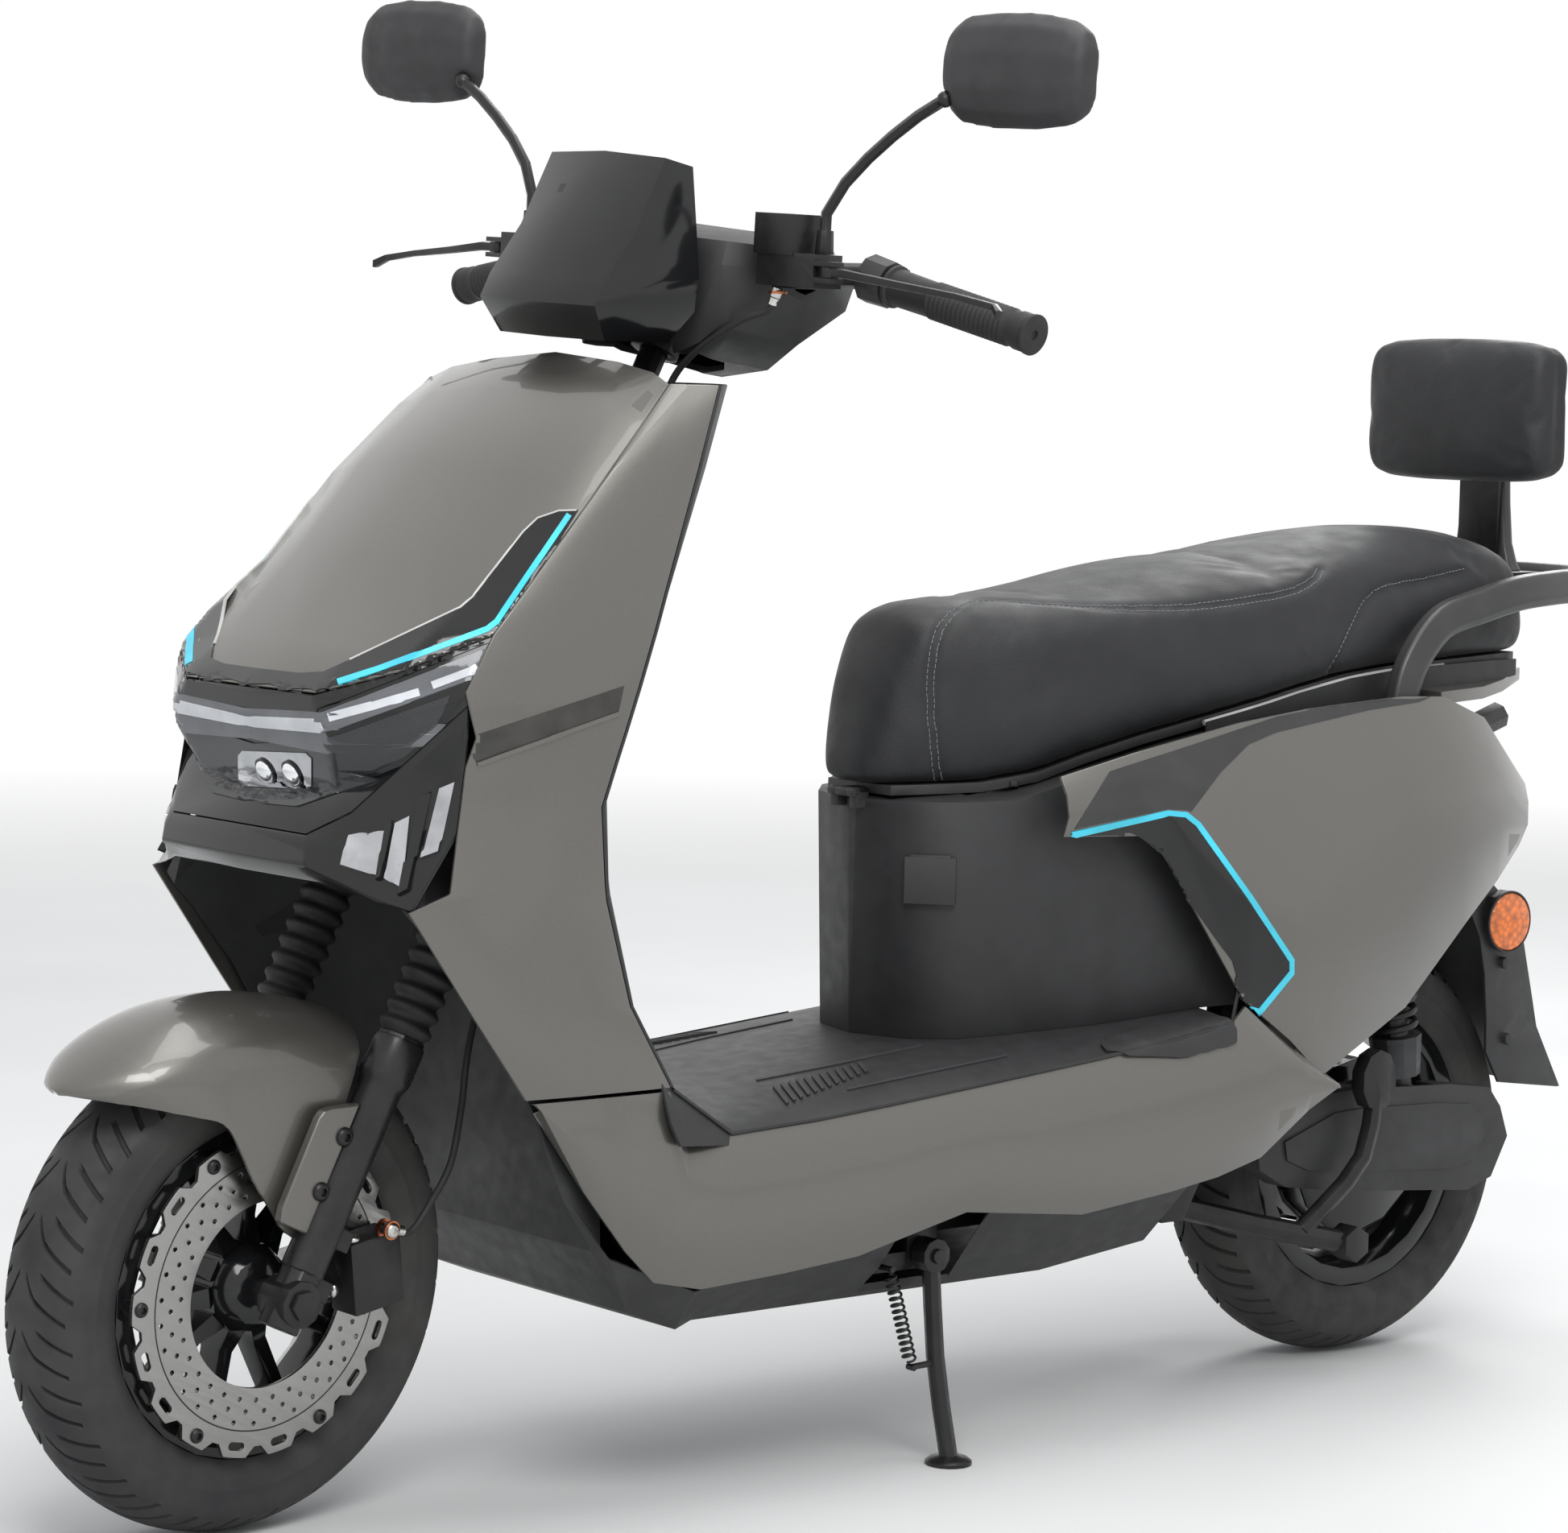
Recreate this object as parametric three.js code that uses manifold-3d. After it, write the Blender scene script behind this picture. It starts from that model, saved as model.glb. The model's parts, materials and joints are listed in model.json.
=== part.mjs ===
// A seated electric scooter: telescopic fork, step-through floor, hub motor on a swinging arm.
// Millimetres. +X is forward, +Y is the rider's left, +Z is up.
// The body is laid out on a grid: 129 steps to the wheelbase (X), 20 to half the body width (Y)
// and 79 to the seat height (Z). Tables named ...Shares count in these steps.
import * as THREE from 'three';
import { mergeVertices } from 'three/addons/utils/BufferGeometryUtils.js';
import Module from 'manifold-3d';

const wasm = await Module();
wasm.setup();

// Driving sizes
const wheelbase = 1290;
const seatHeight = 790;
const bodyHalfWidth = 200;
const fit = 0.3; // gap between pieces that seat on each other
const wall = 3; // moulded panels
const weld = 0.05; // points and edges closer to straight than this are merged
const overrun = 6; // how far a cutting tool passes its face

// Wheels, 90/90-10
const tyreRadius = 207;
const tyreHalfWidth = 45;
const crownFlat = 12;
const carcass = 8;
const beadRadius = 127;
const flangeHeight = 13;
const rimHalfWidth = 36;
const rimWall = 4;
const rimDrop = 15;
const rimDropHalf = 14;
const wheelSides = 24;
const roundSides = 10; // turned pieces
const tubeSides = 8; // bent tubes
const smallSides = 6;
const square = [[-1, -1], [1, -1], [1, 1], [-1, 1]];

// Steering and fork
const rake = THREE.MathUtils.degToRad(27);
const forkOffset = 28;
const legHalfSpacing = 80;
const forkTravel = 65;
const steerTurn = THREE.MathUtils.degToRad(6.4);
const wheelPhase = THREE.MathUtils.degToRad(94.5);

// Steps of the body grid
const along = wheelbase / 129;
const across = bodyHalfWidth / 20;
const up = seatHeight / 79;
const spot = (x, y, z) => new THREE.Vector3(x, y, z);
const at = (xShare, yShare, zShare) => spot(xShare * along, yShare * across, zShare * up);
const places = (shares) => shares.map((share) => at(...share));

// A hole's radius with which a pin turns freely inside it, both being polygons
const turningBore = (radius, sides = roundSides) => (radius + fit) / Math.cos(Math.PI / sides);

// Materials
const finish = (color, roughness, metalness = 0) =>
  new THREE.MeshStandardMaterial({ color, roughness, metalness });
const greyPaint = finish(0x6e6c66, 0.28, 0.55);
const matteBlack = finish(0x2a2b2d, 0.62);
const glossBlack = finish(0x17181a, 0.2);
const blackSteel = finish(0x1c1d1f, 0.4, 0.6);
const steel = finish(0xb9b7b2, 0.3, 0.95);
const castGrey = finish(0x3d3f41, 0.5, 0.5);
const rubber = finish(0x1a1a1b, 0.85);
const leather = finish(0x2c2e33, 0.55);
const lensClear = finish(0xaab0b5, 0.1, 0.1);
const lensRed = finish(0xa01515, 0.15);
const redPlastic = finish(0xc8201c, 0.35);

// A geometry with every face turned outwards, as one welded manifold solid
function solidOf(geometry) {
  const bare = geometry.clone();
  bare.deleteAttribute('normal');
  bare.deleteAttribute('uv');
  const welded = mergeVertices(bare, 1e-3);
  const index = welded.index.array;
  const place = welded.attributes.position.array;
  const kept = [];
  let volume = 0;
  for (let i = 0; i < index.length; i += 3) {
    const [a, b, c] = [index[i], index[i + 1], index[i + 2]];
    if (a === b || b === c || a === c) continue;
    kept.push(a, b, c);
    const [p, q, r] = [a, b, c].map((v) => new THREE.Vector3().fromArray(place, v * 3));
    volume += p.dot(q.cross(r));
  }
  if (volume < 0) {
    for (let i = 0; i < kept.length; i += 3) [kept[i + 1], kept[i + 2]] = [kept[i + 2], kept[i + 1]];
  }
  const mesh = new wasm.Mesh({
    numProp: 3, vertProperties: new Float32Array(place), triVerts: new Uint32Array(kept),
  });
  return new wasm.Manifold(mesh).simplify(weld);
}

function geometryOf(solid) {
  const mesh = solid.getMesh();
  const geometry = new THREE.BufferGeometry();
  geometry.setAttribute('position', new THREE.BufferAttribute(new Float32Array(mesh.vertProperties), 3));
  geometry.setIndex(new THREE.BufferAttribute(new Uint32Array(mesh.triVerts), 1));
  const flat = geometry.toNonIndexed();
  flat.computeVertexNormals();
  return flat;
}

const join = (...geometries) => geometryOf(geometries.flat().map(solidOf).reduce((a, b) => a.add(b)));
const cut = (body, ...tools) => geometryOf(tools.flat().reduce((a, b) => a.subtract(solidOf(b)),
  solidOf(body)));
const mirrored = (geometry) => geometryOf(solidOf(geometry.clone().scale(1, -1, 1)));

// A straight round bar, or a cone, from one point to another
function rod(from, to, radius, endRadius = radius, sides = roundSides) {
  const reach = to.clone().sub(from);
  const geometry = new THREE.CylinderGeometry(endRadius, radius, reach.length(), sides);
  const turn = new THREE.Quaternion().setFromUnitVectors(new THREE.Vector3(0, 1, 0),
    reach.clone().normalize());
  geometry.applyQuaternion(turn);
  const middle = from.clone().add(to).multiplyScalar(0.5);
  return geometry.translate(middle.x, middle.y, middle.z);
}

// A block between two opposite corners
function block(low, high) {
  const size = high.clone().sub(low);
  const middle = low.clone().add(high).multiplyScalar(0.5);
  return new THREE.BoxGeometry(Math.abs(size.x), Math.abs(size.y), Math.abs(size.z))
    .translate(middle.x, middle.y, middle.z);
}

// A turned piece: [radius, distance along the axis] points, laid along the line from one point to another
function turned(profile, from, towards, sides = roundSides) {
  const points = profile.map(([radius, reach]) => new THREE.Vector2(radius, reach));
  const geometry = new THREE.LatheGeometry(points, sides);
  const direction = towards.clone().sub(from).normalize();
  geometry.applyQuaternion(new THREE.Quaternion().setFromUnitVectors(new THREE.Vector3(0, 1, 0), direction));
  return geometry.translate(from.x, from.y, from.z);
}

function polygon(radius, sides) {
  const shape = new THREE.Shape();
  for (let i = 0; i < sides; i++) {
    const angle = (i / sides) * Math.PI * 2;
    shape[i ? 'lineTo' : 'moveTo'](radius * Math.cos(angle), radius * Math.sin(angle));
  }
  shape.closePath();
  return shape;
}

// A bent round tube through a list of points
function tube(points, radius, steps, sides = tubeSides, tension = 0.5) {
  const path = new THREE.CatmullRomCurve3(points, false, 'catmullrom', tension);
  return new THREE.ExtrudeGeometry(polygon(radius, sides), { steps, extrudePath: path, bevelEnabled: false });
}

// An outline in the X-Z plane with a thickness along Y, its far side at yTop
function sidePlate(outline, yTop, thickness, holes = []) {
  const shape = new THREE.Shape(outline.map(([x, z]) => new THREE.Vector2(x, z)));
  shape.holes = holes;
  const geometry = new THREE.ExtrudeGeometry(shape, { depth: thickness, bevelEnabled: false });
  return geometry.rotateX(Math.PI / 2).translate(0, yTop, 0);
}

function gridGeometry(points, faces) {
  const geometry = new THREE.BufferGeometry();
  geometry.setAttribute('position', new THREE.Float32BufferAttribute(points.flatMap((p) => [p.x, p.y, p.z]),
    3));
  geometry.setIndex(faces);
  return geometry;
}

// A solid skinned over closed sections that all have as many points
function loft(sections) {
  const count = sections[0].length;
  const points = sections.flat();
  const faces = [];
  for (let s = 0; s + 1 < sections.length; s++) {
    for (let i = 0; i < count; i++) {
      const [a, b] = [s * count + i, s * count + ((i + 1) % count)];
      faces.push(a, b, b + count, a, b + count, a + count);
    }
  }
  [[0, true], [sections.length - 1, false]].forEach(([s, first]) => {
    const centre = sections[s].reduce((sum, p) => sum.add(p), new THREE.Vector3()).divideScalar(count);
    points.push(centre);
    for (let i = 0; i < count; i++) {
      const [a, b] = [s * count + i, s * count + ((i + 1) % count)];
      faces.push(...(first ? [b, a, points.length - 1] : [a, b, points.length - 1]));
    }
  });
  return gridGeometry(points, faces);
}

// A sheet over rows of points, thickened by a fixed offset, or square to itself where a number is given
function sheet(rows, offset) {
  const columns = rows[0].length;
  const outer = rows.flat();
  const inner = outer.map((p, i) => {
    if (offset.isVector3) return p.clone().add(offset);
    const [row, column] = [Math.floor(i / columns), i % columns];
    const pick = (r, c) => rows[Math.min(Math.max(r, 0), rows.length - 1)][Math.min(Math.max(c, 0),
      columns - 1)];
    const down = pick(row + 1, column).clone().sub(pick(row - 1, column));
    const across = pick(row, column + 1).clone().sub(pick(row, column - 1));
    return p.clone().add(across.cross(down).setLength(offset));
  });
  const n = outer.length;
  const faces = [];
  const quad = (a, b, c, d) => faces.push(a, b, c, a, c, d);
  for (let r = 0; r + 1 < rows.length; r++) {
    for (let c = 0; c + 1 < columns; c++) {
      const a = r * columns + c;
      quad(a, a + 1, a + 1 + columns, a + columns);
      quad(n + a + columns, n + a + 1 + columns, n + a + 1, n + a);
    }
  }
  const border = [];
  for (let c = 0; c < columns - 1; c++) border.push(c);
  for (let r = 0; r < rows.length - 1; r++) border.push(r * columns + columns - 1);
  for (let c = columns - 1; c > 0; c--) border.push((rows.length - 1) * columns + c);
  for (let r = rows.length - 1; r > 0; r--) border.push(r * columns);
  border.forEach((a, i) => {
    const b = border[(i + 1) % border.length];
    quad(b, a, n + a, n + b);
  });
  return gridGeometry(outer.concat(inner), faces);
}

// A row given from the centre line to the left edge, completed to the right
const bothSides = (half) =>
  [...half.slice(1).reverse().map((p) => p.clone().setY(-p.y)), ...half];

// A value read from a table of [place, value] pairs, straight between them
function readTable(table, place) {
  const after = table.findIndex(([p]) => p >= place);
  if (after < 0) return table[table.length - 1][1];
  if (after === 0) return table[0][1];
  const [[p0, v0], [p1, v1]] = [table[after - 1], table[after]];
  return v0 + ((v1 - v0) * (place - p0)) / (p1 - p0);
}

// Groups: the chassis stands still, and the front end is drawn straight ahead, then turned about its axis
const scooter = new THREE.Group();
const frontReach = wheelbase + tyreRadius;
const rearReach = 28 * along;
scooter.position.x = -(frontReach - rearReach) / 2;

const axisUp = spot(-Math.sin(rake), 0, Math.cos(rake));
const trail = tyreRadius * Math.tan(rake) - forkOffset / Math.cos(rake);
const axisFoot = spot(wheelbase + trail, 0, 0);
const steering = new THREE.Group();
steering.position.copy(axisFoot);
steering.quaternion.setFromAxisAngle(axisUp, steerTurn);
scooter.add(steering);
const upper = new THREE.Group(); // straight-ahead frame of everything that steers
upper.position.copy(axisFoot).negate();
steering.add(upper);
const fork = new THREE.Group(); // origin at the front wheel's centre, +Z up along the legs
fork.position.set(wheelbase, 0, tyreRadius);
fork.rotation.y = -rake;
upper.add(fork);

function piece(parent, name, geometry, material) {
  const mesh = new THREE.Mesh(geometryOf(solidOf(geometry)), material);
  mesh.name = name;
  parent.add(mesh);
  return mesh;
}

// Rims and tyres are turned together so that one of the tyre's flats meets the ground
const onFlat = (geometry, turn) => geometry.rotateY(turn + Math.PI / wheelSides);

// Tyre: an open carcass from bead to bead. The crown's edges stand out so that its flats lie at the tyre's
// radius.
function tyre(turn) {
  const shoulder = tyreRadius - beadRadius;
  const outerShares = [[1, 1, 0], [0.93, 0, 0.66], [0.68, 0, 0.97], [0.3, 0, 0.92]];
  const crown = 1 / Math.cos(Math.PI / wheelSides);
  const outer = outerShares.map(([rise, flat, side]) =>
    [flat ? tyreRadius * crown : beadRadius + rise * shoulder, flat ? crownFlat : side * tyreHalfWidth]);
  const bead = rimHalfWidth - rimWall - fit;
  const foot = beadRadius + fit;
  const half = [...outer, [beadRadius + flangeHeight + fit, rimHalfWidth + fit],
    [beadRadius + flangeHeight + fit, bead], [foot, bead], [foot, bead - carcass],
    [tyreRadius - 2 * carcass, 0.6 * tyreHalfWidth]];
  const profile = [...half.map(([r, y]) => [r, y]), ...half.slice().reverse().map(([r, y]) => [r, -y])];
  profile.push(profile[0]);
  return onFlat(turned(profile, spot(0, 0, 0), spot(0, 1, 0), wheelSides), turn);
}

function rim(turn) {
  const flange = beadRadius + flangeHeight;
  const half = [[beadRadius - rimDrop, rimDropHalf], [beadRadius, rimHalfWidth - 3 * rimWall],
    [beadRadius, rimHalfWidth - rimWall], [flange, rimHalfWidth - rimWall], [flange, rimHalfWidth],
    [beadRadius - rimWall, rimHalfWidth], [beadRadius - rimDrop - rimWall, rimDropHalf]];
  const back = half.slice().reverse().map(([r, y]) => [r, -y]);
  return onFlat(turned([...half, ...back, half[0]], spot(0, 0, 0), spot(0, 1, 0), wheelSides), turn);
}

// Front wheel: cast rim, ten slim spokes and a domed hub, with six lugs for the brake disc
const hubRadius = 38;
const hubHalf = 46;
const axleRadius = 7.5;
const spokeCount = 10;
const spokeWidth = 13;
const discInner = 78;
const discOuter = 135;
const discFace = 52;
const discThickness = 4;
const discBoltCircle = 126.8;
const discBoltCount = 6;
const lugRadius = 8;
const sliderRadius = 17.5;

function frontWheel() {
  const bore = turningBore(axleRadius);
  const hub = turned([[bore, -hubHalf], [0.4 * hubRadius, -hubHalf], [0.75 * hubRadius, -0.9 * hubHalf],
    [hubRadius, -0.6 * hubHalf], [hubRadius, 0.6 * hubHalf], [0.75 * hubRadius, 0.9 * hubHalf],
    [0.4 * hubRadius, hubHalf], [bore, hubHalf], [bore, -hubHalf]],
  spot(0, 0, 0), spot(0, 1, 0));
  const spokeEnd = beadRadius - rimDrop - rimWall / 2;
  const spoke = () => {
    const section = (radius, width, depth) => [[-1, -1], [1, -1], [1, 1], [-1, 1]].map(([u, w]) =>
      spot(radius, (w * depth) / 2, (u * width) / 2));
    return loft([section(0.8 * hubRadius, 1.5 * spokeWidth, 1.1 * hubHalf),
      section(1.5 * hubRadius, spokeWidth, 0.55 * hubHalf),
      section(spokeEnd, spokeWidth, 0.5 * hubHalf)]);
  };
  const spokes = Array.from({ length: spokeCount },
    (_, i) => spoke().rotateY((i / spokeCount) * Math.PI * 2));
  const lugs = Array.from({ length: discBoltCount }, (_, i) => {
    const angle = wheelPhase + (i / discBoltCount) * Math.PI * 2;
    const [x, z] = [discBoltCircle * Math.cos(angle), discBoltCircle * Math.sin(angle)];
    return rod(spot(x, rimHalfWidth - rimWall / 2, z), spot(x, discFace - discThickness - fit, z),
      lugRadius, lugRadius, smallSides);
  });
  return join(rim(rake), hub, spokes, lugs);
}

// Wave brake disc: eighteen lobes, six of them bolted, twelve slotted, and three staggered rows of holes
const lobeCount = 18;
const lobeDepth = 9;
const slotLength = 17;
const slotWidth = 7.5;
const discHole = 2.7;
const discHoleCount = 14;

function brakeDisc() {
  const outline = [];
  const lobeShares = [[-0.5, 1], [-0.34, 0.5], [-0.24, 0], [0.24, 0], [0.34, 0.5]];
  for (let i = 0; i < lobeCount; i++) {
    lobeShares.forEach(([turnShare, depthShare]) => {
      const angle = wheelPhase + ((i + turnShare) / lobeCount) * Math.PI * 2;
      const radius = discOuter - depthShare * lobeDepth;
      outline.push(new THREE.Vector2(radius * Math.cos(angle), radius * Math.sin(angle)));
    });
  }
  const shape = new THREE.Shape(outline);
  const inner = new THREE.Path();
  inner.setFromPoints(Array.from({ length: 2 * lobeCount }, (_, i) => {
    const angle = (-i / (2 * lobeCount)) * Math.PI * 2;
    return new THREE.Vector2(discInner * Math.cos(angle), discInner * Math.sin(angle));
  }));
  shape.holes.push(inner);
  const perBolt = lobeCount / discBoltCount;
  for (let i = 0; i < lobeCount; i++) {
    if (i % perBolt === 0) continue;
    const angle = wheelPhase + (i / lobeCount) * Math.PI * 2;
    const slot = new THREE.Path();
    slot.setFromPoints(Array.from({ length: 6 }, (_, k) => {
      const around = -((k + 0.5) / 6) * Math.PI * 2;
      const side = Math.sign(Math.sin(around)) * (slotLength - slotWidth) / 2 + Math.sin(around) * slotWidth / 2;
      const out = discOuter - lobeDepth + (Math.cos(around) * slotWidth) / 2;
      return new THREE.Vector2(out * Math.cos(angle) - side * Math.sin(angle),
        out * Math.sin(angle) + side * Math.cos(angle));
    }));
    shape.holes.push(slot);
  }
  const rowShares = [0.17, 0.34, 0.51];
  rowShares.forEach((share, row) => {
    const radius = discInner + share * (discOuter - discInner);
    for (let i = 0; i < discHoleCount; i++) {
      const angle = ((i + row / 3) / discHoleCount) * Math.PI * 2;
      const hole = new THREE.Path();
      hole.setFromPoints(Array.from({ length: 4 }, (_, k) => {
        const around = -(k / 4) * Math.PI * 2;
        return new THREE.Vector2(radius * Math.cos(angle) + discHole * Math.cos(around),
          radius * Math.sin(angle) + discHole * Math.sin(around));
      }));
      shape.holes.push(hole);
    }
  });
  const plate = new THREE.ExtrudeGeometry(shape, { depth: discThickness, bevelEnabled: false })
    .rotateX(Math.PI / 2).translate(0, discFace, 0);
  const heads = Array.from({ length: discBoltCount }, (_, i) => {
    const angle = wheelPhase + (i / discBoltCount) * Math.PI * 2;
    const [x, z] = [discBoltCircle * Math.cos(angle), discBoltCircle * Math.sin(angle)];
    return rod(spot(x, discFace - discThickness / 2, z), spot(x, discFace + discThickness, z),
      0.8 * lugRadius, 0.7 * lugRadius, smallSides);
  });
  return join(plate, heads);
}

const frontWheelGroup = new THREE.Group();
fork.add(frontWheelGroup);
piece(frontWheelGroup, 'front_tyre', tyre(rake), rubber);
piece(frontWheelGroup, 'front_wheel', frontWheel(), glossBlack);
piece(frontWheelGroup, 'brake_disc', brakeDisc(), steel);

// Fork: stanchions in the steering stem, sliders, boots between them
const stanchionRadius = 13.5;
const sliderTop = 232;
const sliderBottom = 24;
const collarRadius = 20.5;
const collarHeight = 24;
const stanchionEnd = 160;
const yokeBottom = 368;
const yokeHeight = 24;
const yokeLegRadius = 22;
const yokeArm = [20, 17.6, 19]; // half length at the column and at the leg, height at the leg
const stemRadius = 12.5;
const headTubeBottom = 402;
const headTubeTop = 640;
const headTubeRadius = 27;
const headBore = 17;
const bearingHeight = 12;
const barMiddleShares = [84.4, 0, 104];
const barMiddle = at(...barMiddleShares);
const barHeight = (barMiddle.z - tyreRadius) * Math.cos(rake) - (barMiddle.x - wheelbase) * Math.sin(rake);
const clampTop = barHeight - 5;
const clampLength = 68;
const stemTop = clampTop - 15;
const fenderBolts = [137, 89];
const lugOuter = 83.7;

function slider(side) {
  const y = side * legHalfSpacing;
  const boreFloor = stanchionEnd - forkTravel - overrun;
  const body = join(
    rod(spot(0, y, -sliderBottom), spot(0, y, sliderTop), sliderRadius, sliderRadius),
    rod(spot(0, y, sliderTop - collarHeight), spot(0, y, sliderTop), collarRadius, collarRadius),
    rod(spot(0, y - sliderRadius, 0), spot(0, y + sliderRadius, 0), 1.15 * sliderRadius, 1.15 * sliderRadius),
    fenderBolts.map((z) => block(spot(0, side * 0.86 * legHalfSpacing, z - sliderRadius / 2),
      spot(1.8 * sliderRadius, side * lugOuter, z + sliderRadius / 2))));
  return cut(body, rod(spot(0, y, boreFloor), spot(0, y, sliderTop + overrun), stanchionRadius + fit,
    stanchionRadius + fit));
}

// The left slider also carries the caliper's lugs, and the right one the axle
const caliperLugs = [18, 62];
function leftSlider() {
  const arms = caliperLugs.map((z) => block(spot(-1.7 * sliderRadius, legHalfSpacing - sliderRadius / 2,
    z - sliderRadius / 2),
    spot(0, legHalfSpacing + sliderRadius / 2, z + sliderRadius / 2)));
  const eye = rod(spot(0, legHalfSpacing - 2 * sliderRadius, 0),
    spot(0, legHalfSpacing + 2 * sliderRadius, 0),
    axleRadius + fit, axleRadius + fit);
  return cut(join(slider(1), arms), eye);
}
function rightSlider() {
  const reach = legHalfSpacing + 1.25 * sliderRadius;
  const axle = rod(spot(0, -reach, 0), spot(0, reach, 0), axleRadius, axleRadius);
  const spacer = (side) => rod(spot(0, side * (hubHalf + fit), 0),
    spot(0, side * (legHalfSpacing - sliderRadius - fit), 0),
    1.6 * axleRadius, 1.6 * axleRadius);
  const head = (side) => rod(spot(0, side * (legHalfSpacing + sliderRadius + fit), 0),
    spot(0, side * reach, 0),
    1.7 * axleRadius, 1.7 * axleRadius, smallSides);
  return join(slider(-1), axle, spacer(1), rod(spot(0, -hubHalf - fit, 0), spot(0, -legHalfSpacing, 0),
    1.6 * axleRadius, 1.6 * axleRadius), head(1), head(-1));
}

// Bellows: one closed ring whose outer wall folds in and out
const bootRibs = 9;
const bootOuter = 22.5;
const bootValley = 17.5;
const bootSides = 8;
function forkBoot(side) {
  const [low, high] = [sliderTop + fit, yokeBottom - fit];
  const pitch = (high - low) / bootRibs;
  const bore = (stanchionRadius + fit) / Math.cos(Math.PI / bootSides);
  const profile = [[bore, low]];
  for (let i = 0; i < bootRibs; i++) {
    profile.push([bootValley, low + i * pitch], [bootOuter, low + (i + 0.5) * pitch]);
  }
  profile.push([bootValley, high], [bore, high]);
  profile.push(profile[0]);
  const foot = spot(0, side * legHalfSpacing, 0);
  return turned(profile, foot, foot.clone().add(spot(0, 0, 1)), bootSides);
}

// Steering stem: stanchions, lower yoke and the column that turns in the head tube
function steeringStem() {
  const yokeTop = yokeBottom + yokeHeight;
  const yokeMiddle = (yokeBottom + yokeTop) / 2;
  const bearing = headBore * Math.cos(Math.PI / roundSides) - fit;
  const leg = (side) => [
    rod(spot(0, side * legHalfSpacing, stanchionEnd), spot(0, side * legHalfSpacing, yokeTop - overrun),
      stanchionRadius, stanchionRadius),
    rod(spot(0, side * legHalfSpacing, yokeBottom), spot(0, side * legHalfSpacing, yokeTop), yokeLegRadius,
      yokeLegRadius),
    loft([
      square.map(([u, w]) => spot(-forkOffset + u * yokeArm[0], 0, yokeMiddle + (w * yokeHeight) / 2)),
      square.map(([u, w]) => spot(u * yokeArm[1], side * legHalfSpacing, yokeMiddle + (w * yokeArm[2]) / 2)),
    ])];
  const column = (from, to, radius) => rod(spot(-forkOffset, 0, from), spot(-forkOffset, 0, to), radius,
    radius);
  return join(leg(1), leg(-1), column(yokeBottom, yokeTop, 2.2 * stemRadius),
    column(yokeTop - overrun, stemTop, stemRadius),
    column(yokeTop - overrun, headTubeBottom - fit, headBore + wall),
      column(headTubeBottom - overrun, headTubeBottom + bearingHeight, bearing),
    column(headTubeTop - bearingHeight, headTubeTop + fit + bearingHeight, bearing),
    column(headTubeTop + fit, headTubeTop + bearingHeight, headTubeRadius));
}

piece(fork, 'fork_slider_left', leftSlider(), castGrey);
piece(fork, 'fork_slider_right', rightSlider(), castGrey);
piece(fork, 'fork_boot_left', forkBoot(1), rubber);
piece(fork, 'fork_boot_right', forkBoot(-1), rubber);
piece(fork, 'steering_stem', steeringStem(), blackSteel);

// Front fender: an arch over the tyre, skirts that taper down to the legs and a bolted plate on each
const fenderGap = 30;
const fenderHalf = 70;
const fenderWall = 3;
const fenderDrop = 52;
// [angle from straight ahead in degrees, crown radius share, side drop share, width share]
const fenderRowShares = [[17, 1.07, 0.12, 0.16], [21, 1.03, 0.4, 0.72], [27, 1.0, 0.62, 0.9],
  [38, 1.0, 0.9, 1],
  [52, 1.0, 1, 1], [66, 1.0, 1, 1], [80, 1.01, 1, 0.97]];
function frontFender() {
  const crown = tyreRadius + fenderGap;
  const rows = fenderRowShares.map(([degrees, radiusShare, dropShare, widthShare]) => {
    const angle = THREE.MathUtils.degToRad(degrees);
    const place = (radius, y) => spot(radius * Math.cos(angle), y, radius * Math.sin(angle));
    const top = crown * radiusShare;
    const half = fenderHalf * widthShare;
    const drop = fenderDrop * dropShare;
    return bothSides([place(top, 0), place(top - 0.06 * drop, 0.55 * half),
      place(top - 0.28 * drop, 0.88 * half),
      place(top - 0.6 * drop, half), place(top - drop, half)]);
  });
  const arch = sheet(rows, fenderWall);
  // Skirt in the fork's own frame, from the arch's side down beside the leg
  const skirtShares = [[0.985, 0.235], [0.83, 0.29], [0.66, 0.245], [0.53, 0.235], [0.41, 0.215],
    [0.27, 0.215],
    [0.165, 0.225], [0.165, 0.7], [0.12, 0.93], [0.3, 0.9], [0.55, 0.8], [0.8, 0.55], [0.93, 0.34]];
  const skirt = skirtShares.map(([x, z]) => [x * crown, z * crown]);
  const plateShares = [[0.085, 0.24], [0.2, 0.225], [0.2, 0.64], [0.085, 0.7]];
  const plate = plateShares.map(([x, z]) => [x * crown, z * crown]);
  const plateTop = lugOuter + fit + fenderWall;
  const sides = [1, -1].map((side) => {
    const left = [sidePlate(skirt, fenderHalf, fenderWall), sidePlate(plate, plateTop, fenderWall),
      block(spot(0.17 * crown, fenderHalf - fenderWall, 0.25 * crown),
        spot(0.2 * crown, plateTop, 0.62 * crown)),
      fenderBolts.map((z) => rod(spot(0.125 * crown, plateTop - fenderWall / 2, z),
        spot(0.125 * crown, plateTop + fenderWall, z),
        2 * fenderWall, 2 * fenderWall, smallSides))].flat();
    return side > 0 ? left : left.map(mirrored);
  });
  return join(arch, ...sides);
}
piece(fork, 'front_fender', frontFender(), greyPaint);

// Body panels. Every row of a panel lists its grid places; edges that meet share one table.
const readEdge = (table, z) => [
  readTable(table.map(([height, x]) => [height, x]), z),
  readTable(table.map(([height, , y]) => [height, y]), z),
];
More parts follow.
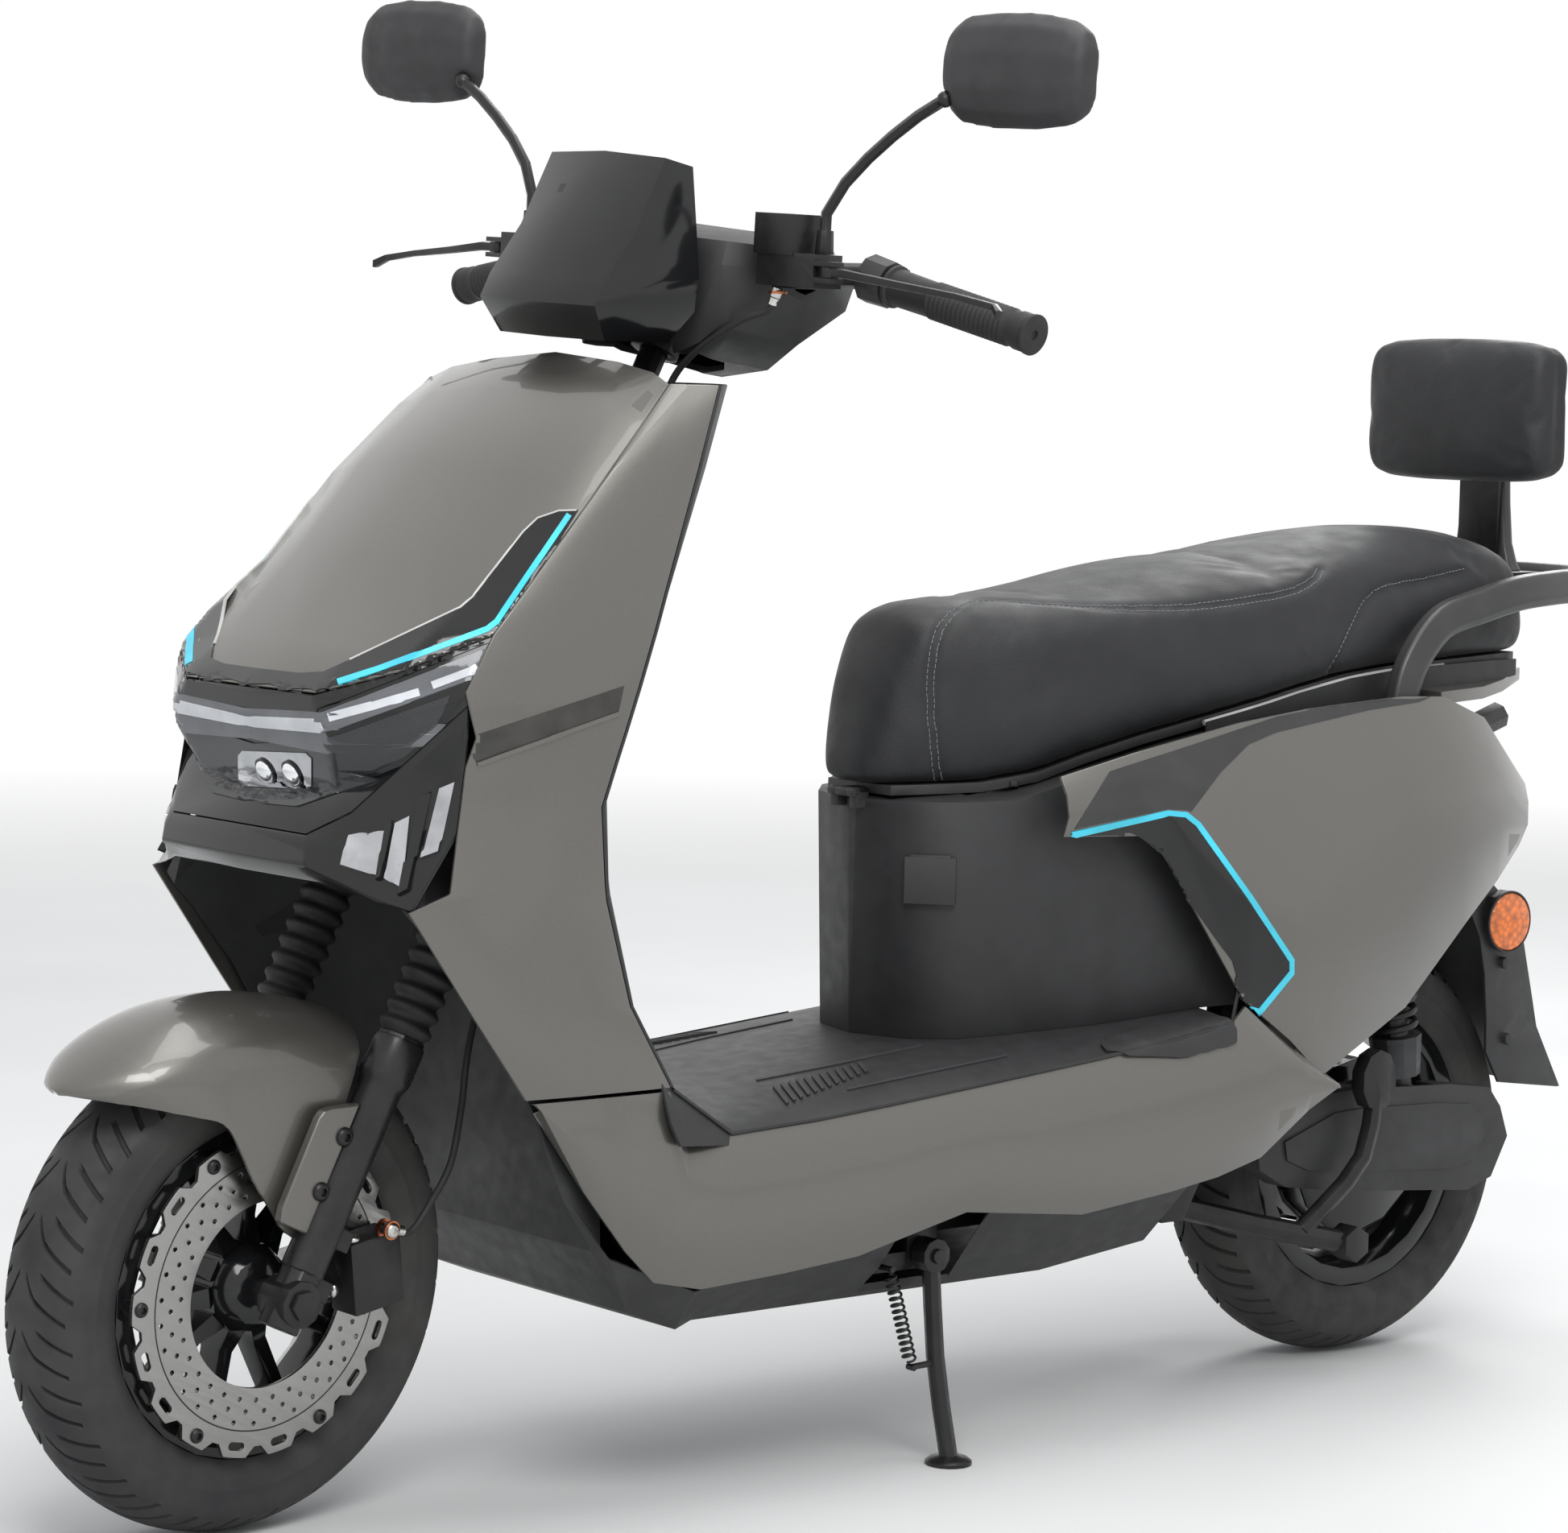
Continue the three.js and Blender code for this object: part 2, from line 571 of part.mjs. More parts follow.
// [z, x, y] up the front and the rear edge of the side panel
const frontEdgeShares = [[36.9, 113.3, 19.7], [44, 118.5, 19.5], [52.7, 124.7, 19.3], [54, 120.8, 19.3],
  [60.4, 120, 19.4], [64, 119.6, 19.5], [66.4, 119.2, 20.3], [70, 120.3, 20.3], [74.5, 117.5, 20],
  [77.5, 114.7, 19.8], [87.7, 105, 18.7], [94.5, 98.3, 17.2]];
const rearEdgeShares = [[36.9, 99.1, 20.3], [44, 103.5, 20.3], [52.7, 106.1, 20.3], [54, 106.3, 20.3],
  [60.4, 106.8, 20.3], [64, 105.5, 20.3], [66.4, 104.6, 20.3], [70, 103.3, 20.3], [74.5, 101.7, 20.2],
  [77.5, 100.7, 20.1], [87.7, 97.1, 19.6], [94.5, 94.9, 19.3]];
// [share of the way back, bulge]
const sideBulgeShares = [[0, 0], [0.35, 0.25], [0.7, 0.18], [1, 0]];

function shieldSide() {
  const rows = frontEdgeShares.map(([z, x, y], i) => {
    const [, rearX, rearY] = rearEdgeShares[i];
    return sideBulgeShares.map(([way, bulge]) => at(x + (rearX - x) * way, y + (rearY - y) * way + bulge, z));
  });
  return sheet(rows, spot(0, -wall, 0));
}

// The last point of each hood, lamp and cowl row lies against the inside of the side panel's front edge
function frontRow([inner, edgeHeight], drop = 0) {
  const [x, y] = readEdge(frontEdgeShares, edgeHeight);
  const edge = at(x, y, edgeHeight).add(spot(0, -wall - fit, 0));
  return bothSides([...places(inner), edge].map((p) => p.add(spot(0, 0, -drop))));
}
const hoodShares = [
  [[[97.4, 0, 96.9], [97.6, 9, 96.2], [98, 14.4, 95.4]], 94.5],
  [[[104, 0, 94], [103.6, 9.4, 93.2], [102.9, 15.2, 92.1]], 90.8],
  [[[111.2, 0, 87.7], [110.6, 9.6, 87.1], [109.1, 16, 86.2]], 85.3],
  [[[117.9, 0, 79.8], [117.3, 9.6, 79.2], [115.5, 16.4, 78.8]], 79],
  [[[123.8, 0, 73.1], [123.3, 9.6, 73.1], [121, 16.8, 74.3]], 75.4],
  [[[127.7, 0, 69.5], [127.5, 9.6, 69.5], [124.1, 16, 71.5]], 74.6]];
const lampShares = [
  [[[127.7, 0, 67], [127.6, 11.2, 67], [124.1, 16.4, 68.9]], 72.3],
  [[[127.2, 0, 65.3], [127.1, 11.4, 65.3], [123.6, 16.8, 67.2]], 70.3],
  [[[125.4, 0, 61.6], [125.4, 10, 61.6], [122.5, 16, 64.3]], 69.6],
  [[[128.4, 0, 58.3], [128.4, 10, 58.3], [126.2, 13, 60.2]], 69]];
const cowlShares = [
  [[[128.6, 0, 57], [128.9, 10.6, 57], [124.9, 15, 58.5]], 64],
  [[[129, 0, 55.7], [129, 10.8, 55.8], [124.5, 16, 55.3]], 58.9],
  [[[128, 0, 54.5], [127.7, 10.8, 54.5], [125.4, 16, 53.4]], 52.8]];
const lampDepth = 34;
const hoodLip = 0.6 * wall;

const frontPanel = () => sheet(hoodShares.map((row) => frontRow(row)), spot(-wall, 0, -hoodLip));
const headlamp = () =>
  sheet([frontRow(hoodShares[hoodShares.length - 1], hoodLip + fit),
    ...lampShares.map((row) => frontRow(row))],
    spot(-lampDepth, 0, 0));
function lowerCowl() {
  const skin = sheet([frontRow(lampShares[lampShares.length - 1], fit),
    ...cowlShares.map((row) => frontRow(row))],
    spot(-wall, 0, -hoodLip));
  return skin;
}

// Leg shield on the rider's side, humped over the steering head
const humpShares = [[36.9, 94.2], [44, 95.5], [52.7, 96.8], [54, 97], [60.4, 97], [64, 96.3], [66.4, 95.5],
  [70, 94],
  [74.5, 92], [77.5, 91], [87.7, 86.5], [94.5, 84]];
// [share of the width, share of the hump]
const humpAcrossShares = [[0, 1], [0.3, 0.9], [0.6, 0.6], [0.8, 0.33], [1, 0]];
function shieldRow(z, drop = 0) {
  const [edgeX, edgeY] = readEdge(rearEdgeShares, z);
  const hump = readTable(humpShares, z);
  return bothSides(humpAcrossShares.map(([width, share]) =>
    at(edgeX + (hump - edgeX) * share, edgeY * width, z).add(spot(-wall - fit, 0, -drop))));
}
const legShield = () => sheet(rearEdgeShares.map(([z]) => shieldRow(z)).reverse(), spot(wall, 0, 0));

// Floor: [x, edge height, middle height], from the leg shield to under the seat
const deckShares = [[91.5, 32.4, 33.8], [82, 32.8, 34.4], [74, 33.4, 35.2], [62, 34.4, 36.3],
  [49.2, 35.5, 37.4],
  [40, 36.4, 38.2], [33, 37.4, 38.6]];
const deckEdgeY = 19;
const deckAcrossShares = [[0, 1], [0.3, 0.98], [0.6, 0.85], [0.8, 0.5], [1, 0]];
const deckHeight = (x, y) => {
  const table = deckShares.slice().reverse();
  const edge = readTable(table, x);
  const middle = readTable(table.map(([place, , height]) => [place, height]), x);
  return edge + (middle - edge) * readTable(deckAcrossShares, Math.abs(y) / deckEdgeY);
};
const deckRow = (x) => bothSides(deckAcrossShares.map(([width]) => at(x, deckEdgeY * width,
  deckHeight(x, deckEdgeY * width))));
const floorDeck = () =>
  sheet([shieldRow(rearEdgeShares[0][0], fit), ...deckShares.map(([x]) => deckRow(x))], spot(0, 0, -wall));

// Lower side: [x, z, y] of its top edge and [x, z] of its bottom edge
const sillTopShares = [[112.8, 36.9, 19.7], [106, 36.9, 20], [99.2, 36.9, 20.3], [96, 32.1, 18.8],
  [91.5, 32.4, 18.8],
  [82, 32.8, 18.8], [74, 33.4, 18.8], [62, 34.4, 18.8], [49.2, 35.5, 18.8], [40, 36.4, 18.8],
    [33, 37.4, 18.6],
  [31.2, 38.9, 18.5], [25, 34.7, 18.3], [20, 30.9, 17.6]];
const sillBottomShares = [[111.5, 35.5], [106.4, 28.6], [102, 23.2], [99, 20.3], [94, 19.2], [85, 19.6],
  [76.9, 20.2],
  [64.6, 22.8], [50.8, 21.2], [40, 22.2], [34, 23], [28.5, 24.3], [23.5, 27.5], [19.6, 30]];
// [share of the height, place across]
const sillHeightShares = [[0, 0], [0.25, 19.8], [0.65, 19.9], [1, 18.4]];
const bellyY = 18.4;
function lowerSide() {
  const rows = sillTopShares.map(([x, z, y], i) => {
    const [lowX, lowZ] = sillBottomShares[i];
    return sillHeightShares.map(([way, bulge]) =>
      at(x + (lowX - x) * way, y + (bulge - y) * (way ? 1 : 0), z + (lowZ - z) * way)
        .add(spot(0, 0, way ? 0 : -wall - fit)));
  });
  return sheet(rows, spot(0, -wall, 0));
}

// Belly pan with the front wheel's liner: [x, z, y] of the corner and [x, z, y] of the outer lip
const linerShares = [
  [[94, 15.2, 15], [94.2, 18.9, 17.8]], [[100, 17.5, 16], [103, 22.5, 17.6]],
    [[103.5, 23, 16.5], [108, 28, 17.6]],
  [[104, 33, 16.5], [111, 35, 17.6]], [[103, 40, 15], [115, 40.5, 18.2]], [[101.8, 49, 12], [117, 44, 18.6]],
  [[102.5, 57, 12], [119, 46.5, 18.6]], [[110, 58.6, 13], [121, 49, 18.4]],
    [[119, 58, 13.5], [123, 51, 18.4]],
  [[124.5, 55, 14.5], [124, 52.2, 18]]];
const bellyShares = [[37, 16.4], [50, 15], [65, 15], [77, 15], [90, 15]];
const bellyLap = 1.5;

const bellyHalf = 12;
const steerHole = 76;
const standSlotShares = [[61.5, 12.6, 13], [72.2, 22, 24.2]];
function underTray() {
  const sill = sillBottomShares.slice().reverse();
  const lip = (x) => at(x, bellyY, readTable(sill, x)).add(spot(0, -wall - fit, bellyLap));
  const belly = bellyShares.map(([x, z]) => bothSides([at(x, 0, z), at(x, bellyHalf, z), lip(x)]));
  const liner = linerShares.map(([corner, lip]) =>
    bothSides([at(corner[0], 0, corner[1]), at(corner[0], corner[2], corner[1]),
      at(lip[0], lip[2], lip[1])]));
  const skin = sheet([...belly, ...liner], -wall);
  const hole = rod(axisPoint(headTubeBottom - steerHole), axisPoint(headTubeTop), steerHole, steerHole);
  const legSwing = Math.hypot(legHalfSpacing, forkOffset) + yokeLegRadius + wall;
  const yokeRoom = rod(axisPoint(yokeBottom - wall), axisPoint(yokeBottom + yokeHeight + wall), legSwing,
    legSwing, wheelSides);
  const [low, high] = places(standSlotShares);
  return cut(skin, hole, yokeRoom, block(low, high));
}
// A point on the steering axis at a height along the fork
function axisPoint(height, aside = 0, ahead = 0) {
  const x = ahead - forkOffset;
  return spot(wheelbase + x * Math.cos(rake) - height * Math.sin(rake), aside,
    tyreRadius + x * Math.sin(rake) + height * Math.cos(rake));
}

// Rear side panel: [x, z, y] along its top and along its bottom, from the floor to the tail
const rearTopShares = [[52.2, 60.3, 15.5], [44, 62.2, 16.2], [40.6, 62.9, 16.5], [31.5, 64.6, 17],
  [23, 65.6, 17],
  [17, 66, 17], [10, 66.4, 16.9], [4, 66.2, 16.5], [-4, 63.8, 14.5], [-14.8, 56.6, 10.4]];
const rearBottomShares = [[52, 54.9, 15.8], [43.6, 54.7, 16.8], [40.6, 52.8, 17], [31.5, 39.2, 18.5],
  [25, 34.9, 18.3],
  [20, 31.1, 17.6], [6.8, 36.4, 15.6], [-1.9, 43.7, 14.8], [-9, 47.5, 12.5], [-14.5, 50.4, 10.2]];
const rearHeightShares = [[0, 0], [0.3, 0.7], [0.65, 0.9], [1, 0]];
const rearSideRows = () => rearTopShares.map(([x, z, y], i) => {
  const [lowX, lowZ, lowY] = rearBottomShares[i];
  return rearHeightShares.map(([way, bulge]) =>
    at(x + (lowX - x) * way, y + (lowY - y) * way + bulge, z + (lowZ - z) * way));
});
const rearSide = () => sheet(rearSideRows(), spot(0, -wall, 0));

// Seat box: a tapering hollow box that is open below, with the luggage tub let into its top
const boxPlanShares = [[28, 15], [33, 15], [45, 13.6], [54, 11.6], [59, 9.6], [62.4, 6], [63.8, 0]];
const boxMiddleX = 46;
const boxFloor = 35.4;
const boxTaper = 0.042;
const rimFront = 57.6;
const rimShares = [[28, 64.2], [32, 63.4], [45, 60.4], [51, 58.6], [54, 57.9], [64, rimFront]];
const rimZ = (x) => readTable(rimShares, x);
const ledge = 0.5;
const tubShares = [31, 57, 8.2, 47];
function seatBox() {
  const nose = boxPlanShares.length - 1;
  const plan = [...boxPlanShares, ...boxPlanShares.slice(0, nose).reverse().map(([x, y]) => [x, -y])];
  const ring = (shrink, height) => plan.map(([x, y]) =>
    at(boxMiddleX + (x - boxMiddleX) * shrink, y * shrink, height(x)));
  const thin = 1 - (2 * wall) / (boxPlanShares[0][1] * across);
  const body = loft([ring(1 - boxTaper, () => boxFloor), ring(1, rimZ)]);
  const hollow = loft([ring(thin * (1 - boxTaper), () => boxFloor - ledge),
    ring(thin, (x) => rimZ(x) - ledge)]);
  const [rear, front, half, floor] = tubShares;
  const tub = (inset, low, rise) => {
    const [x0, x1, y] = [rear * along + inset, front * along - inset, half * across - inset];
    const base = [[x0, -y], [x1, -y], [x1, y], [x0, y]];
    return loft([base.map(([x, w]) => spot(x, w, floor * up + low)),
      base.map(([x, w]) => spot(x, w, rimZ(x / along) * up + rise))]);
  };
  const seatRows = seatShares.map(([x, , low]) => bothSides([at(x, 0, low),
    at(x, boxPlanShares[0][1] + 1, low)])
    .map((p) => p.add(spot(0, 0, -seatPanDepth - 2 * fit))));
  const deckRows = [...deckShares.map(([x]) => x),
    boxPlanShares[0][0] - 1].map((x) => deckRow(x).map((p) => p.add(spot(0, 0, fit))));
  const shell = cut(join(cut(body, hollow), tub(0, 0, 0)), tub(wall, wall, 2 * overrun),
    sheet(seatRows, spot(0, 0, 4 * seatPanDepth)),
    sheet(deckRows, spot(0, 0, -seatHeight / 8)));
  return join(shell, knuckles(1), knuckles(-1));
}

// The seat's hinge at the nose: two knuckles on the box, one with the pin on the seat
const seatHinge = [64.4, 58.2];
const knuckleRadius = 4.5;
const knuckleHalf = 8;
const knuckleEnd = 18;
const seatPin = 2.5;
const hingeAt = (y) => at(seatHinge[0], 0, seatHinge[1]).setY(y);
const boxLugShares = [63, 56.8];
const seatLugShares = [62, 58.1];
const seatLugDepth = 5;
function knuckles(side) {
  const [near, far] = [side * (knuckleHalf + fit), side * knuckleEnd];
  const [x, z] = boxLugShares;
  const lug = block(at(x, 0, z).setY(near), hingeAt(far).add(spot(0, 0, -fit)));
  return cut(join(rod(hingeAt(near), hingeAt(far), knuckleRadius, knuckleRadius), lug),
    rod(hingeAt(near - side * overrun), hingeAt(far + side * overrun), seatPin + fit, seatPin + fit));
}

// Charging cap on the facet to the left of the seat box's nose
const capWidth = 46;
const capHeight = 42;
const capThickness = 5;
const capUp = 50.7;
const [capRear, capFront] = [boxPlanShares[4], boxPlanShares[5]];
const capLevel = boxTaper * (1 - (capUp - boxFloor) / (rimFront - boxFloor));
const capScale = (x) => boxMiddleX + (x - boxMiddleX) * (1 - capLevel);
const facetStart = at(capScale(capRear[0]), capRear[1] * (1 - capLevel), capUp);
const facetEnd = at(capScale(capFront[0]), capFront[1] * (1 - capLevel), capUp);
const facetAngle = Math.atan2(facetStart.y - facetEnd.y, facetEnd.x - facetStart.x);
const capGap = 1;
function chargeCap() {
  const face = new THREE.BoxGeometry(capThickness, capWidth, capHeight);
  const hinge = rod(spot(0, -capWidth / 2 + capThickness, capHeight / 2),
    spot(0, capWidth / 2 - capThickness, capHeight / 2),
    capThickness / 2, capThickness / 2, smallSides);
  return join(face, hinge);
}

// Tail wing between the side panels behind the seat: [x, half width, edge height, middle height]
const wingShares = [[4, 16.17, 66.6, 66.8], [-5, 13.4, 66.7, 67.2], [-10, 11.3, 67.1, 67.7],
  [-15, 9, 68, 68.2]];
const wingDepth = 12;
const wingAcrossShares = [[0, 1], [0.6, 0.85], [1, 0]];
const tailWing = () => sheet(wingShares.map(([x, half, edge, middle]) =>
  bothSides(wingAcrossShares.map(([width, rise]) => at(x, half * width, edge + (middle - edge) * rise)))),
spot(0, 0, -wingDepth));

// Tail lamp between the tails of the side panels
const tailShares = [[-14.3, 10.02, 50.6], [-14.3, 10.02, 56.4], [-12, 10.02, 56.8], [-12, 10.02, 50.2]];
const lampBulge = 1.2;
function tailLamp() {
  const ring = (share) => tailShares.map(([x, half, z],
    i) => at(x - (i < 2 ? lampBulge * (1 - share * share) : 0), half * share, z));
  return loft([-1, -0.6, 0, 0.6, 1].map(ring));
}

// Rear mudguard: a blade down behind the tyre with side lips, and a round reflector on each side
const guardShares = [
  [[-9.5, 49.3], [-8, 47]], [[-13.5, 47], [-9.6, 44.6]], [[-17.3, 43.9], [-11.5, 41.2]],
    [[-19.3, 40.2], [-12.4, 37.5]],
  [[-20.6, 35.5], [-12.9, 33]], [[-21.7, 31.4], [-13, 29.6]], [[-25.5, 25], [-15, 26.4]]];
const guardHalf = 7;
const guardLip = 8.2;
const reflectorPlace = [-15.1, 42.6];
const reflectorRadius = 31;
const guardBolts = [[-15.2, 38.4], [-16, 30.7]];
function rearMudguard() {
  const skin = sheet(guardShares.map(([[x, z], [lipX, lipZ]]) =>
    bothSides([at(x, 0, z), at(x, guardHalf, z), at(lipX, guardLip, lipZ)])), -wall);
  const [x, z] = reflectorPlace;
  const sides = [1, -1].flatMap((side) => {
    const face = side * guardLip * across;
    return [rod(at(x, 0, z).setY(face - side * 3 * wall), at(x, 0, z).setY(face + side * wall),
      reflectorRadius, reflectorRadius),
      ...guardBolts.map(([bx, bz]) => rod(at(bx, 0, bz).setY(face - side * 3 * wall),
        at(bx, 0, bz).setY(face + side * wall),
        2 * wall, 2 * wall, smallSides))];
  });
  return join(skin, sides);
}

// Grab rail with the post of the backrest
const railRadius = 10;
const railShares = [[8.4, 14.5, 62.6], [8, 14.5, 67.5], [3, 14.5, 73], [-8, 14.2, 75.5], [-19, 11.8, 76],
  [-25.6, 6.5, 76],
  [-27, 0, 76]];
const railFoot = 62.2;
const postDepth = 6;
const postShares = [[-18, -2.6, 76.4], [-18, 2.6, 92]];
const postPadShares = [[-18, -7, 89], [-18, 7, 97]];
const postArmShares = [[-27, -2.4, 76], [-18.3, 2.4, 77]];
function grabRail() {
  const left = places(railShares);
  const right = left.slice(0, -1).reverse().map((p) => p.clone().setY(-p.y));
  const postFace = padMiddle[0] * along - padDepth - fit;
  const plates = [postShares, postPadShares].map((corners) => {
    const [low, high] = places(corners);
    return block(low.setX(postFace - postDepth), high.setX(postFace));
  });
  const boxes = [...plates, block(...places(postArmShares))];
  const foot = (p) => rod(p.clone().setZ(railFoot * up), p.clone().setZ(railFoot * up + 2 * wall),
    2 * railRadius, 2 * railRadius);
  return join(tube([...left, ...right], railRadius, 14), boxes, foot(left[0]), foot(right[right.length - 1]));
}

// Backrest cushion: [share of half width, depth share, height share]
const padMiddle = [-15.2, 93.2];
const padHalf = 11.8;
const padDepth = 27;
const padHeight = 71;
const padShares = [[-1, 0.45, 0.72], [-0.96, 0.7, 0.86], [-0.88, 0.86, 0.94], [-0.84, 0.8, 0.93],
  [-0.78, 0.94, 0.97],
  [-0.4, 1, 1], [0, 1, 1], [0.4, 1, 1], [0.78, 0.94, 0.97], [0.84, 0.8, 0.93], [0.88, 0.86, 0.94],
    [0.96, 0.7, 0.86], [1, 0.45, 0.72]];
const padRingShares = [[1, 0], [0.97, 0.55], [0.83, 0.8], [0.8, 0.84], [0.7, 0.93], [0.2, 1], [-0.6, 0.98],
  [-1, 0.9], [-1, 0]];
function backrestCushion() {
  const [x, z] = padMiddle;
  const ring = [...padRingShares, ...padRingShares.slice(1, -1).reverse().map(([u, w]) => [u, -w])];
  return loft(padShares.map(([side, depth, height]) => ring.map(([u, w]) =>
    at(x, padHalf * side, z).add(spot(u * padDepth * (u < 0 ? 1 : depth), 0, w * padHeight * height)))));
}

// Seat: [x, half width, underside height, top height] from the nose to the tail
const seatShares = [[64.8, 2.4, 58.9, 60.8], [62.6, 5, 59, 69], [60, 6.6, 59.1, 74.1],
  [57.6, 7.8, 59.2, 75.1],
  [54.9, 9, 59.3, 75.4], [50, 11.3, 60.2, 75.6], [45, 12.4, 61.8, 75.9], [39, 13.2, 63.3, 76.7],
    [32, 14.2, 64.8, 77.8],
  [26, 14.9, 66.1, 78.6], [22.9, 14.9, 66.7, 78.9], [22, 14.6, 66.9, 77.6], [21.1, 14.8, 67.1, 79],
    [13, 13.7, 68.3, 80.2],
  [6, 13.1, 68.9, 81], [-1.1, 12.6, 69.2, 81.5], [-8, 12, 69.5, 81.2], [-10.6, 11.6, 69.6, 80.8],
    [-11.4, 11.2, 69.6, 79.6],
  [-12.2, 11.2, 69.6, 80.3], [-14.5, 9.6, 69.6, 78.8], [-15.7, 7.5, 69.6, 75.4], [-16.3, 4.8, 69.7, 71.6]];
// [share of half width, share of height] round one half of the section
const seatRingShares = [[0, 0], [0.86, 0], [0.97, 0.08], [1, 0.3], [0.955, 0.5], [0.935, 0.53],
  [0.945, 0.57], [0.9, 0.8],
  [0.74, 0.93], [0.4, 0.985], [0, 1]];
const seatPanDepth = 9;
const seatPanShare = 0.88;
const seatPanEnds = [1, seatShares.length - 2];
function seatCushion() {
  const ring = [...seatRingShares, ...seatRingShares.slice(1, -1).reverse().map(([u, w]) => [-u, w])];
  return loft(seatShares.map(([x, half, low, high]) => ring.map(([u, w]) => at(x, half * u,
    low + (high - low) * w))));
}
const seatStopShares = [[52, 8.9], [34, 10.6]];
const seatLowTable = seatShares.map(([x, , low]) => [x, low]).reverse();
function seatBase() {
  const rows = seatShares.slice(...seatPanEnds).map(([x, half, low]) =>
    bothSides([at(x, 0, low), at(x, seatPanShare * half, low)]).map((p) => p.add(spot(0, 0, -fit))));
  const stops = [1, -1].flatMap((side) => seatStopShares.map(([x, y]) =>
    rod(at(x, side * y, readTable(seatLowTable, x)).add(spot(0, 0, -seatPanDepth - fit)),
      at(x, side * y, readTable(seatLowTable, x)).add(spot(0, 0, -seatPanDepth / 2)), 2 * wall, 2 * wall,
        smallSides)));
  const [x, z] = seatLugShares;
  const tongue = block(at(x, 0, z).setY(-knuckleHalf), hingeAt(knuckleHalf).setZ(z * up + seatLugDepth));
  const knuckle = rod(hingeAt(-knuckleHalf), hingeAt(knuckleHalf), knuckleRadius, knuckleRadius);
  const pin = rod(hingeAt(-knuckleEnd), hingeAt(knuckleEnd), seatPin, seatPin);
  return join(sheet(rows, spot(0, 0, -seatPanDepth)), stops, tongue, knuckle, pin);
}

// Frame
const railTube = 14;
const braceTube = 11;
const backboneShares = [[102.8, 0, 56], [100, 0, 52.3], [98.9, 0, 47], [98.5, 0, 40], [98, 0, 32],
  [96.5, 0, 25], [94.5, 0, 21.2]];
const floorRailShares = [[95.5, 11, 21.2], [80, 11.5, 21.2], [50, 11.5, 21.2], [35, 11.5, 21.2],
  [29.5, 11.4, 25], [26, 10.8, 42],
  [20, 10.4, 49], [10, 10, 55.8], [-3, 9, 60.5], [-13, 8, 63.2]];
const tailCross = [-9.8, 62.4];
const crossShares = [[94.5, 21.2, 11], [79, 21.2, 11.5], [50, 21.2, 11.5], [...tailCross, 8.3]];
const postRadius = 9;
const deckPostShares = [[80, 11.5, 21.2], [50, 11.5, 21.2]];
const panelStudShares = [[20, 10.4, 49], [-3, 9, 60.5]];
const railMountShares = [8.4, 9.9, 56.4];
const hangerHalf = 20;
const hangerDepth = 10;
const stayRadius = 8;
const lampStayShares = [123.2, 65];
const shockTabDepth = 4.5;
const shockTabShares = [1.4, 50.5, 57.5];
// What the frame holds out to the panels, the floor, the tail and the grab rail
function frameBrackets() {
  const posts = [1, -1].flatMap((side) => deckPostShares.map(([x, y, z]) => {
    const under = deckHeight(x + postRadius / along, y + postRadius / across) * up - wall - fit;
    return rod(at(x, side * y, z), at(x, side * y, z).setZ(under), postRadius, postRadius, smallSides);
  }));
  const hanger = block(at(tailCross[0], 0,
    guardShares[0][0][1]).add(spot(-hangerDepth / 2, -hangerHalf, fit)),
    at(tailCross[0], 0, wingShares[1][3]).add(spot(hangerDepth / 2, hangerHalf, -wingDepth + 2 * fit)));
  const foot = railShares[0];
  const railMounts = [1, -1].map((side) => {
    const seat = at(foot[0], side * foot[1], railFoot).add(spot(0, 0, -fit));
    const below = seat.clone().add(spot(0, 0, -2 * wall));
    const from = at(railMountShares[0], side * railMountShares[1], railMountShares[2]);
    return [rod(below, seat, 2 * railRadius, 2 * railRadius),
      rod(from, below, stayRadius, stayRadius, smallSides)];
  });
  const [halfX, tabLow, tabHigh] = shockTabShares;
  const tabs = [-1, 1].map((side) => {
    const near = shockTop[1] * across + side * (shockEyeHalf + fit);
    return block(at(shockTop[0] - halfX, 0, tabLow).setY(near),
      at(shockTop[0] + halfX, 0, tabHigh).setY(near + side * shockTabDepth));
  });
  const pinReach = shockEyeHalf + fit + shockTabDepth;
  const shockBolt = rod(at(...shockTop).add(spot(0, -pinReach, 0)),
    at(...shockTop).add(spot(0, pinReach, 0)), shockPin, shockPin);
  const stayHeight = (lampStayShares[1] * up - tyreRadius + forkOffset * Math.sin(rake)) / Math.cos(rake);
  const stay = rod(axisPoint(stayHeight, 0, (headBore + headTubeRadius) / 2),
    at(lampStayShares[0], 0, lampStayShares[1]), stayRadius, stayRadius, smallSides);
  return [posts, hanger, railMounts.flat(), tabs, shockBolt, stay].flat();
}
// Studs from the rails out to the side panels, trimmed to the panels' inner faces
function panelStuds() {
  const outside = sheet(rearSideRows().map((row) => row.map((p) => p.add(spot(0, -wall - fit, 0)))),
    spot(0, bodyHalfWidth, 0));
  const studs = panelStudShares.map(([x, y, z]) => cut(rod(at(x, y, z), at(x, 0, z).setY(bodyHalfWidth),
    postRadius, postRadius, smallSides), outside));
  return [...studs, ...studs.map(mirrored)];
}
const pivotPlace = [30, 25];
const pivotPin = 8;
const pivotPlateShares = [[27.6, 22.6], [30.6, 17.4], [33.4, 17.4], [34.5, 21.6], [31.5, 27.2], [28.4, 27.6]];
const pivotPlateY = 106;
const pivotPlateDepth = 12;
const shockTop = [4, 9.2, 52];
const shockBottom = [0.5, 9.2, 26.5];
const shockPin = 5;
const shockEyeHalf = 11;
const standPivot = [32, 18.7];
const sideStandPivot = [65.7, 15, 18.6];
const standPin = 6;
const sideStay = [[[64, 11.5, 17.8], [67.4, 13.8, 21.4]], [[66, 12.9, 17.2], [71.7, 13.6, 18.8]]];
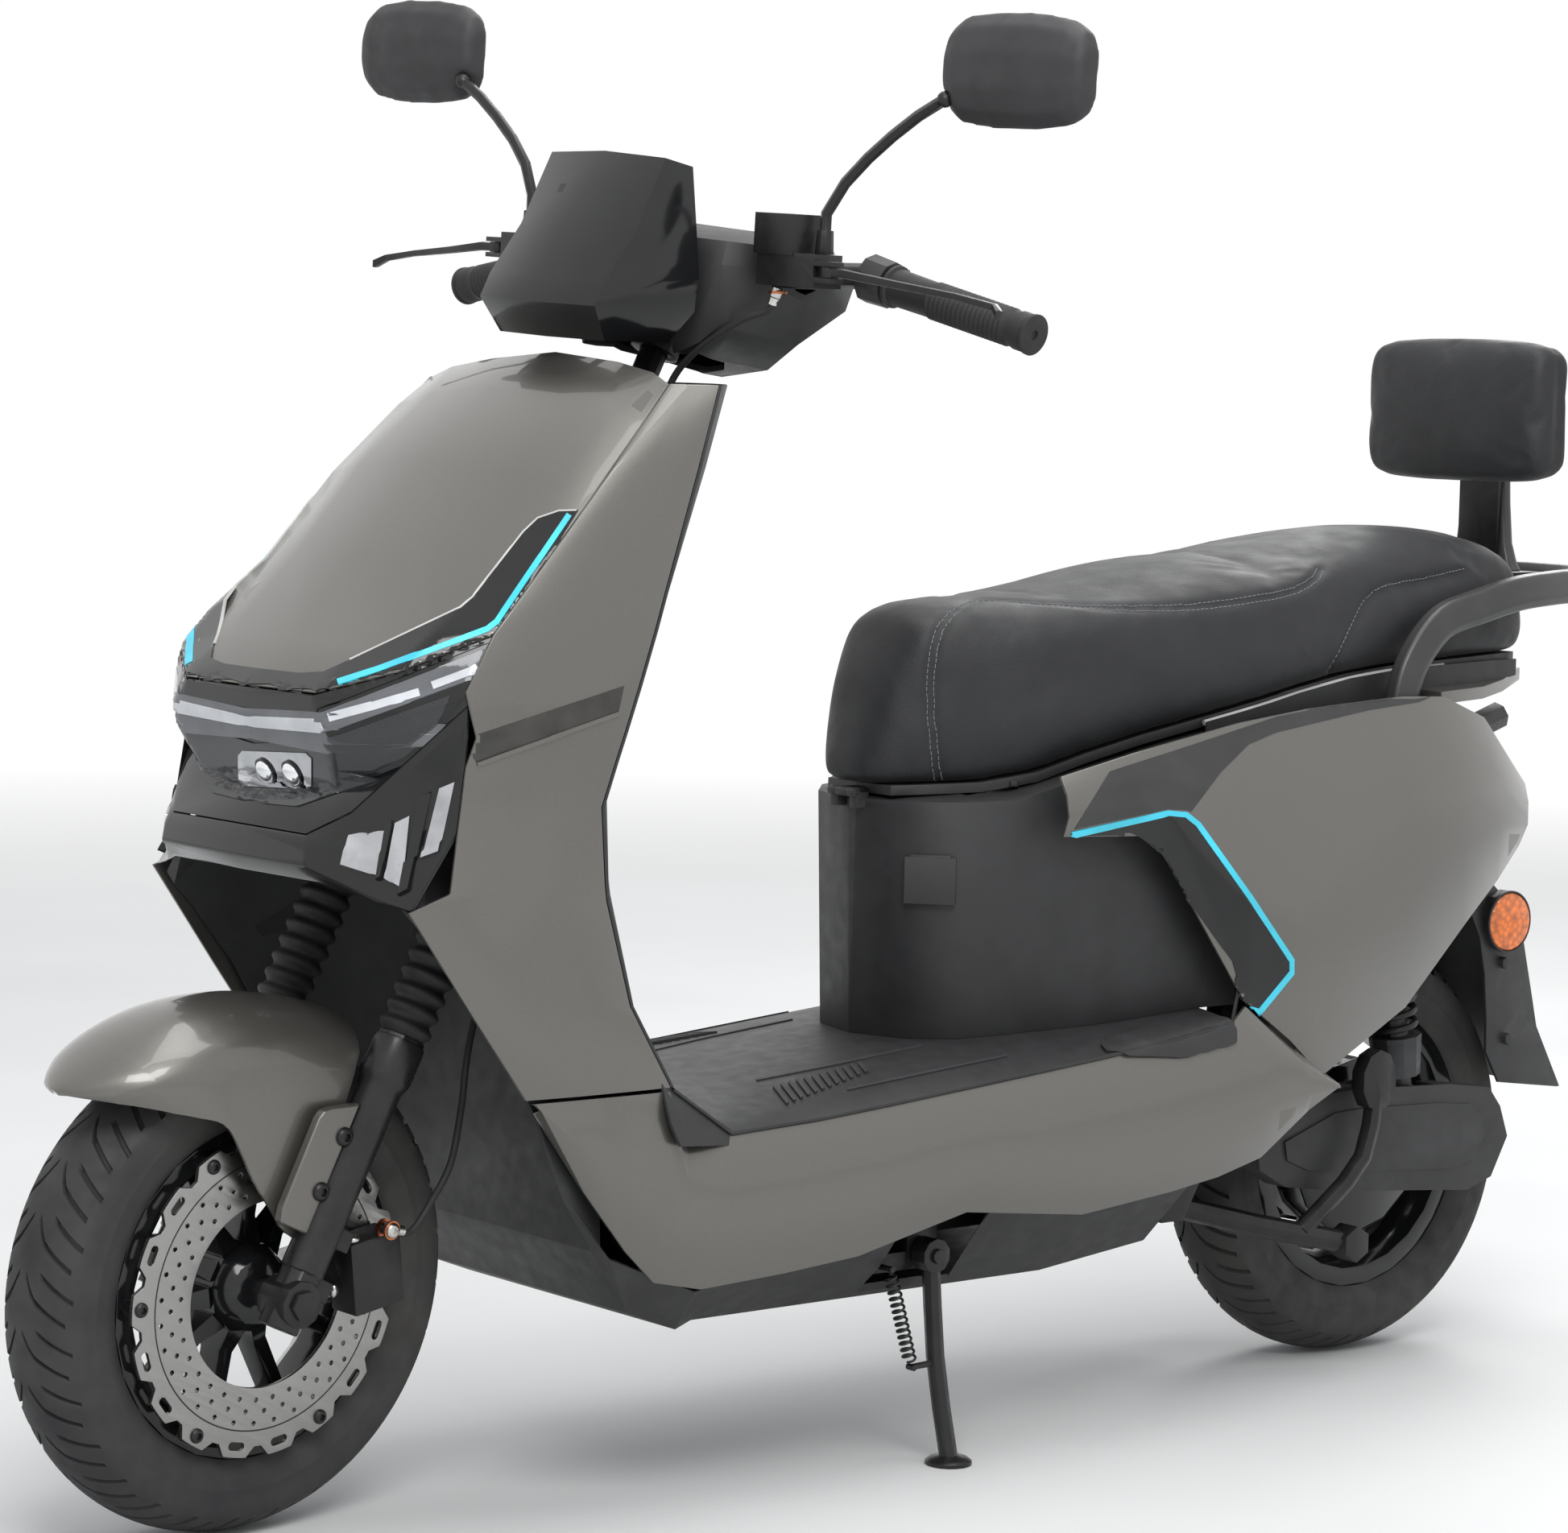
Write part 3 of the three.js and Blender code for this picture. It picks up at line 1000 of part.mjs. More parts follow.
function mainFrame() {
  const headTube = rod(axisPoint(headTubeBottom), axisPoint(headTubeTop), headTubeRadius, headTubeRadius);
  const bore = rod(axisPoint(headTubeBottom - overrun), axisPoint(headTubeTop + overrun), headBore, headBore);
  const backboneStart = axisPoint(headTubeBottom + headTubeRadius);
  const rails = [1, -1].map((side) => tube(floorRailShares.map(([x, y, z]) => at(x, side * y, z)), railTube,
    12));
  const crosses = crossShares.map(([x, z, y]) => rod(at(x, -y, z), at(x, y, z), braceTube, braceTube,
    smallSides));
  const pivotPlates = [1, -1].map((side) => {
    const plate = sidePlate(pivotPlateShares.map(([x, z]) => [x * along, z * up]), pivotPlateY,
      pivotPlateDepth);
    return side > 0 ? plate : mirrored(plate);
  });
  const pin = rod(at(pivotPlace[0], 0, pivotPlace[1]).setY(-pivotPlateY),
    at(pivotPlace[0], 0, pivotPlace[1]).setY(pivotPlateY),
    pivotPin, pivotPin);
  const stand = rod(at(standPivot[0], 0, standPivot[1]).setY(-pivotPlateY),
    at(standPivot[0], 0, standPivot[1]).setY(pivotPlateY),
    standPin, standPin);
  const stay = sideStay.map((corners) => block(...places(corners)));
  const sidePins = [rod(at(...sideStandPivot).setY(sideStay[0][0][1] * across),
    at(...sideStandPivot).add(spot(0, eyeHalf + wall, 0)), standPin, standPin),
    rod(at(...sideSpringTop).setY(sideStay[1][0][1] * across),
      at(...sideSpringTop).add(spot(0, eyeHalf / 2, 0)), 1.5 * springPin, 1.5 * springPin, smallSides)];
  return join(cut(join(headTube, tube([backboneStart, ...places(backboneShares)], 1.2 * railTube, 10)),
    bore), rails, crosses, pivotPlates,
    pin, stand, stay, sidePins, frameBrackets(), panelStuds());
}

// Swinging arm round the hub motor
const armInner = 58;
const armDepth = 18;
const axleNut = 15;
const pivotTube = 17;
const armShares = [[31.8, 25], [30.8, 26.8], [24, 26.4], [12, 25.4], [6.5, 27.6], [1.5, 28], [-1.4, 26.4],
  [-2.4, 20.7], [-1.4, 18.6], [1, 18.2],
  [10, 19.6], [20, 21.4], [30.6, 23.2]];
const hubHalfRear = 52;
const coverStuds = [[18, 23.2], [9, 21.4]];
function swingarm() {
  const pivot = at(pivotPlace[0], 0, pivotPlace[1]);
  const axle = spot(0, 0, tyreRadius);
  const arms = [1, -1].map((side) => {
    const plate = sidePlate(armShares.map(([x, z]) => [x * along, z * up]), armInner + armDepth, armDepth);
    return side > 0 ? plate : mirrored(plate);
  });
  const reach = armInner + armDepth + wall;
  const tubeAcross = rod(pivot.clone().setY(-reach), pivot.clone().setY(reach), pivotTube, pivotTube);
  const bore = rod(pivot.clone().setY(-reach - overrun), pivot.clone().setY(reach + overrun),
    turningBore(pivotPin));
  const spindle = rod(axle.clone().setY(-reach - wall), axle.clone().setY(reach + wall), pivotPin, pivotPin);
  const nuts = [1, -1].map((side) => rod(axle.clone().setY(side * (reach - 2 * wall)),
    axle.clone().setY(side * (reach + wall)), axleNut, axleNut, smallSides));
  const spacers = [1, -1].map((side) => rod(axle.clone().setY(side * (hubHalfRear + fit)),
    axle.clone().setY(side * (armInner + wall)),
    1.6 * pivotPin, 1.6 * pivotPin));
  const eye = at(...shockBottom);
  const lug = rod(eye.clone().setY(armInner + wall), eye.clone().setY(armInner + armDepth + fit),
    3 * shockPin, 3 * shockPin);
  const pin = rod(eye.clone().setY(armInner + wall),
    eye.clone().setY(shockBottom[1] * across + shockEyeHalf + fit), shockPin, shockPin);
  const studs = coverStuds.map(([x, z]) => rod(at(x, 0, z).setY(armInner + armDepth - wall),
    at(x, 0, z).setY(armInner + armDepth + wall),
    2 * wall, 2 * wall, smallSides));
  return join(cut(join(arms, tubeAcross), bore), spindle, nuts, spacers, lug, pin, studs);
}

// Cover on the left arm: a shallow dish with a notch for the shock absorber
const coverShares = [[21, 21.2], [17.5, 19.3], [10, 18.2], [-8.1, 16.6], [-11.4, 17.6], [-13.6, 21.5],
  [-12.4, 24.6],
  [-10.7, 26.6], [-5, 27.4], [8.5, 28], [13, 27.8], [21.5, 24.2]];
const coverMiddle = [4, 23];
const coverFace = 112;
const coverWall = 3;
const coverRim = 28;
const coverNotchShares = [[-3, 22.5], [6, 34]];
const coverScale = 0.93;
function swingarmCover() {
  const outline = coverShares.map(([x, z]) => [x * along, z * up]);
  const [cx, cz] = [coverMiddle[0] * along, coverMiddle[1] * up];
  const pocket = outline.map(([x, z]) => [cx + (x - cx) * coverScale, cz + (z - cz) * (2 * coverScale - 1)]);
  const ridge = outline.map(([x, z]) => [cx + (x - cx) * 0.8, cz + (z - cz) * 0.62]);
  const [[x0, z0], [x1, z1]] = coverNotchShares;
  const studs = coverStuds.map(([x, z]) => rod(at(x, 0, z).setY(armInner + armDepth + wall + fit),
    at(x, 0, z).setY(coverFace - wall),
    2 * wall, 2 * wall, smallSides));
  const dish = cut(sidePlate(outline, coverFace - wall, coverRim),
    sidePlate(pocket, coverFace - wall - coverWall, coverRim),
    block(at(x0, 0, z0).setY(coverFace - coverRim - 2 * wall),
      at(x1, 0, z1).setY(coverFace - wall - coverWall)));
  return join(dish, sidePlate(ridge, coverFace, wall + fit), studs);
}

// Rear wheel: the same rim on a hub motor with cooling fins
const motorRadius = 88;
const finCount = 2;
const rearSpokes = 5;
const motorSides = 14;
function rearWheel() {
  const profile = [[pivotPin + fit, -hubHalfRear], [0.35 * motorRadius, -hubHalfRear],
    [0.45 * motorRadius, -0.8 * hubHalfRear],
    [0.93 * motorRadius, -0.75 * hubHalfRear]];
  for (let i = 0; i <= finCount; i++) {
    const y = (i / finCount - 0.5) * 1.3 * hubHalfRear;
    profile.push([motorRadius, y - wall / 2], [motorRadius, y + wall / 2]);
    if (i < finCount) profile.push([0.95 * motorRadius, y + wall / 2],
      [0.95 * motorRadius, y + (1.3 * hubHalfRear) / finCount - wall / 2]);
  }
  profile.push([0.93 * motorRadius, 0.75 * hubHalfRear], [0.45 * motorRadius, 0.8 * hubHalfRear],
    [0.35 * motorRadius, hubHalfRear], [pivotPin + fit, hubHalfRear]);
  profile.push(profile[0]);
  const motor = turned(profile, spot(0, 0, 0), spot(0, 1, 0), motorSides);
  const section = (radius, width) => [[-1, -1], [1, -1], [1, 1], [-1, 1]].map(([u, w]) =>
    spot(radius, (w * spokeWidth) / 2, (u * width) / 2));
  const spokes = Array.from({ length: rearSpokes }, (_, i) =>
    loft([section(0.88 * motorRadius, 2 * spokeWidth),
      section(beadRadius - rimDrop - rimWall / 2, 3 * spokeWidth)])
      .rotateY((i / rearSpokes) * Math.PI * 2));
  return join(rim(0), motor, spokes);
}

// Shock absorber, drawn along the line between its eyes
const shockLine = at(...shockBottom).sub(at(...shockTop));
const shockLength = shockLine.length();
const onShock = (reach) => at(...shockTop).add(shockLine.clone().setLength(reach));
const eyeRadius = 14;
const springSeat = 26;
const seatDepth = 6;
const upperSeat = 30;
const lowerSeat = 196;
const damperRadius = 6;
const damperReach = 136;
const sleeveRadius = 13;
const sleeveTop = 92;
const shockTravel = 46.5;
const cupEnd = 236;
const bushPlay = 1.3;
function shockEye(place) {
  const middle = place.clone();
  return rod(middle.clone().add(spot(0, -shockEyeHalf, 0)), middle.clone().add(spot(0, shockEyeHalf, 0)),
    eyeRadius, eyeRadius);
}
const eyeBore = (place, play) => rod(place.clone().add(spot(0, -2 * shockEyeHalf, 0)),
  place.clone().add(spot(0, 2 * shockEyeHalf, 0)),
  shockPin + play, shockPin + play);
const shockUpper = () => cut(join(shockEye(onShock(0)),
  rod(onShock(eyeRadius / 2), onShock(upperSeat), damperRadius * 1.6, damperRadius * 1.6),
  rod(onShock(upperSeat - seatDepth), onShock(upperSeat), springSeat, springSeat),
  rod(onShock(upperSeat / 2), onShock(damperReach), damperRadius, damperRadius)), eyeBore(onShock(0), fit));
const shockLower = () => cut(join(shockEye(onShock(shockLength)),
  rod(onShock(sleeveTop), onShock(shockLength - eyeRadius / 2), sleeveRadius, sleeveRadius),
  rod(onShock(lowerSeat), onShock(cupEnd), springSeat, 0.85 * springSeat)),
eyeBore(onShock(shockLength), bushPlay), rod(onShock(sleeveTop - overrun),
  onShock(damperReach + shockTravel + overrun), damperRadius + fit, damperRadius + fit));

// A coil as one unbroken tube between two points
const coilSides = 5;
const coilSteps = 8;
function coil(from, to, coilRadius, wireRadius, turns, hooked = false) {
  const line = to.clone().sub(from);
  const length = line.length() - 2 * wireRadius;
  const frame = new THREE.Quaternion().setFromUnitVectors(new THREE.Vector3(0, 0, 1),
    line.clone().normalize());
  const count = turns * coilSteps;
  const rings = [];
  const middles = [];
  for (let i = 0; i <= count; i++) {
    const angle = (i / coilSteps) * Math.PI * 2;
    const out = spot(Math.cos(angle), Math.sin(angle), 0);
    const open = hooked ? Math.min(1, (2 * Math.min(i, count - i)) / coilSteps) : 1;
    const middle = out.clone().multiplyScalar(coilRadius * open).add(spot(0, 0,
      wireRadius + (i / count) * length));
    middles.push(middle.clone().applyQuaternion(frame).add(from));
    rings.push(Array.from({ length: coilSides }, (_, k) => {
      const around = (k / coilSides) * Math.PI * 2;
      return middle.clone().add(out.clone().multiplyScalar(wireRadius * Math.cos(around))).add(spot(0, 0,
        wireRadius * Math.sin(around)))
        .applyQuaternion(frame).add(from);
    }));
  }
  let least = Infinity;
  middles.forEach((p, i) => middles.slice(i + coilSteps / 2).forEach((q) => {
    least = Math.min(least, p.distanceTo(q) - 2 * wireRadius);
  }));
  console.log('least gap of a coil to itself', least.toFixed(2), 'mm');
  return loft(rings);
}
const springRadius = 20.5;
const springWire = 3.4;
const springTurns = 12;
const shockSpring = () => coil(onShock(upperSeat + fit), onShock(lowerSeat - fit), springRadius, springWire,
  springTurns);

// Stands
const standTube = 11;
const standLegShares = [[32, 7.8, 18.7], [27, 8, 17.6], [22, 10.4, 16.2], [16, 11.6, 14.8], [10, 12, 13.4]];
const kickShares = [[16, 11.8, 15.2], [10.1, 13.5, 21.5], [8.5, 13.6, 28]];
const kickPad = [8.7, 13.6, 29.3];
const kickPadSize = [23, 8, 30];
const standHalf = 93;
function centreStand() {
  const legs = [1, -1].map((side) => [tube(standLegShares.map(([x, y, z]) => at(x, side * y, z)), standTube,
    6),
    rod(at(10, side * 11, 13.4), at(10, side * 13.4, 13.4), 1.6 * standTube, 1.6 * standTube, smallSides)]);
  const brace = rod(at(22, -10.4, 16.2), at(22, 10.4, 16.2), 0.8 * standTube, 0.8 * standTube, smallSides);
  const pivot = at(standPivot[0], 0, standPivot[1]);
  const barrel = rod(pivot.clone().setY(-standHalf), pivot.clone().setY(standHalf), 1.1 * standTube,
    1.1 * standTube);
  const [w, d, h] = kickPadSize;
  const pad = rod(at(...kickPad).add(spot(0, -d, 0)), at(...kickPad).add(spot(0, d, 0)), 1, 1);
  const scaled = pad.translate(...at(...kickPad).negate().toArray()).scale(w, 1,
    h).translate(...at(...kickPad).toArray());
  const bore = rod(pivot.clone().setY(-standHalf - overrun), pivot.clone().setY(standHalf + overrun),
    turningBore(standPin));
  return cut(join(legs.flat(), brace, barrel, tube(places(kickShares), 0.8 * standTube, 5), scaled), bore);
}
const sideFootRadius = 21;
const sideFootHeight = 6;
const sideLegShares = [[65.7, 15, 18.6], [65.2, 15.5, 9], [64.2, 16.4, 0.6]];
const sidePinShares = [[65.2, 15.5, 9], [68.3, 15.8, 9]];
const springPin = 2;
const sideSpringTop = [71.1, 15.8, 18];
const sideSpringBottom = [68.3, 15.8, 9];
const eyeHalf = 9;
function sideStand() {
  const foot = at(...sideLegShares[2]).setZ(0);
  const pivot = at(...sideStandPivot);
  const body = join(tube(places(sideLegShares), 0.75 * standTube, 4),
    turned([[0, 0], [sideFootRadius, 0], [sideFootRadius, sideFootHeight / 2],
      [0.8 * sideFootRadius, sideFootHeight], [0, 1.5 * sideFootHeight]],
      foot, foot.clone().add(spot(0, 0, 1)), 18),
    rod(pivot.clone().add(spot(0, -eyeHalf, 0)), pivot.clone().add(spot(0, eyeHalf, 0)), 1.4 * standTube,
      1.4 * standTube),
    rod(...places(sidePinShares), 1.5 * springPin, 1.5 * springPin, smallSides),
    rod(at(...sideSpringBottom).add(spot(0, -eyeHalf / 2, 0)),
      at(...sideSpringBottom).add(spot(0, eyeHalf / 2, 0)), 1.5 * springPin, 1.5 * springPin, smallSides));
  return cut(body, rod(pivot.clone().add(spot(0, -2 * eyeHalf, 0)),
    pivot.clone().add(spot(0, 2 * eyeHalf, 0)),
    turningBore(standPin)));
}
const sideSpringRadius = 5.5;
const sideSpringWire = 1.2;
const sideSpringTurns = 8;
function sideStandSpring() {
  const [a, b] = [at(...sideSpringTop), at(...sideSpringBottom)];
  const gap = b.clone().sub(a).setLength(1.5 * springPin + fit);
  return coil(a.clone().add(gap), b.clone().sub(gap), sideSpringRadius, sideSpringWire, sideSpringTurns,
    true);
}

// Handlebar and what it carries, drawn straight ahead
const barRadius = 11;
const barBore = turningBore(barRadius);
const gripRadius = 16.5;
const barShares = [barMiddleShares, [84, 5, 104], [81.5, 11.5, 104.4], [79, 16, 104.7]];
const gripStartShares = [78.7, 16.8, 104.7];
const gripEndShares = [77.8, 35.3, 101];
const gripStart = at(...gripStartShares);
const gripEnd = at(...gripEndShares);
const onGrip = (reach) => gripStart.clone().lerp(gripEnd, reach);
const podReach = [0.035, 0.165];
const gripReach = [0.18, 1];
const clampBottom = clampTop - clampLength;
const clampRadius = 22;
function handlebar() {
  const left = [...places(barShares), gripStart];
  const right = left.slice(1).reverse().map((p) => p.clone().setY(-p.y));
  const middle = tube([...right, ...left], barRadius, 10);
  const ends = [1, -1].map((side) => rod(gripStart.clone().setY(side * gripStart.y),
    gripEnd.clone().setY(side * gripEnd.y), barRadius, barRadius));
  const clamp = rod(axisPoint(clampBottom), axisPoint(clampTop), clampRadius, clampRadius);
  const boreRadius = turningBore(stemRadius);
  const bore = rod(axisPoint(clampBottom - overrun), axisPoint(stemTop + fit), boreRadius, boreRadius);
  return cut(join(middle, ends, clamp), bore);
}
function grip(side, flange) {
  const flip = (p) => p.clone().setY(side * p.y);
  const [a, b] = [onGrip(gripReach[0]), onGrip(gripReach[1] + 0.02)].map(flip);
  const body = join(rod(a, b, gripRadius, 0.94 * gripRadius),
    rod(a, flip(onGrip(gripReach[0] + 0.03)), flange * gripRadius, flange * gripRadius));
  return cut(body, rod(flip(onGrip(0)), flip(onGrip(gripReach[1]).lerp(gripEnd, 0.5)).lerp(flip(gripEnd),
    1), barBore, barBore),
    rod(flip(onGrip(0.9)), flip(onGrip(gripReach[1])), barBore, barBore));
}
// Pods clamp round the bar between the cover and the grips
const podRadius = 21;
const buttonRadius = 7;
const buttonPlace = 0.09;
const buttonTravel = 3;
const buttonOut = 5;
const rearward = spot(-1, 0, 0);
function pod(side) {
  const flip = (p) => p.clone().setY(side * p.y);
  const [a, b] = podReach.map((reach) => flip(onGrip(reach)));
  const body = rod(a, b, podRadius, 0.95 * podRadius);
  const middle = flip(onGrip(buttonPlace));
  const nacelle = block(middle.clone().add(spot(-1.15 * podRadius, -0.55 * podRadius, -0.8 * podRadius)),
    middle.clone().add(spot(0, 0.55 * podRadius, 0.5 * podRadius)));
  return cut(join(body, nacelle), rod(flip(onGrip(-0.3)), flip(onGrip(0.4)), barBore, barBore));
}
const buttonCentre = onGrip(buttonPlace);
const buttonFace = 1.15 * podRadius;
function leftPod() {
  const bore = rod(buttonCentre.clone().add(rearward.clone().multiplyScalar(buttonFace - buttonTravel - buttonOut)),
    buttonCentre.clone().add(rearward.clone().multiplyScalar(buttonFace + overrun)), buttonRadius + fit,
      buttonRadius + fit);
  return cut(pod(1), bore);
}
function hornButton() {
  const start = buttonCentre.clone().add(rearward.clone().multiplyScalar(buttonFace - buttonOut + fit));
  return rod(start, buttonCentre.clone().add(rearward.clone().multiplyScalar(buttonFace + buttonTravel)),
    buttonRadius, 0.85 * buttonRadius);
}

// Master cylinder: a bracket ahead of the bar, a reservoir on it and the lever's fork
const bracketShares = [[81.2, 13.2, 103.4], [85.6, 15.6, 105.8]];
const bodyShares = [[84.4, 12.9, 103.6], [87.8, 19.6, 106.4]];
const reservoirShares = [[83.6, 12.6, 106.2], [88, 17.2, 109.6]];
const leverPivotShares = [87, 20.8, 105];
const leverEye = 8;
const leverPin = 3;
const leverThickness = 9;
const forkWall = 4;
function leverFork() {
  const pivot = at(...leverPivotShares);
  const tongues = [1, -1].map((side) => block(pivot.clone().add(spot(-leverEye, -2 * leverEye,
    side * (leverThickness / 2 + fit))),
    pivot.clone().add(spot(leverEye, leverEye, side * (leverThickness / 2 + fit + forkWall)))));
  const pin = rod(pivot.clone().add(spot(0, 0, -leverThickness / 2 - forkWall)),
    pivot.clone().add(spot(0, 0, leverThickness / 2 + forkWall)),
    leverPin, leverPin, smallSides);
  return [...tongues, pin];
}
const leverShares = [[87, 20.8, 1.05], [87.3, 22.6, 0.95], [86.4, 28, 0.8], [85.6, 34, 0.7],
  [85.4, 38, 0.75], [85.9, 39, 0.9]];
const leverDroop = -3.6;
function lever(side) {
  const pivot = at(...leverPivotShares);
  const sections = leverShares.map(([x, y, size], i) => {
    const middle = at(x, y, leverPivotShares[2] + (leverDroop * Math.max(0, i - 1)) / leverShares.length);
    const half = (leverThickness / 2) * (i ? size : 0.9);
    return [[-1, -1], [0, -1.2], [1, -1], [1, 1], [0, 1.2], [-1, 1]].map(([u, w]) =>
      middle.clone().add(spot(u * half, 0, (w * half) / 1.3)));
  });
  const eye = rod(pivot.clone().add(spot(0, 0, -leverThickness / 2)),
    pivot.clone().add(spot(0, 0, leverThickness / 2)), leverEye, leverEye);
  const body = cut(join(eye, loft(sections)),
    rod(pivot.clone().add(spot(0, 0, -leverThickness)), pivot.clone().add(spot(0, 0, leverThickness)),
    turningBore(leverPin, smallSides), turningBore(leverPin, smallSides), smallSides));
  return side > 0 ? body : mirrored(body);
}
const linkShares = [[79.6, 17.2, 103.6], [85.6, 19.4, 105.8]];
function masterCylinder() {
  const pads = [bracketShares, bodyShares].map((corners) => block(...places(corners)));
  const reservoir = block(...places(reservoirShares));
  return cut(join(pads, reservoir, leverFork()), rod(onGrip(-0.35), onGrip(0.4), barBore, barBore),
    tube([...places(barShares).slice(1), gripStart], barRadius + wall, 8));
}
function rightPod() {
  const arm = mirrored(join([bodyShares, linkShares].map((corners) => block(...places(corners))),
    leverFork()));
  const clear = (solid) => cut(solid, mirrored(tube([...places(barShares).slice(1), gripStart],
    barRadius + 1.5 * wall, 8)),
    mirrored(rod(onGrip(-0.35), onGrip(0.4), barBore, barBore)));
  return clear(join(pod(-1), arm));
}

// Mirrors
const mirrorArmShares = [[85.4, 18.4, 106.7], [85.4, 18.5, 110], [84.8, 21, 113.5], [84.4, 26, 117.4],
  [84.2, 30, 119.6]];
const mirrorArmRadius = 5;
const mirrorBall = 7;
const mirrorCentre = [83.2, 37, 122.1];
const mirrorHeadSize = [21, 77, 47];
const glassInset = 4;
// The ball of a mirror's joint and its socket, with their poles on the axis that the mirror turns about
const mirrorJoint = (radius) => new THREE.SphereGeometry(radius, 2 * smallSides,
  smallSides).rotateX(Math.PI / 2)
  .translate(...at(...mirrorArmShares[4]).toArray());
function mirrorArm(side) {
  const body = join(tube(places(mirrorArmShares), mirrorArmRadius, 6, smallSides),
    rod(at(85.4, 18.4, 106.43), at(85.4, 18.4, 108.4), 1.6 * mirrorArmRadius, 1.4 * mirrorArmRadius),
    mirrorJoint(mirrorBall));
  return side > 0 ? body : mirrored(body);
}
const mirrorSideShares = [[-1, 0.35, 0.45], [-0.93, 0.62, 0.72], [-0.75, 0.85, 0.92], [-0.3, 1, 1],
  [0.3, 1, 1],
  [0.75, 0.85, 0.9], [0.93, 0.62, 0.7], [1, 0.35, 0.4]];
const mirrorRingShares = [[-0.55, 0.92], [0.1, 1], [0.7, 0.75], [1, 0.3], [1, -0.3], [0.7, -0.75],
  [0.1, -1], [-0.55, -0.92]];
function mirrorHead(side) {
  const centre = at(...mirrorCentre);
  const [depth, width, height] = mirrorHeadSize;
  const shell = loft(mirrorSideShares.map(([y, d, h]) => mirrorRingShares.map(([u, w]) =>
    centre.clone().add(spot(u * depth * (u < 0 ? 1 : d), y * width, w * height * h)))));
  const glass = loft(mirrorSideShares.map(([y, , h]) => [[-1, 0.86], [-0.55 + glassInset / depth, 0.86],
    [-0.55 + glassInset / depth, -0.86], [-1, -0.86]].map(([u, w]) =>
    centre.clone().add(spot(u * depth, 0.94 * y * width, w * height * h)))));
  const socket = mirrorJoint((mirrorBall + fit) / Math.cos(Math.PI / (2 * smallSides)));
  const body = cut(join(shell), glass, socket);
  return side > 0 ? body : mirrored(body);
}

// Handlebar cover: a moulded shell round the bar, open below and at the bar's ends
const coverSectionShares = [
  [0, [[90.2, 105], [90, 107.4], [84, 108.3], [75, 107.3], [70.2, 103.6], [71.4, 100.6], [78.6, 95],
    [90, 96.4]]],
  [6, [[90.2, 105], [89.8, 107.2], [83.8, 108], [75, 107], [70.6, 103.6], [71.8, 100.8], [79, 96],
    [89.8, 97.4]]],
  [9.5, [[88.6, 105], [88, 107], [83, 107.8], [75.6, 106.8], [72.4, 103.8], [73.4, 101.4], [79, 98.4],
    [87.4, 99.6]]],
  [12.2, [[83.6, 104.8], [83, 106.6], [81.2, 107], [78.8, 106.6], [77.6, 105], [77.8, 103.2], [80.6, 102],
    [83.2, 102.8]]]];
const coverThin = 0.92;
const hosePassShares = [[89.4, 5, 95], [87, 12, 101.4]];
const hoseRadius = 3;
const neckRadius = 64;
function handlebarCover() {
  const half = coverSectionShares.map(([y, ring]) => [y, ring]);
  const all = [...half.slice(1).reverse().map(([y, ring]) => [-y, ring]), ...half];
  const skin = (thin) => loft(all.map(([y, ring]) => {
    const middle = ring.reduce((sum, [x, z]) => [sum[0] + x / ring.length, sum[1] + z / ring.length], [0, 0]);
    return ring.map(([x, z]) => at(middle[0] + (x - middle[0]) * thin, y * (thin === 1 ? 1 : 0.985),
      middle[1] + (z - middle[1]) * thin));
  }));
  const neck = rod(axisPoint(clampBottom - 2 * neckRadius), axisPoint(clampBottom + clampRadius),
    neckRadius, neckRadius);
  const reach = [1, -1].map((side) => rod(at(82, side * 10.4, 104.4), at(80, side * 14.5, 104.6),
    barRadius + 2 * wall, barRadius + 2 * wall));
  const hosePass = rod(...places(hosePassShares), 3 * hoseRadius, 3 * hoseRadius);
  return cut(skin(1), skin(coverThin), neck, reach, hosePass);
}
const cowlRowShares = [
  [[93.6, 0, 113.8], [93.2, 7, 113.5], [91.2, 8, 113]],
  [[97.5, 0, 107.5], [96.3, 7, 107.3], [90.9, 8.6, 107]],
  [[100.6, 0, 103.1], [99.5, 7, 103.1], [90.8, 8.9, 104]],
  [[101.6, 0, 101.2], [100.5, 7, 101.2], [91, 8.8, 101]],
  [[99.2, 0, 98.4], [98.6, 6.4, 98.4], [92.5, 7.4, 98.4]]];
const cowlPegShare = [4, 103];
const cowlPegEnd = 99.9;
function faceCowl() {
  const [y, z] = cowlPegShare;
  const coverFront = coverSectionShares[0][1][0][0];
  const pegs = [1, -1].map((side) => rod(at(coverFront, side * y, z).add(spot(fit, 0, 0)),
    at(cowlPegEnd, side * y, z),
    2 * wall, 2 * wall, smallSides));
  return join(sheet(cowlRowShares.map((row) => bothSides(places(row))), -wall), pegs);
}

// Caliper outside the disc rim, on two lugs of the left slider
const caliperPlace = [-80, 57];
const caliperLength = 62;
const caliperOuter = [54.5, 86];
const caliperInner = [32, 47.6];
const caliperRadii = [62, 114];
function brakeCaliper() {
  const angle = Math.atan2(caliperPlace[1], caliperPlace[0]);
  const turnTo = (geometry) => geometry.rotateY(-angle);
  const half = ([low, high], reach) => block(spot(caliperRadii[0], low, -reach / 2),
    spot(caliperRadii[1], high, reach / 2));
  const bridge = block(spot(caliperRadii[0], caliperInner[0], -0.34 * caliperLength),
    spot(1.18 * caliperRadii[0], caliperOuter[1], 0.34 * caliperLength));
  const body = turnTo(join(half(caliperOuter, caliperLength), half(caliperInner, 0.9 * caliperLength),
    bridge));
  return body;
}

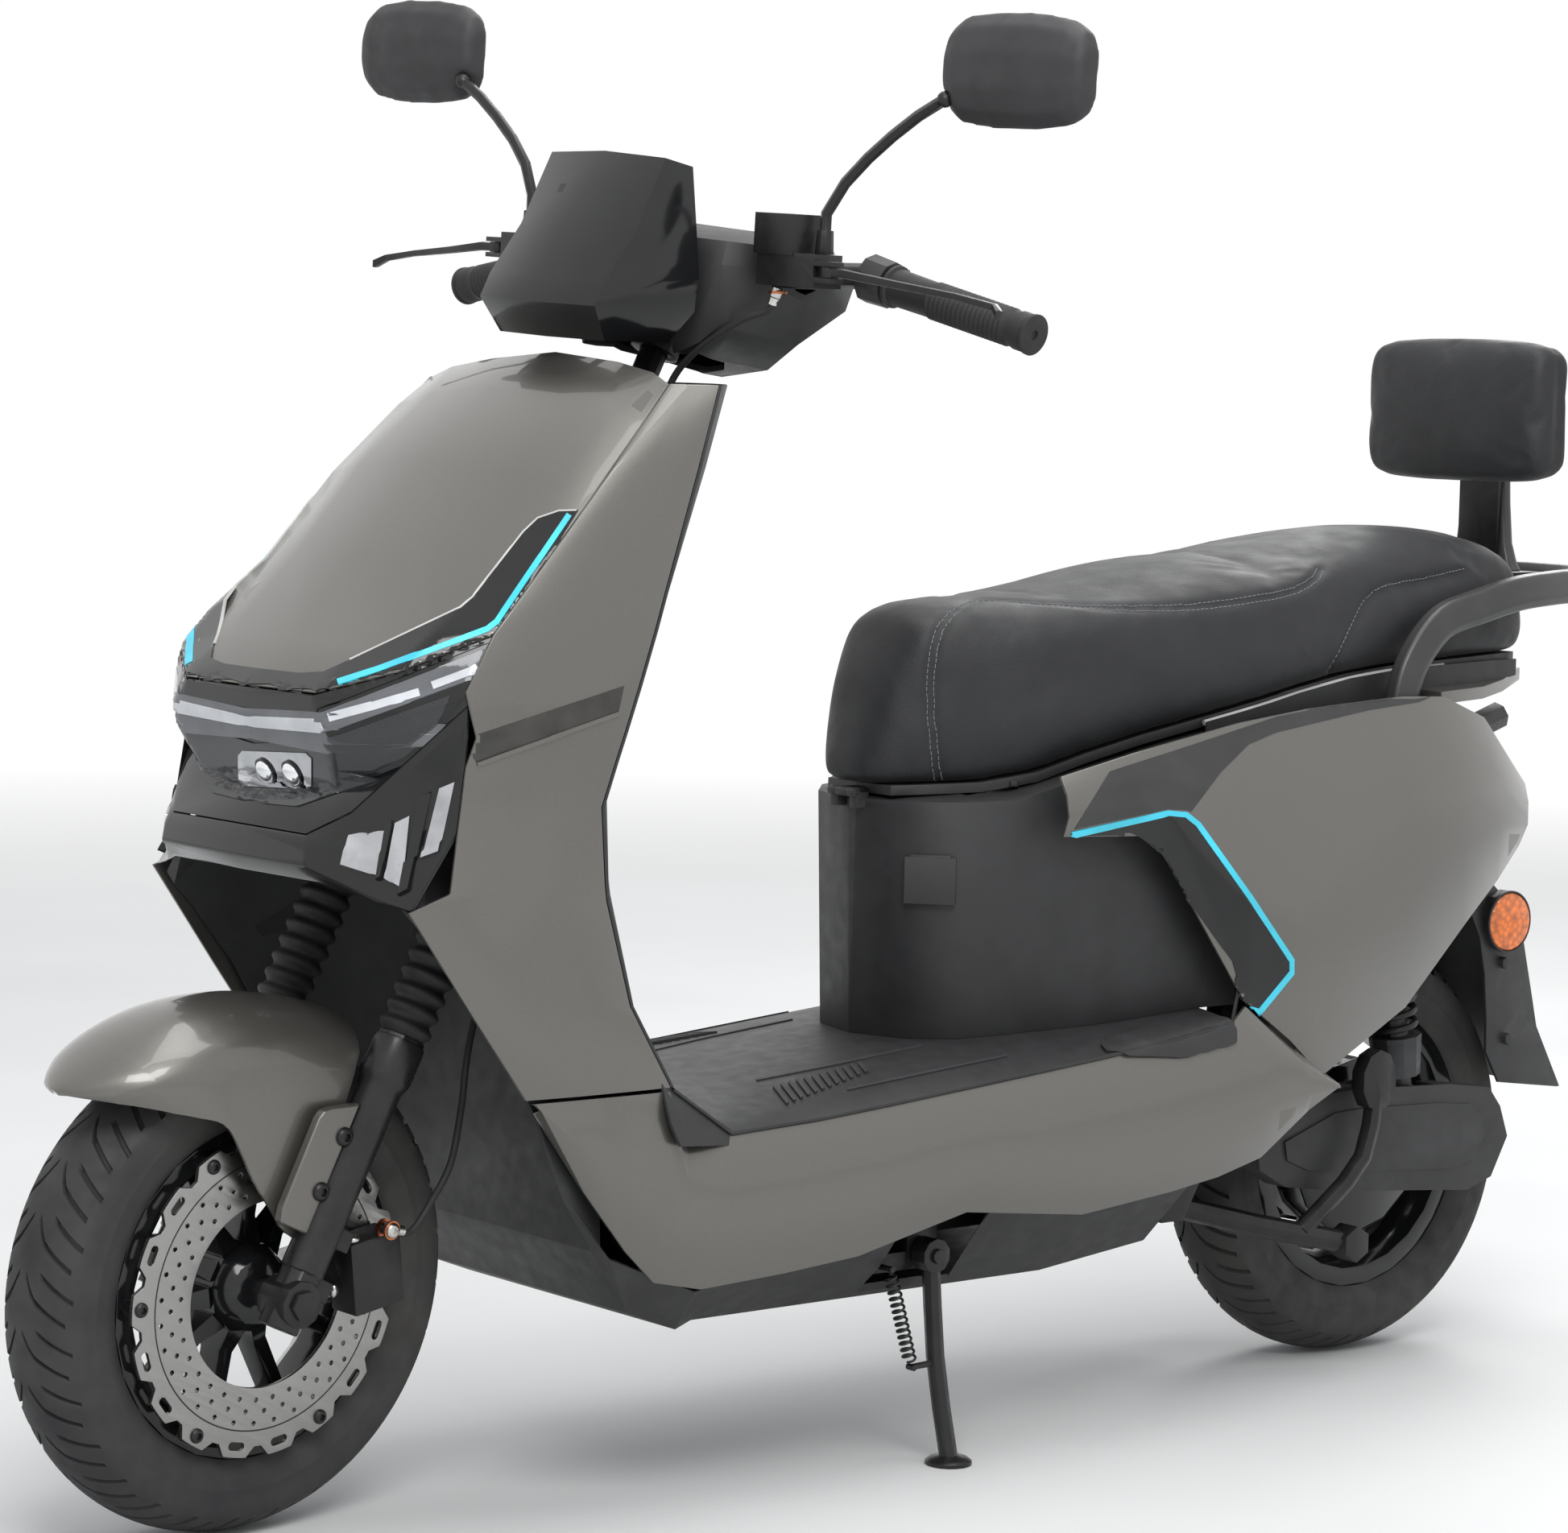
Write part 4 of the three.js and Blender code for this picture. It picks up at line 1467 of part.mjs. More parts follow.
// Brake hose, held at both ends
const hoseShares = [[119.8, 8.95, 25.7], [117.4, 9, 25.2], [115.1, 8.95, 27.7], [113.2, 8.8, 30.5],
  [112, 8.4, 35], [111.4, 8.2, 39.6]];
const hoseStemPlaces = [[330, 68, -34], [395, 50, -22], [450, 48, 0], [640, 48, 0], [800, 48, 0]];
const hoseTopShares = [[89.4, 4.9, 94.6], [88.6, 7, 97.6], [87.4, 11, 100.4], [86.4, 13.4, 101.6],
  [86.2, 14, 103.5]];
function brakeHose() {
  const stem = hoseStemPlaces.map(([height, aside, ahead]) => axisPoint(height, aside, ahead));
  return tube([...places(hoseShares), ...stem, ...places(hoseTopShares)], hoseRadius, 34, 5);
}

// Battery on the frame's cross tubes, and the controller under the luggage tub
const batteryShares = [[46, -9.2, 22.34], [84, 9.2, 31.4]];
const batteryLidShares = [[47, -8.6, 31.3], [83, 8.6, 32.2]];
const batteryPack = () => join(block(...places(batteryShares)), block(...places(batteryLidShares)));
const controllerShares = [[33, -7, 42.6], [45, 7, 46.4]];
const controllerFins = 8;
const finDepth = 6;
function motorController() {
  const [low, high] = places(controllerShares);
  const body = block(low, high.clone().setZ(tubShares[3] * up - fit));
  const fins = Array.from({ length: controllerFins }, (_, i) => {
    const x = low.x + ((i + 0.5) / controllerFins) * (high.x - low.x);
    return block(spot(x - wall / 2, low.y + wall, low.z - finDepth),
      spot(x + wall / 2, high.y - wall, low.z + wall));
  });
  return join(body, fins);
}

const chassisPieces = [
  ['main_frame', mainFrame, blackSteel],
  ['battery_pack', batteryPack, matteBlack],
  ['motor_controller', motorController, castGrey],
  ['seat_box', seatBox, matteBlack],
  ['floor_deck', floorDeck, matteBlack],
  ['under_tray', underTray, matteBlack],
  ['front_panel', frontPanel, greyPaint],
  ['leg_shield', legShield, matteBlack],
  ['headlamp', headlamp, lensClear],
  ['lower_cowl', lowerCowl, matteBlack],
  ['tail_wing', tailWing, matteBlack],
  ['tail_lamp', tailLamp, lensRed],
  ['rear_mudguard', rearMudguard, matteBlack],
  ['grab_rail', grabRail, blackSteel],
  ['backrest_cushion', backrestCushion, leather],
];
chassisPieces.forEach(([name, make, material]) => piece(scooter, name, make(), material));
const sidePieces = [['lower_side', lowerSide, matteBlack], ['rear_side', rearSide, greyPaint],
  ['shield_side', shieldSide, greyPaint]];
sidePieces.forEach(([name, make, material]) => {
  piece(scooter, `${name}_left`, make(), material);
  piece(scooter, `${name}_right`, mirrored(make()), material);
});

// Seat, cap and stands, each about its own hinge
const cap = new THREE.Group();
cap.position.copy(facetStart).lerp(facetEnd, 0.5);
cap.position.add(spot(Math.cos(Math.PI / 2 - facetAngle), Math.sin(Math.PI / 2 - facetAngle),
  0).multiplyScalar(capThickness / 2 + capGap));
cap.rotation.z = Math.PI / 2 - facetAngle;
scooter.add(cap);
piece(cap, 'charge_cap', chargeCap(), matteBlack);
piece(scooter, 'seat_base', seatBase(), matteBlack);
piece(scooter, 'seat_cushion', seatCushion(), leather);
piece(scooter, 'side_stand', sideStand(), blackSteel);
piece(scooter, 'side_stand_spring', sideStandSpring(), steel);
piece(scooter, 'centre_stand', centreStand(), blackSteel);

piece(scooter, 'swingarm', swingarm(), blackSteel);
piece(scooter, 'swingarm_cover', swingarmCover(), castGrey);
const rearWheelGroup = new THREE.Group();
rearWheelGroup.position.set(0, 0, tyreRadius);
scooter.add(rearWheelGroup);
piece(rearWheelGroup, 'rear_wheel', rearWheel(), castGrey);
piece(rearWheelGroup, 'rear_tyre', tyre(0), rubber);
piece(scooter, 'shock_upper', shockUpper(), castGrey);
piece(scooter, 'shock_lower', shockLower(), castGrey);
piece(scooter, 'shock_spring', shockSpring(), blackSteel);

piece(upper, 'handlebar', handlebar(), blackSteel);
piece(upper, 'handlebar_cover', handlebarCover(), matteBlack);
piece(upper, 'face_cowl', faceCowl(), greyPaint);
piece(upper, 'left_grip', grip(1, 1.1), rubber);
piece(upper, 'throttle_grip', grip(-1, 1.25), rubber);
piece(upper, 'left_switch_pod', leftPod(), matteBlack);
piece(upper, 'right_control_pod', rightPod(), matteBlack);
piece(upper, 'horn_button', hornButton(), redPlastic);
piece(upper, 'left_master_cylinder', masterCylinder(), glossBlack);
piece(upper, 'left_lever', lever(1), castGrey);
piece(upper, 'right_lever', lever(-1), castGrey);
piece(upper, 'mirror_arm_left', mirrorArm(1), blackSteel);
piece(upper, 'mirror_arm_right', mirrorArm(-1), blackSteel);
piece(upper, 'mirror_left', mirrorHead(1), matteBlack);
piece(upper, 'mirror_right', mirrorHead(-1), matteBlack);
piece(upper, 'brake_hose', brakeHose(), rubber);
piece(fork, 'brake_caliper', brakeCaliper(), steel);

export default scooter;
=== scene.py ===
import json
import math

import bmesh
import bpy
import numpy as np
from mathutils import Matrix, Vector
from mathutils.bvhtree import BVHTree

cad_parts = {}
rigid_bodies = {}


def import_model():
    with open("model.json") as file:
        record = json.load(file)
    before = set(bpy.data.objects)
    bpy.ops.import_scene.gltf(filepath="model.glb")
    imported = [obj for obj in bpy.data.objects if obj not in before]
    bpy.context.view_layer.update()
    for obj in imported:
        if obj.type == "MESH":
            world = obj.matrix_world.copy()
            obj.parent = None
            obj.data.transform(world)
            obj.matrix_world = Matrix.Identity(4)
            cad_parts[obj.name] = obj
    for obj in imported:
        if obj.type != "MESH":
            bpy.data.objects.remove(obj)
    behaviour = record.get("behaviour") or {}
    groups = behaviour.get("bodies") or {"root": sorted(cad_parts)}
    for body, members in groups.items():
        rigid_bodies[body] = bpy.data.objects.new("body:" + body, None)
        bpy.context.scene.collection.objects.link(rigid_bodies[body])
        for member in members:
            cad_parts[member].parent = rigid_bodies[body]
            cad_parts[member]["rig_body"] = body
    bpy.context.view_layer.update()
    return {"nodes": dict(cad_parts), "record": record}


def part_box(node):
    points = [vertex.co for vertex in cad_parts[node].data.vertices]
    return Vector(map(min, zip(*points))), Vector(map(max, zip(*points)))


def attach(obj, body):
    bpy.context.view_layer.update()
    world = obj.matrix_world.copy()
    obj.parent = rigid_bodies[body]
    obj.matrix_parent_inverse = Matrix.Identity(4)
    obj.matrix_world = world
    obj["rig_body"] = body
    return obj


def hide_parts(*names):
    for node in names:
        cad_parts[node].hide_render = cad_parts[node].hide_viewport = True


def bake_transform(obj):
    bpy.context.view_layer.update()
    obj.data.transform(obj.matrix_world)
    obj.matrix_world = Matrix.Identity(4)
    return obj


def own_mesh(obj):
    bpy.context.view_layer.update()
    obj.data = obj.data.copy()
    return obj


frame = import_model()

NODES = frame["nodes"]
BODY_OF = {n: body for body, ns in frame["record"]["behaviour"]["bodies"].items() for n in ns}

# Driving sizes, in millimetres from the rear axle's foot: x forward, y to the rider's left, z up
MM = 0.001
REAR_AXLE_X = -0.6085  # in the row's frame, in metres
WHEELBASE = 1290
TYRE_RADIUS = 207
RAKE = math.radians(27)
FORK_OFFSET = 28
STEER_TURN = math.radians(6.4)
LEG_SPACING = 80
OUTSIDE = 160  # beyond the surfaces that a ray comes to from the side
LIFT = 0.5  # how far a decal or thread stands off its surface
WELD = 0.01  # points closer than this are one
SIDES = ((1, "left"), (-1, "right"))


def at(x, y, z):
    return Vector((REAR_AXLE_X + x * MM, y * MM, z * MM))


def spot(matrix, x, y, z):
    """A point of a matrix's own frame, in millimetres."""
    return matrix @ (Vector((x, y, z)) * MM)


TRAIL = TYRE_RADIUS * math.tan(RAKE) - FORK_OFFSET / math.cos(RAKE)
AXIS_FOOT = at(WHEELBASE + TRAIL, 0, 0)
AXIS_UP = Vector((-math.sin(RAKE), 0, math.cos(RAKE)))
STEER = (Matrix.Translation(AXIS_FOOT) @ Matrix.Rotation(STEER_TURN, 4, AXIS_UP)
         @ Matrix.Translation(-AXIS_FOOT))
HUB_AHEAD = Matrix.Translation(at(WHEELBASE, 0, TYRE_RADIUS)) @ Matrix.Rotation(-RAKE, 4, "Y")
FRONT_HUB = STEER @ HUB_AHEAD
FRONT_AXLE = FRONT_HUB.to_3x3() @ Vector((0, 1, 0))
REAR_HUB = Matrix.Translation(at(0, 0, TYRE_RADIUS))

# The photograph's camera
PHOTO_WIDTH = 1947
PHOTO_HEIGHT = 1904
PHOTO_FOCAL = 5721.85  # in pixels
SENSOR = 36
CAMERA_PLACE = at(3291.3, 3160.4, 969.3)
CAMERA_TARGET = at(713.9, 0, 606.6)
CAMERA_ROLL = math.radians(1.35)


def camera_matrix():
    forward = (CAMERA_TARGET - CAMERA_PLACE).normalized()
    right = forward.cross(Vector((0, 0, 1))).normalized()
    up = right.cross(forward)
    turn = Matrix((right, up, -forward)).transposed() @ Matrix.Rotation(CAMERA_ROLL, 3, "Z")
    return Matrix.Translation(CAMERA_PLACE) @ turn.to_4x4()


def sight(px, py):
    """The direction from the camera through a pixel of the photograph."""
    local = Vector((px - PHOTO_WIDTH / 2, PHOTO_HEIGHT / 2 - py, -PHOTO_FOCAL))
    return (camera_matrix().to_3x3() @ local).normalized()


# Materials. A texture is its node's kind, its scale and its settings
def noise(scale, detail):
    return "ShaderNodeTexNoise", scale, {"Detail": detail}


def cells(scale):
    return "ShaderNodeTexVoronoi", scale, {"feature": "F1"}


RINGS = ("ShaderNodeTexWave", 380, {"wave_type": "RINGS", "rings_direction": "Y", "Distortion": 3.0, "Detail": 3.0})


def texture(made, kind, scale, settings):
    """A 3-D texture in the piece's own coordinates, and its value socket."""
    tree = made.node_tree
    place = tree.nodes.get("Texture Coordinate") or tree.nodes.new("ShaderNodeTexCoord")
    node = tree.nodes.new(kind)
    tree.links.new(place.outputs["Object"], node.inputs["Vector"])
    node.inputs["Scale"].default_value = scale
    for name, value in settings.items():
        if name in node.inputs:
            node.inputs[name].default_value = value
        else:
            setattr(node, name, value)
    return node.outputs[0]


def ranged(made, value, low, high, start=0.3, end=0.7):
    node = made.node_tree.nodes.new("ShaderNodeMapRange")
    for name, number in (("From Min", start), ("From Max", end), ("To Min", low), ("To Max", high)):
        node.inputs[name].default_value = number
    made.node_tree.links.new(value, node.inputs["Value"])
    return node.outputs["Result"]


def tint(made, value, colours, start=0.3, end=0.7):
    """Base colour runs from one colour to another with a texture's value."""
    tree = made.node_tree
    ramp = tree.nodes.new("ShaderNodeValToRGB")
    for stop, position, colour in zip(ramp.color_ramp.elements, (start, end), colours):
        stop.position = position
        stop.color = (*colour, 1)
    tree.links.new(value, ramp.inputs["Fac"])
    tree.links.new(ramp.outputs["Color"], tree.nodes["Principled BSDF"].inputs["Base Color"])


def bump(made, value, height, strength=1.0):
    """Heights are in metres. Bumps of one material add up."""
    tree = made.node_tree
    shader = tree.nodes["Principled BSDF"]
    node = tree.nodes.new("ShaderNodeBump")
    node.inputs["Distance"].default_value = height
    node.inputs["Strength"].default_value = strength
    tree.links.new(value, node.inputs["Height"])
    before = shader.inputs["Normal"].links
    if before:
        tree.links.new(before[0].from_socket, node.inputs["Normal"])
    tree.links.new(node.outputs["Normal"], shader.inputs["Normal"])


def look(name, colour, rough, spread, roughs=None, bumps=(), metallic=0.0, **sockets):
    """A material. Spread is a texture, the two shares of the colour, or other colours, that it runs between, and
    where it starts and ends; roughs a texture and two values; bumps textures, heights in metres and strengths."""
    made = bpy.data.materials.new(name)
    made.use_nodes = True
    shader = made.node_tree.nodes["Principled BSDF"]
    settings = {"Base_Color": (*colour, 1), "Roughness": rough, "Metallic": metallic, **sockets}
    for socket, value in settings.items():
        shader.inputs[socket.replace("_", " ")].default_value = value
    pattern, dark, light, *ends = spread
    colours = [share if isinstance(share, tuple) else [c * share for c in colour] for share in (dark, light)]
    tint(made, texture(made, *pattern), colours, *ends)
    if roughs:
        pattern, low, high = roughs
        uneven = ranged(made, texture(made, *pattern), low, high)
        made.node_tree.links.new(uneven, shader.inputs["Roughness"])
    for pattern, height, strength in bumps:
        bump(made, texture(made, *pattern), height, strength)
    return made


def moulded(name, colour, rough, grain, depth):
    """Moulded plastic: fine grain, faint mottling."""
    return look(name, colour, rough, (noise(22, 4), 0.85, 1.2), (noise(60, 5), rough * 0.88, rough * 1.12),
                [(noise(grain, 3), depth, 0.5)])


def metal(name, colour, rough, metallic=1.0, grain=900):
    return look(name, colour, rough, (noise(40, 5), 0.8, 1.15), (noise(120, 4), rough * 0.8, rough * 1.25),
                [(noise(grain, 2), 0.00003, 0.4)], metallic)


def faceted_lens(name, colour):
    """Moulded reflector: small prisms under a smooth face."""
    return look(name, colour, 0.12, (cells(160), 1.3, 0.45, 0.0, 0.9), bumps=[(cells(160), 0.0012, 0.7)],
                Coat_Weight=1.0, Coat_Roughness=0.04)


PAINT = look("grey_paint", (0.135, 0.13, 0.118), 0.36, (cells(2600), 0.82, 1.25, 0.0, 1.0),
             (noise(3.5, 3), 0.32, 0.42), [(noise(240, 2), 0.00002, 0.3)], 0.62, Coat_Weight=0.7, Coat_Roughness=0.05)
MATTE = moulded("matte_black", (0.0205, 0.0208, 0.022), 0.52, 1500, 0.00006)
MATTE_SOFT = moulded("matte_trim", (0.027, 0.027, 0.029), 0.6, 900, 0.0001)
GLOSS = moulded("gloss_black", (0.0085, 0.0088, 0.0095), 0.11, 300, 0.000012)
STEEL_BLACK = metal("black_steel", (0.02, 0.02, 0.021), 0.36, 0.35)
SATIN = metal("satin_black", (0.03, 0.03, 0.031), 0.3, 0.5)
CAST = metal("cast_grey", (0.05, 0.051, 0.053), 0.46, 0.45, 600)
DISC = look("disc_steel", (0.36, 0.355, 0.345), 0.34, (RINGS, 0.75, 1.15, 0.0, 1.0), (noise(30, 4), 0.24, 0.42),
            [(RINGS, 0.00003, 0.5)], 1.0)
BRIGHT = metal("bright_metal", (0.6, 0.59, 0.57), 0.24)
CHROME = metal("chrome", (0.5, 0.51, 0.53), 0.07, 1.0, 200)
RUBBER = moulded("soft_rubber", (0.0165, 0.0165, 0.0175), 0.68, 1100, 0.00012)
TYRE = look("tyre_rubber", (0.022, 0.022, 0.024), 0.72, (noise(9, 8), 1, (0.045, 0.043, 0.04)),
            (noise(45, 5), 0.6, 0.85), [(noise(700, 3), 0.00008, 0.5)])
LEATHER = look("leather", (0.011, 0.0115, 0.013), 0.6, (noise(14, 3), 0.85, 1.25), (noise(30, 5), 0.54, 0.68),
               [(cells(520), 0.00022, 0.55), (noise(90, 6), 0.0006, 0.25)], Sheen_Weight=0.05, Sheen_Roughness=0.4)
SMOKED = look("smoked_lens", (0.35, 0.36, 0.38), 0.04, (noise(12, 2), 0.95, 1), bumps=[(noise(60, 1), 0.00002, 0.2)],
              Transmission_Weight=0.92, IOR=1.45)
BAR = moulded("light_bar", (0.13, 0.135, 0.145), 0.12, 300, 0.00001)
GUIDE = moulded("light_guide", (0.62, 0.64, 0.67), 0.16, 300, 0.00001)
RED_LENS = faceted_lens("red_lens", (0.42, 0.012, 0.012))
AMBER = faceted_lens("amber_reflector", (0.95, 0.2, 0.008))
RED = moulded("red_plastic", (0.55, 0.025, 0.018), 0.3, 800, 0.00003)
CYAN = moulded("cyan_stripe", (0.06, 0.62, 0.8), 0.35, 1200, 0.00001)
SILVER = moulded("silver_line", (0.52, 0.52, 0.5), 0.3, 1200, 0.00001)
UPPER = moulded("upper_panel", (0.034, 0.034, 0.035), 0.38, 900, 0.00005)
# Painted shade: a darker grey for the shield's channel, a recess that is not cut into the panel
CHANNEL_SHADE = metal("painted_channel_shade", (0.075, 0.073, 0.068), 0.34, 0.7)
THREAD = moulded("thread", (0.2, 0.205, 0.215), 0.8, 3000, 0.0001)
GLASS = metal("mirror_glass", (0.86, 0.88, 0.9), 0.03, 1.0, 50)
COPPER = metal("copper_washer", (0.5, 0.17, 0.08), 0.3)

# The finish of every CAD node
LOOKS = {
    PAINT: "front_panel shield_side_left shield_side_right rear_side_left rear_side_right lower_side_left "
           "lower_side_right front_fender tail_wing",
    MATTE: "leg_shield seat_box floor_deck under_tray rear_mudguard handlebar_cover charge_cap seat_base "
           "left_switch_pod right_control_pod swingarm_cover",
    MATTE_SOFT: "battery_pack mirror_left mirror_right",
    GLOSS: "face_cowl lower_cowl headlamp front_wheel rear_wheel",
    STEEL_BLACK: "main_frame grab_rail side_stand centre_stand swingarm steering_stem handlebar mirror_arm_left "
                 "mirror_arm_right left_lever right_lever fork_slider_left fork_slider_right brake_caliper "
                 "left_master_cylinder",
    CAST: "motor_controller shock_upper shock_lower",
    BRIGHT: "side_stand_spring",
    DISC: "brake_disc",
    RED: "horn_button",
    RED_LENS: "tail_lamp",
    RUBBER: "left_grip throttle_grip brake_hose fork_boot_left fork_boot_right",
    TYRE: "front_tyre rear_tyre",
    LEATHER: "seat_cushion backrest_cushion",
}
# The record's slot of each look, for pieces that name no other
SLOTS = {
    PAINT: "grey_paint", CHANNEL_SHADE: "grey_paint", MATTE: "matte_black", MATTE_SOFT: "matte_black", UPPER: "matte_black",
    GLOSS: "gloss_black", SILVER: "gloss_black", CYAN: "gloss_black", STEEL_BLACK: "black_steel",
    SATIN: "black_steel", BRIGHT: "bright_metal", CHROME: "bright_metal", COPPER: "bright_metal",
    GLASS: "bright_metal", DISC: "disc_steel", RUBBER: "rubber", TYRE: "tyre", LEATHER: "leather", THREAD: "leather",
    SMOKED: "lens_clear", BAR: "lens_clear", GUIDE: "lens_clear", AMBER: "lens_red",
}
SMOOTH_ANGLE = math.radians(32)
EDGE = 0.8  # the rounding of a node's edges
BROAD_EDGES = {"face_cowl": 5, "left_master_cylinder": 5, "handlebar_cover": 3, "tail_wing": 1.4, "lower_cowl": 2.5,
               "brake_caliper": 2.5, "seat_box": 2.5, "mirror_left": 3, "mirror_right": 3}


def rounded(made, width, segments=3, limit=math.radians(30)):
    edge = made.modifiers.new("round", "BEVEL")
    edge.width = width * MM
    edge.segments = segments
    edge.limit_method = "ANGLE"
    edge.angle_limit = limit


def dress(node, finish, edge):
    """Gives a CAD node its material, rounds its edges and shades it smooth."""
    mesh = node.data
    mesh.materials.clear()
    mesh.materials.append(finish)
    spare = mesh.attributes.get("custom_normal")
    if spare:
        mesh.attributes.remove(spare)
    mesh.shade_smooth()
    merge = node.modifiers.new("merge", "WELD")
    merge.merge_threshold = WELD * MM
    rounded(node, edge, 2, SMOOTH_ANGLE)
    split = node.modifiers.new("split", "EDGE_SPLIT")
    split.split_angle = SMOOTH_ANGLE


for finish, names in LOOKS.items():
    for name in names.split():
        dress(NODES[name], finish, BROAD_EDGES.get(name, EDGE))


# Mesh tools. A shape is a (vertices, faces) pair
def placed(name, data):
    made = bpy.data.objects.new(name, data)
    bpy.context.scene.collection.objects.link(made)
    return made


def weld(source, target):
    """Copies a mesh into another, with its doubled points joined."""
    bm = bmesh.new()
    bm.from_mesh(source)
    bmesh.ops.remove_doubles(bm, verts=bm.verts, dist=WELD * MM)
    bm.to_mesh(target)
    bm.free()


def baked(holder):
    """The mesh of an object with its modifiers applied. The object goes."""
    mesh = bpy.data.meshes.new_from_object(holder.evaluated_get(bpy.context.evaluated_depsgraph_get()))
    bpy.data.objects.remove(holder)
    return mesh


def piece(name, shape, finish, body="chassis", slot=None, replaces=(), angle=35):
    mesh = bpy.data.meshes.new(name)
    mesh.from_pydata([tuple(v) for v in shape[0]], [], shape[1])
    return adopt(name, mesh, finish, body, slot, replaces, angle)


def adopt(name, mesh, finish, body, slot=None, replaces=(), angle=35):
    """Makes a mesh a piece: outward faces, smooth shading up to an angle, a material and a body."""
    slot = slot or SLOTS[finish]
    bm = bmesh.new()
    bm.from_mesh(mesh)
    bmesh.ops.recalc_face_normals(bm, faces=bm.faces)
    bm.to_mesh(mesh)
    bm.free()
    mesh.shade_smooth()
    mesh.set_sharp_from_angle(angle=math.radians(angle))
    mesh.materials.clear()
    mesh.materials.append(finish)
    made = placed(name, mesh)
    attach(made, body)
    if replaces:
        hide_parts(*replaces)
    return made


def grid(rows, closed_rows=True):
    """Vertices and quads over rows of equal length, each a closed loop."""
    count, width = len(rows), len(rows[0])
    verts = [v for row in rows for v in row]
    faces = []
    for i in range(count if closed_rows else count - 1):
        a, b = i * width, (i + 1) % count * width
        for j in range(width):
            k = (j + 1) % width
            faces.append((a + j, a + k, b + k, b + j))
    return verts, faces


def closed(rows):
    """A skin over rows of equal length, with a face over each end."""
    verts, faces = grid(rows, closed_rows=False)
    width = len(rows[0])
    return verts, faces + [tuple(range(width)), tuple(range(len(verts) - width, len(verts)))]


def turns(count):
    """Cosine and sine at even steps of a full turn."""
    return [(math.cos(2 * math.pi * k / count), math.sin(2 * math.pi * k / count)) for k in range(count)]


def squircle(count, power):
    """Points round a square with soft corners, one from its middle to its sides."""
    return [(c / corner, s / corner) for c, s in turns(count)
            for corner in [(abs(c) ** power + abs(s) ** power) ** (1 / power)]]


def lathe(profile, matrix, sides=48, ring=False):
    """Turns [radius, height] points, in millimetres, about the matrix's Z. A ring's profile is a closed loop."""
    rows = [[spot(matrix, radius * c, radius * s, height) for c, s in turns(sides)] for radius, height in profile]
    return grid(rows) if ring else closed(rows)


def smooth_path(points, steps):
    """A Catmull-Rom curve through the points."""
    padded = [points[0] * 2 - points[1], *points, points[-1] * 2 - points[-2]]
    path = []
    for i in range(len(points) - 1):
        a, b, c, d = padded[i:i + 4]
        for k in range(steps):
            t = k / steps
            path.append(0.5 * (2 * b + (c - a) * t + (2 * a - 5 * b + 4 * c - d) * t ** 2
                               + (3 * b - a - 3 * c + d) * t ** 3))
    path.append(points[-1].copy())
    return path


def heading(path, i):
    return (path[min(i + 1, len(path) - 1)] - path[max(i - 1, 0)]).normalized()


def sweep(path, radius, sides=12):
    """A round tube along a path, with closed ends."""
    rows = []
    side = None
    for i, point in enumerate(path):
        ahead = heading(path, i)
        if side is None:
            side = ahead.orthogonal().normalized()
        side = (side - ahead * side.dot(ahead)).normalized()
        up = ahead.cross(side)
        rows.append([point + (side * c + up * s) * radius * MM for c, s in turns(sides)])
    return closed(rows)


def merged(shapes):
    verts, faces = [], []
    for some, others in shapes:
        start = len(verts)
        verts += some
        faces += [tuple(start + k for k in face) for face in others]
    return verts, faces


def along(start, end):
    """A matrix at start whose Z points to end."""
    turn = (end - start).to_track_quat("Z", "Y").to_matrix().to_4x4()
    return Matrix.Translation(start) @ turn


def tree_of(obj):
    return BVHTree.FromObject(obj, bpy.context.evaluated_depsgraph_get())


def tree_over(*names):
    """One tree over the surfaces of several CAD nodes."""
    verts, faces = [], []
    for name in names:
        mesh = NODES[name].data
        start = len(verts)
        verts += [NODES[name].matrix_world @ v.co for v in mesh.vertices]
        faces += [[start + k for k in p.vertices] for p in mesh.polygons]
    return BVHTree.FromPolygons(verts, faces)


def cast(tree, px, py):
    """The point of a surface that a pixel of the photograph shows or nearly shows, and its normal to the camera."""
    ray = sight(px, py)
    point, normal, _, _ = tree.ray_cast(CAMERA_PLACE, ray)
    if point is None:
        reach = (CAMERA_TARGET - CAMERA_PLACE).length
        for _ in range(3):
            point, normal, _, _ = tree.find_nearest(CAMERA_PLACE + ray * reach)
            reach = (point - CAMERA_PLACE).dot(ray)
    return point, (-normal if normal.dot(ray) > 0 else normal)


def flip(v):
    return Vector((v.x, -v.y, v.z))


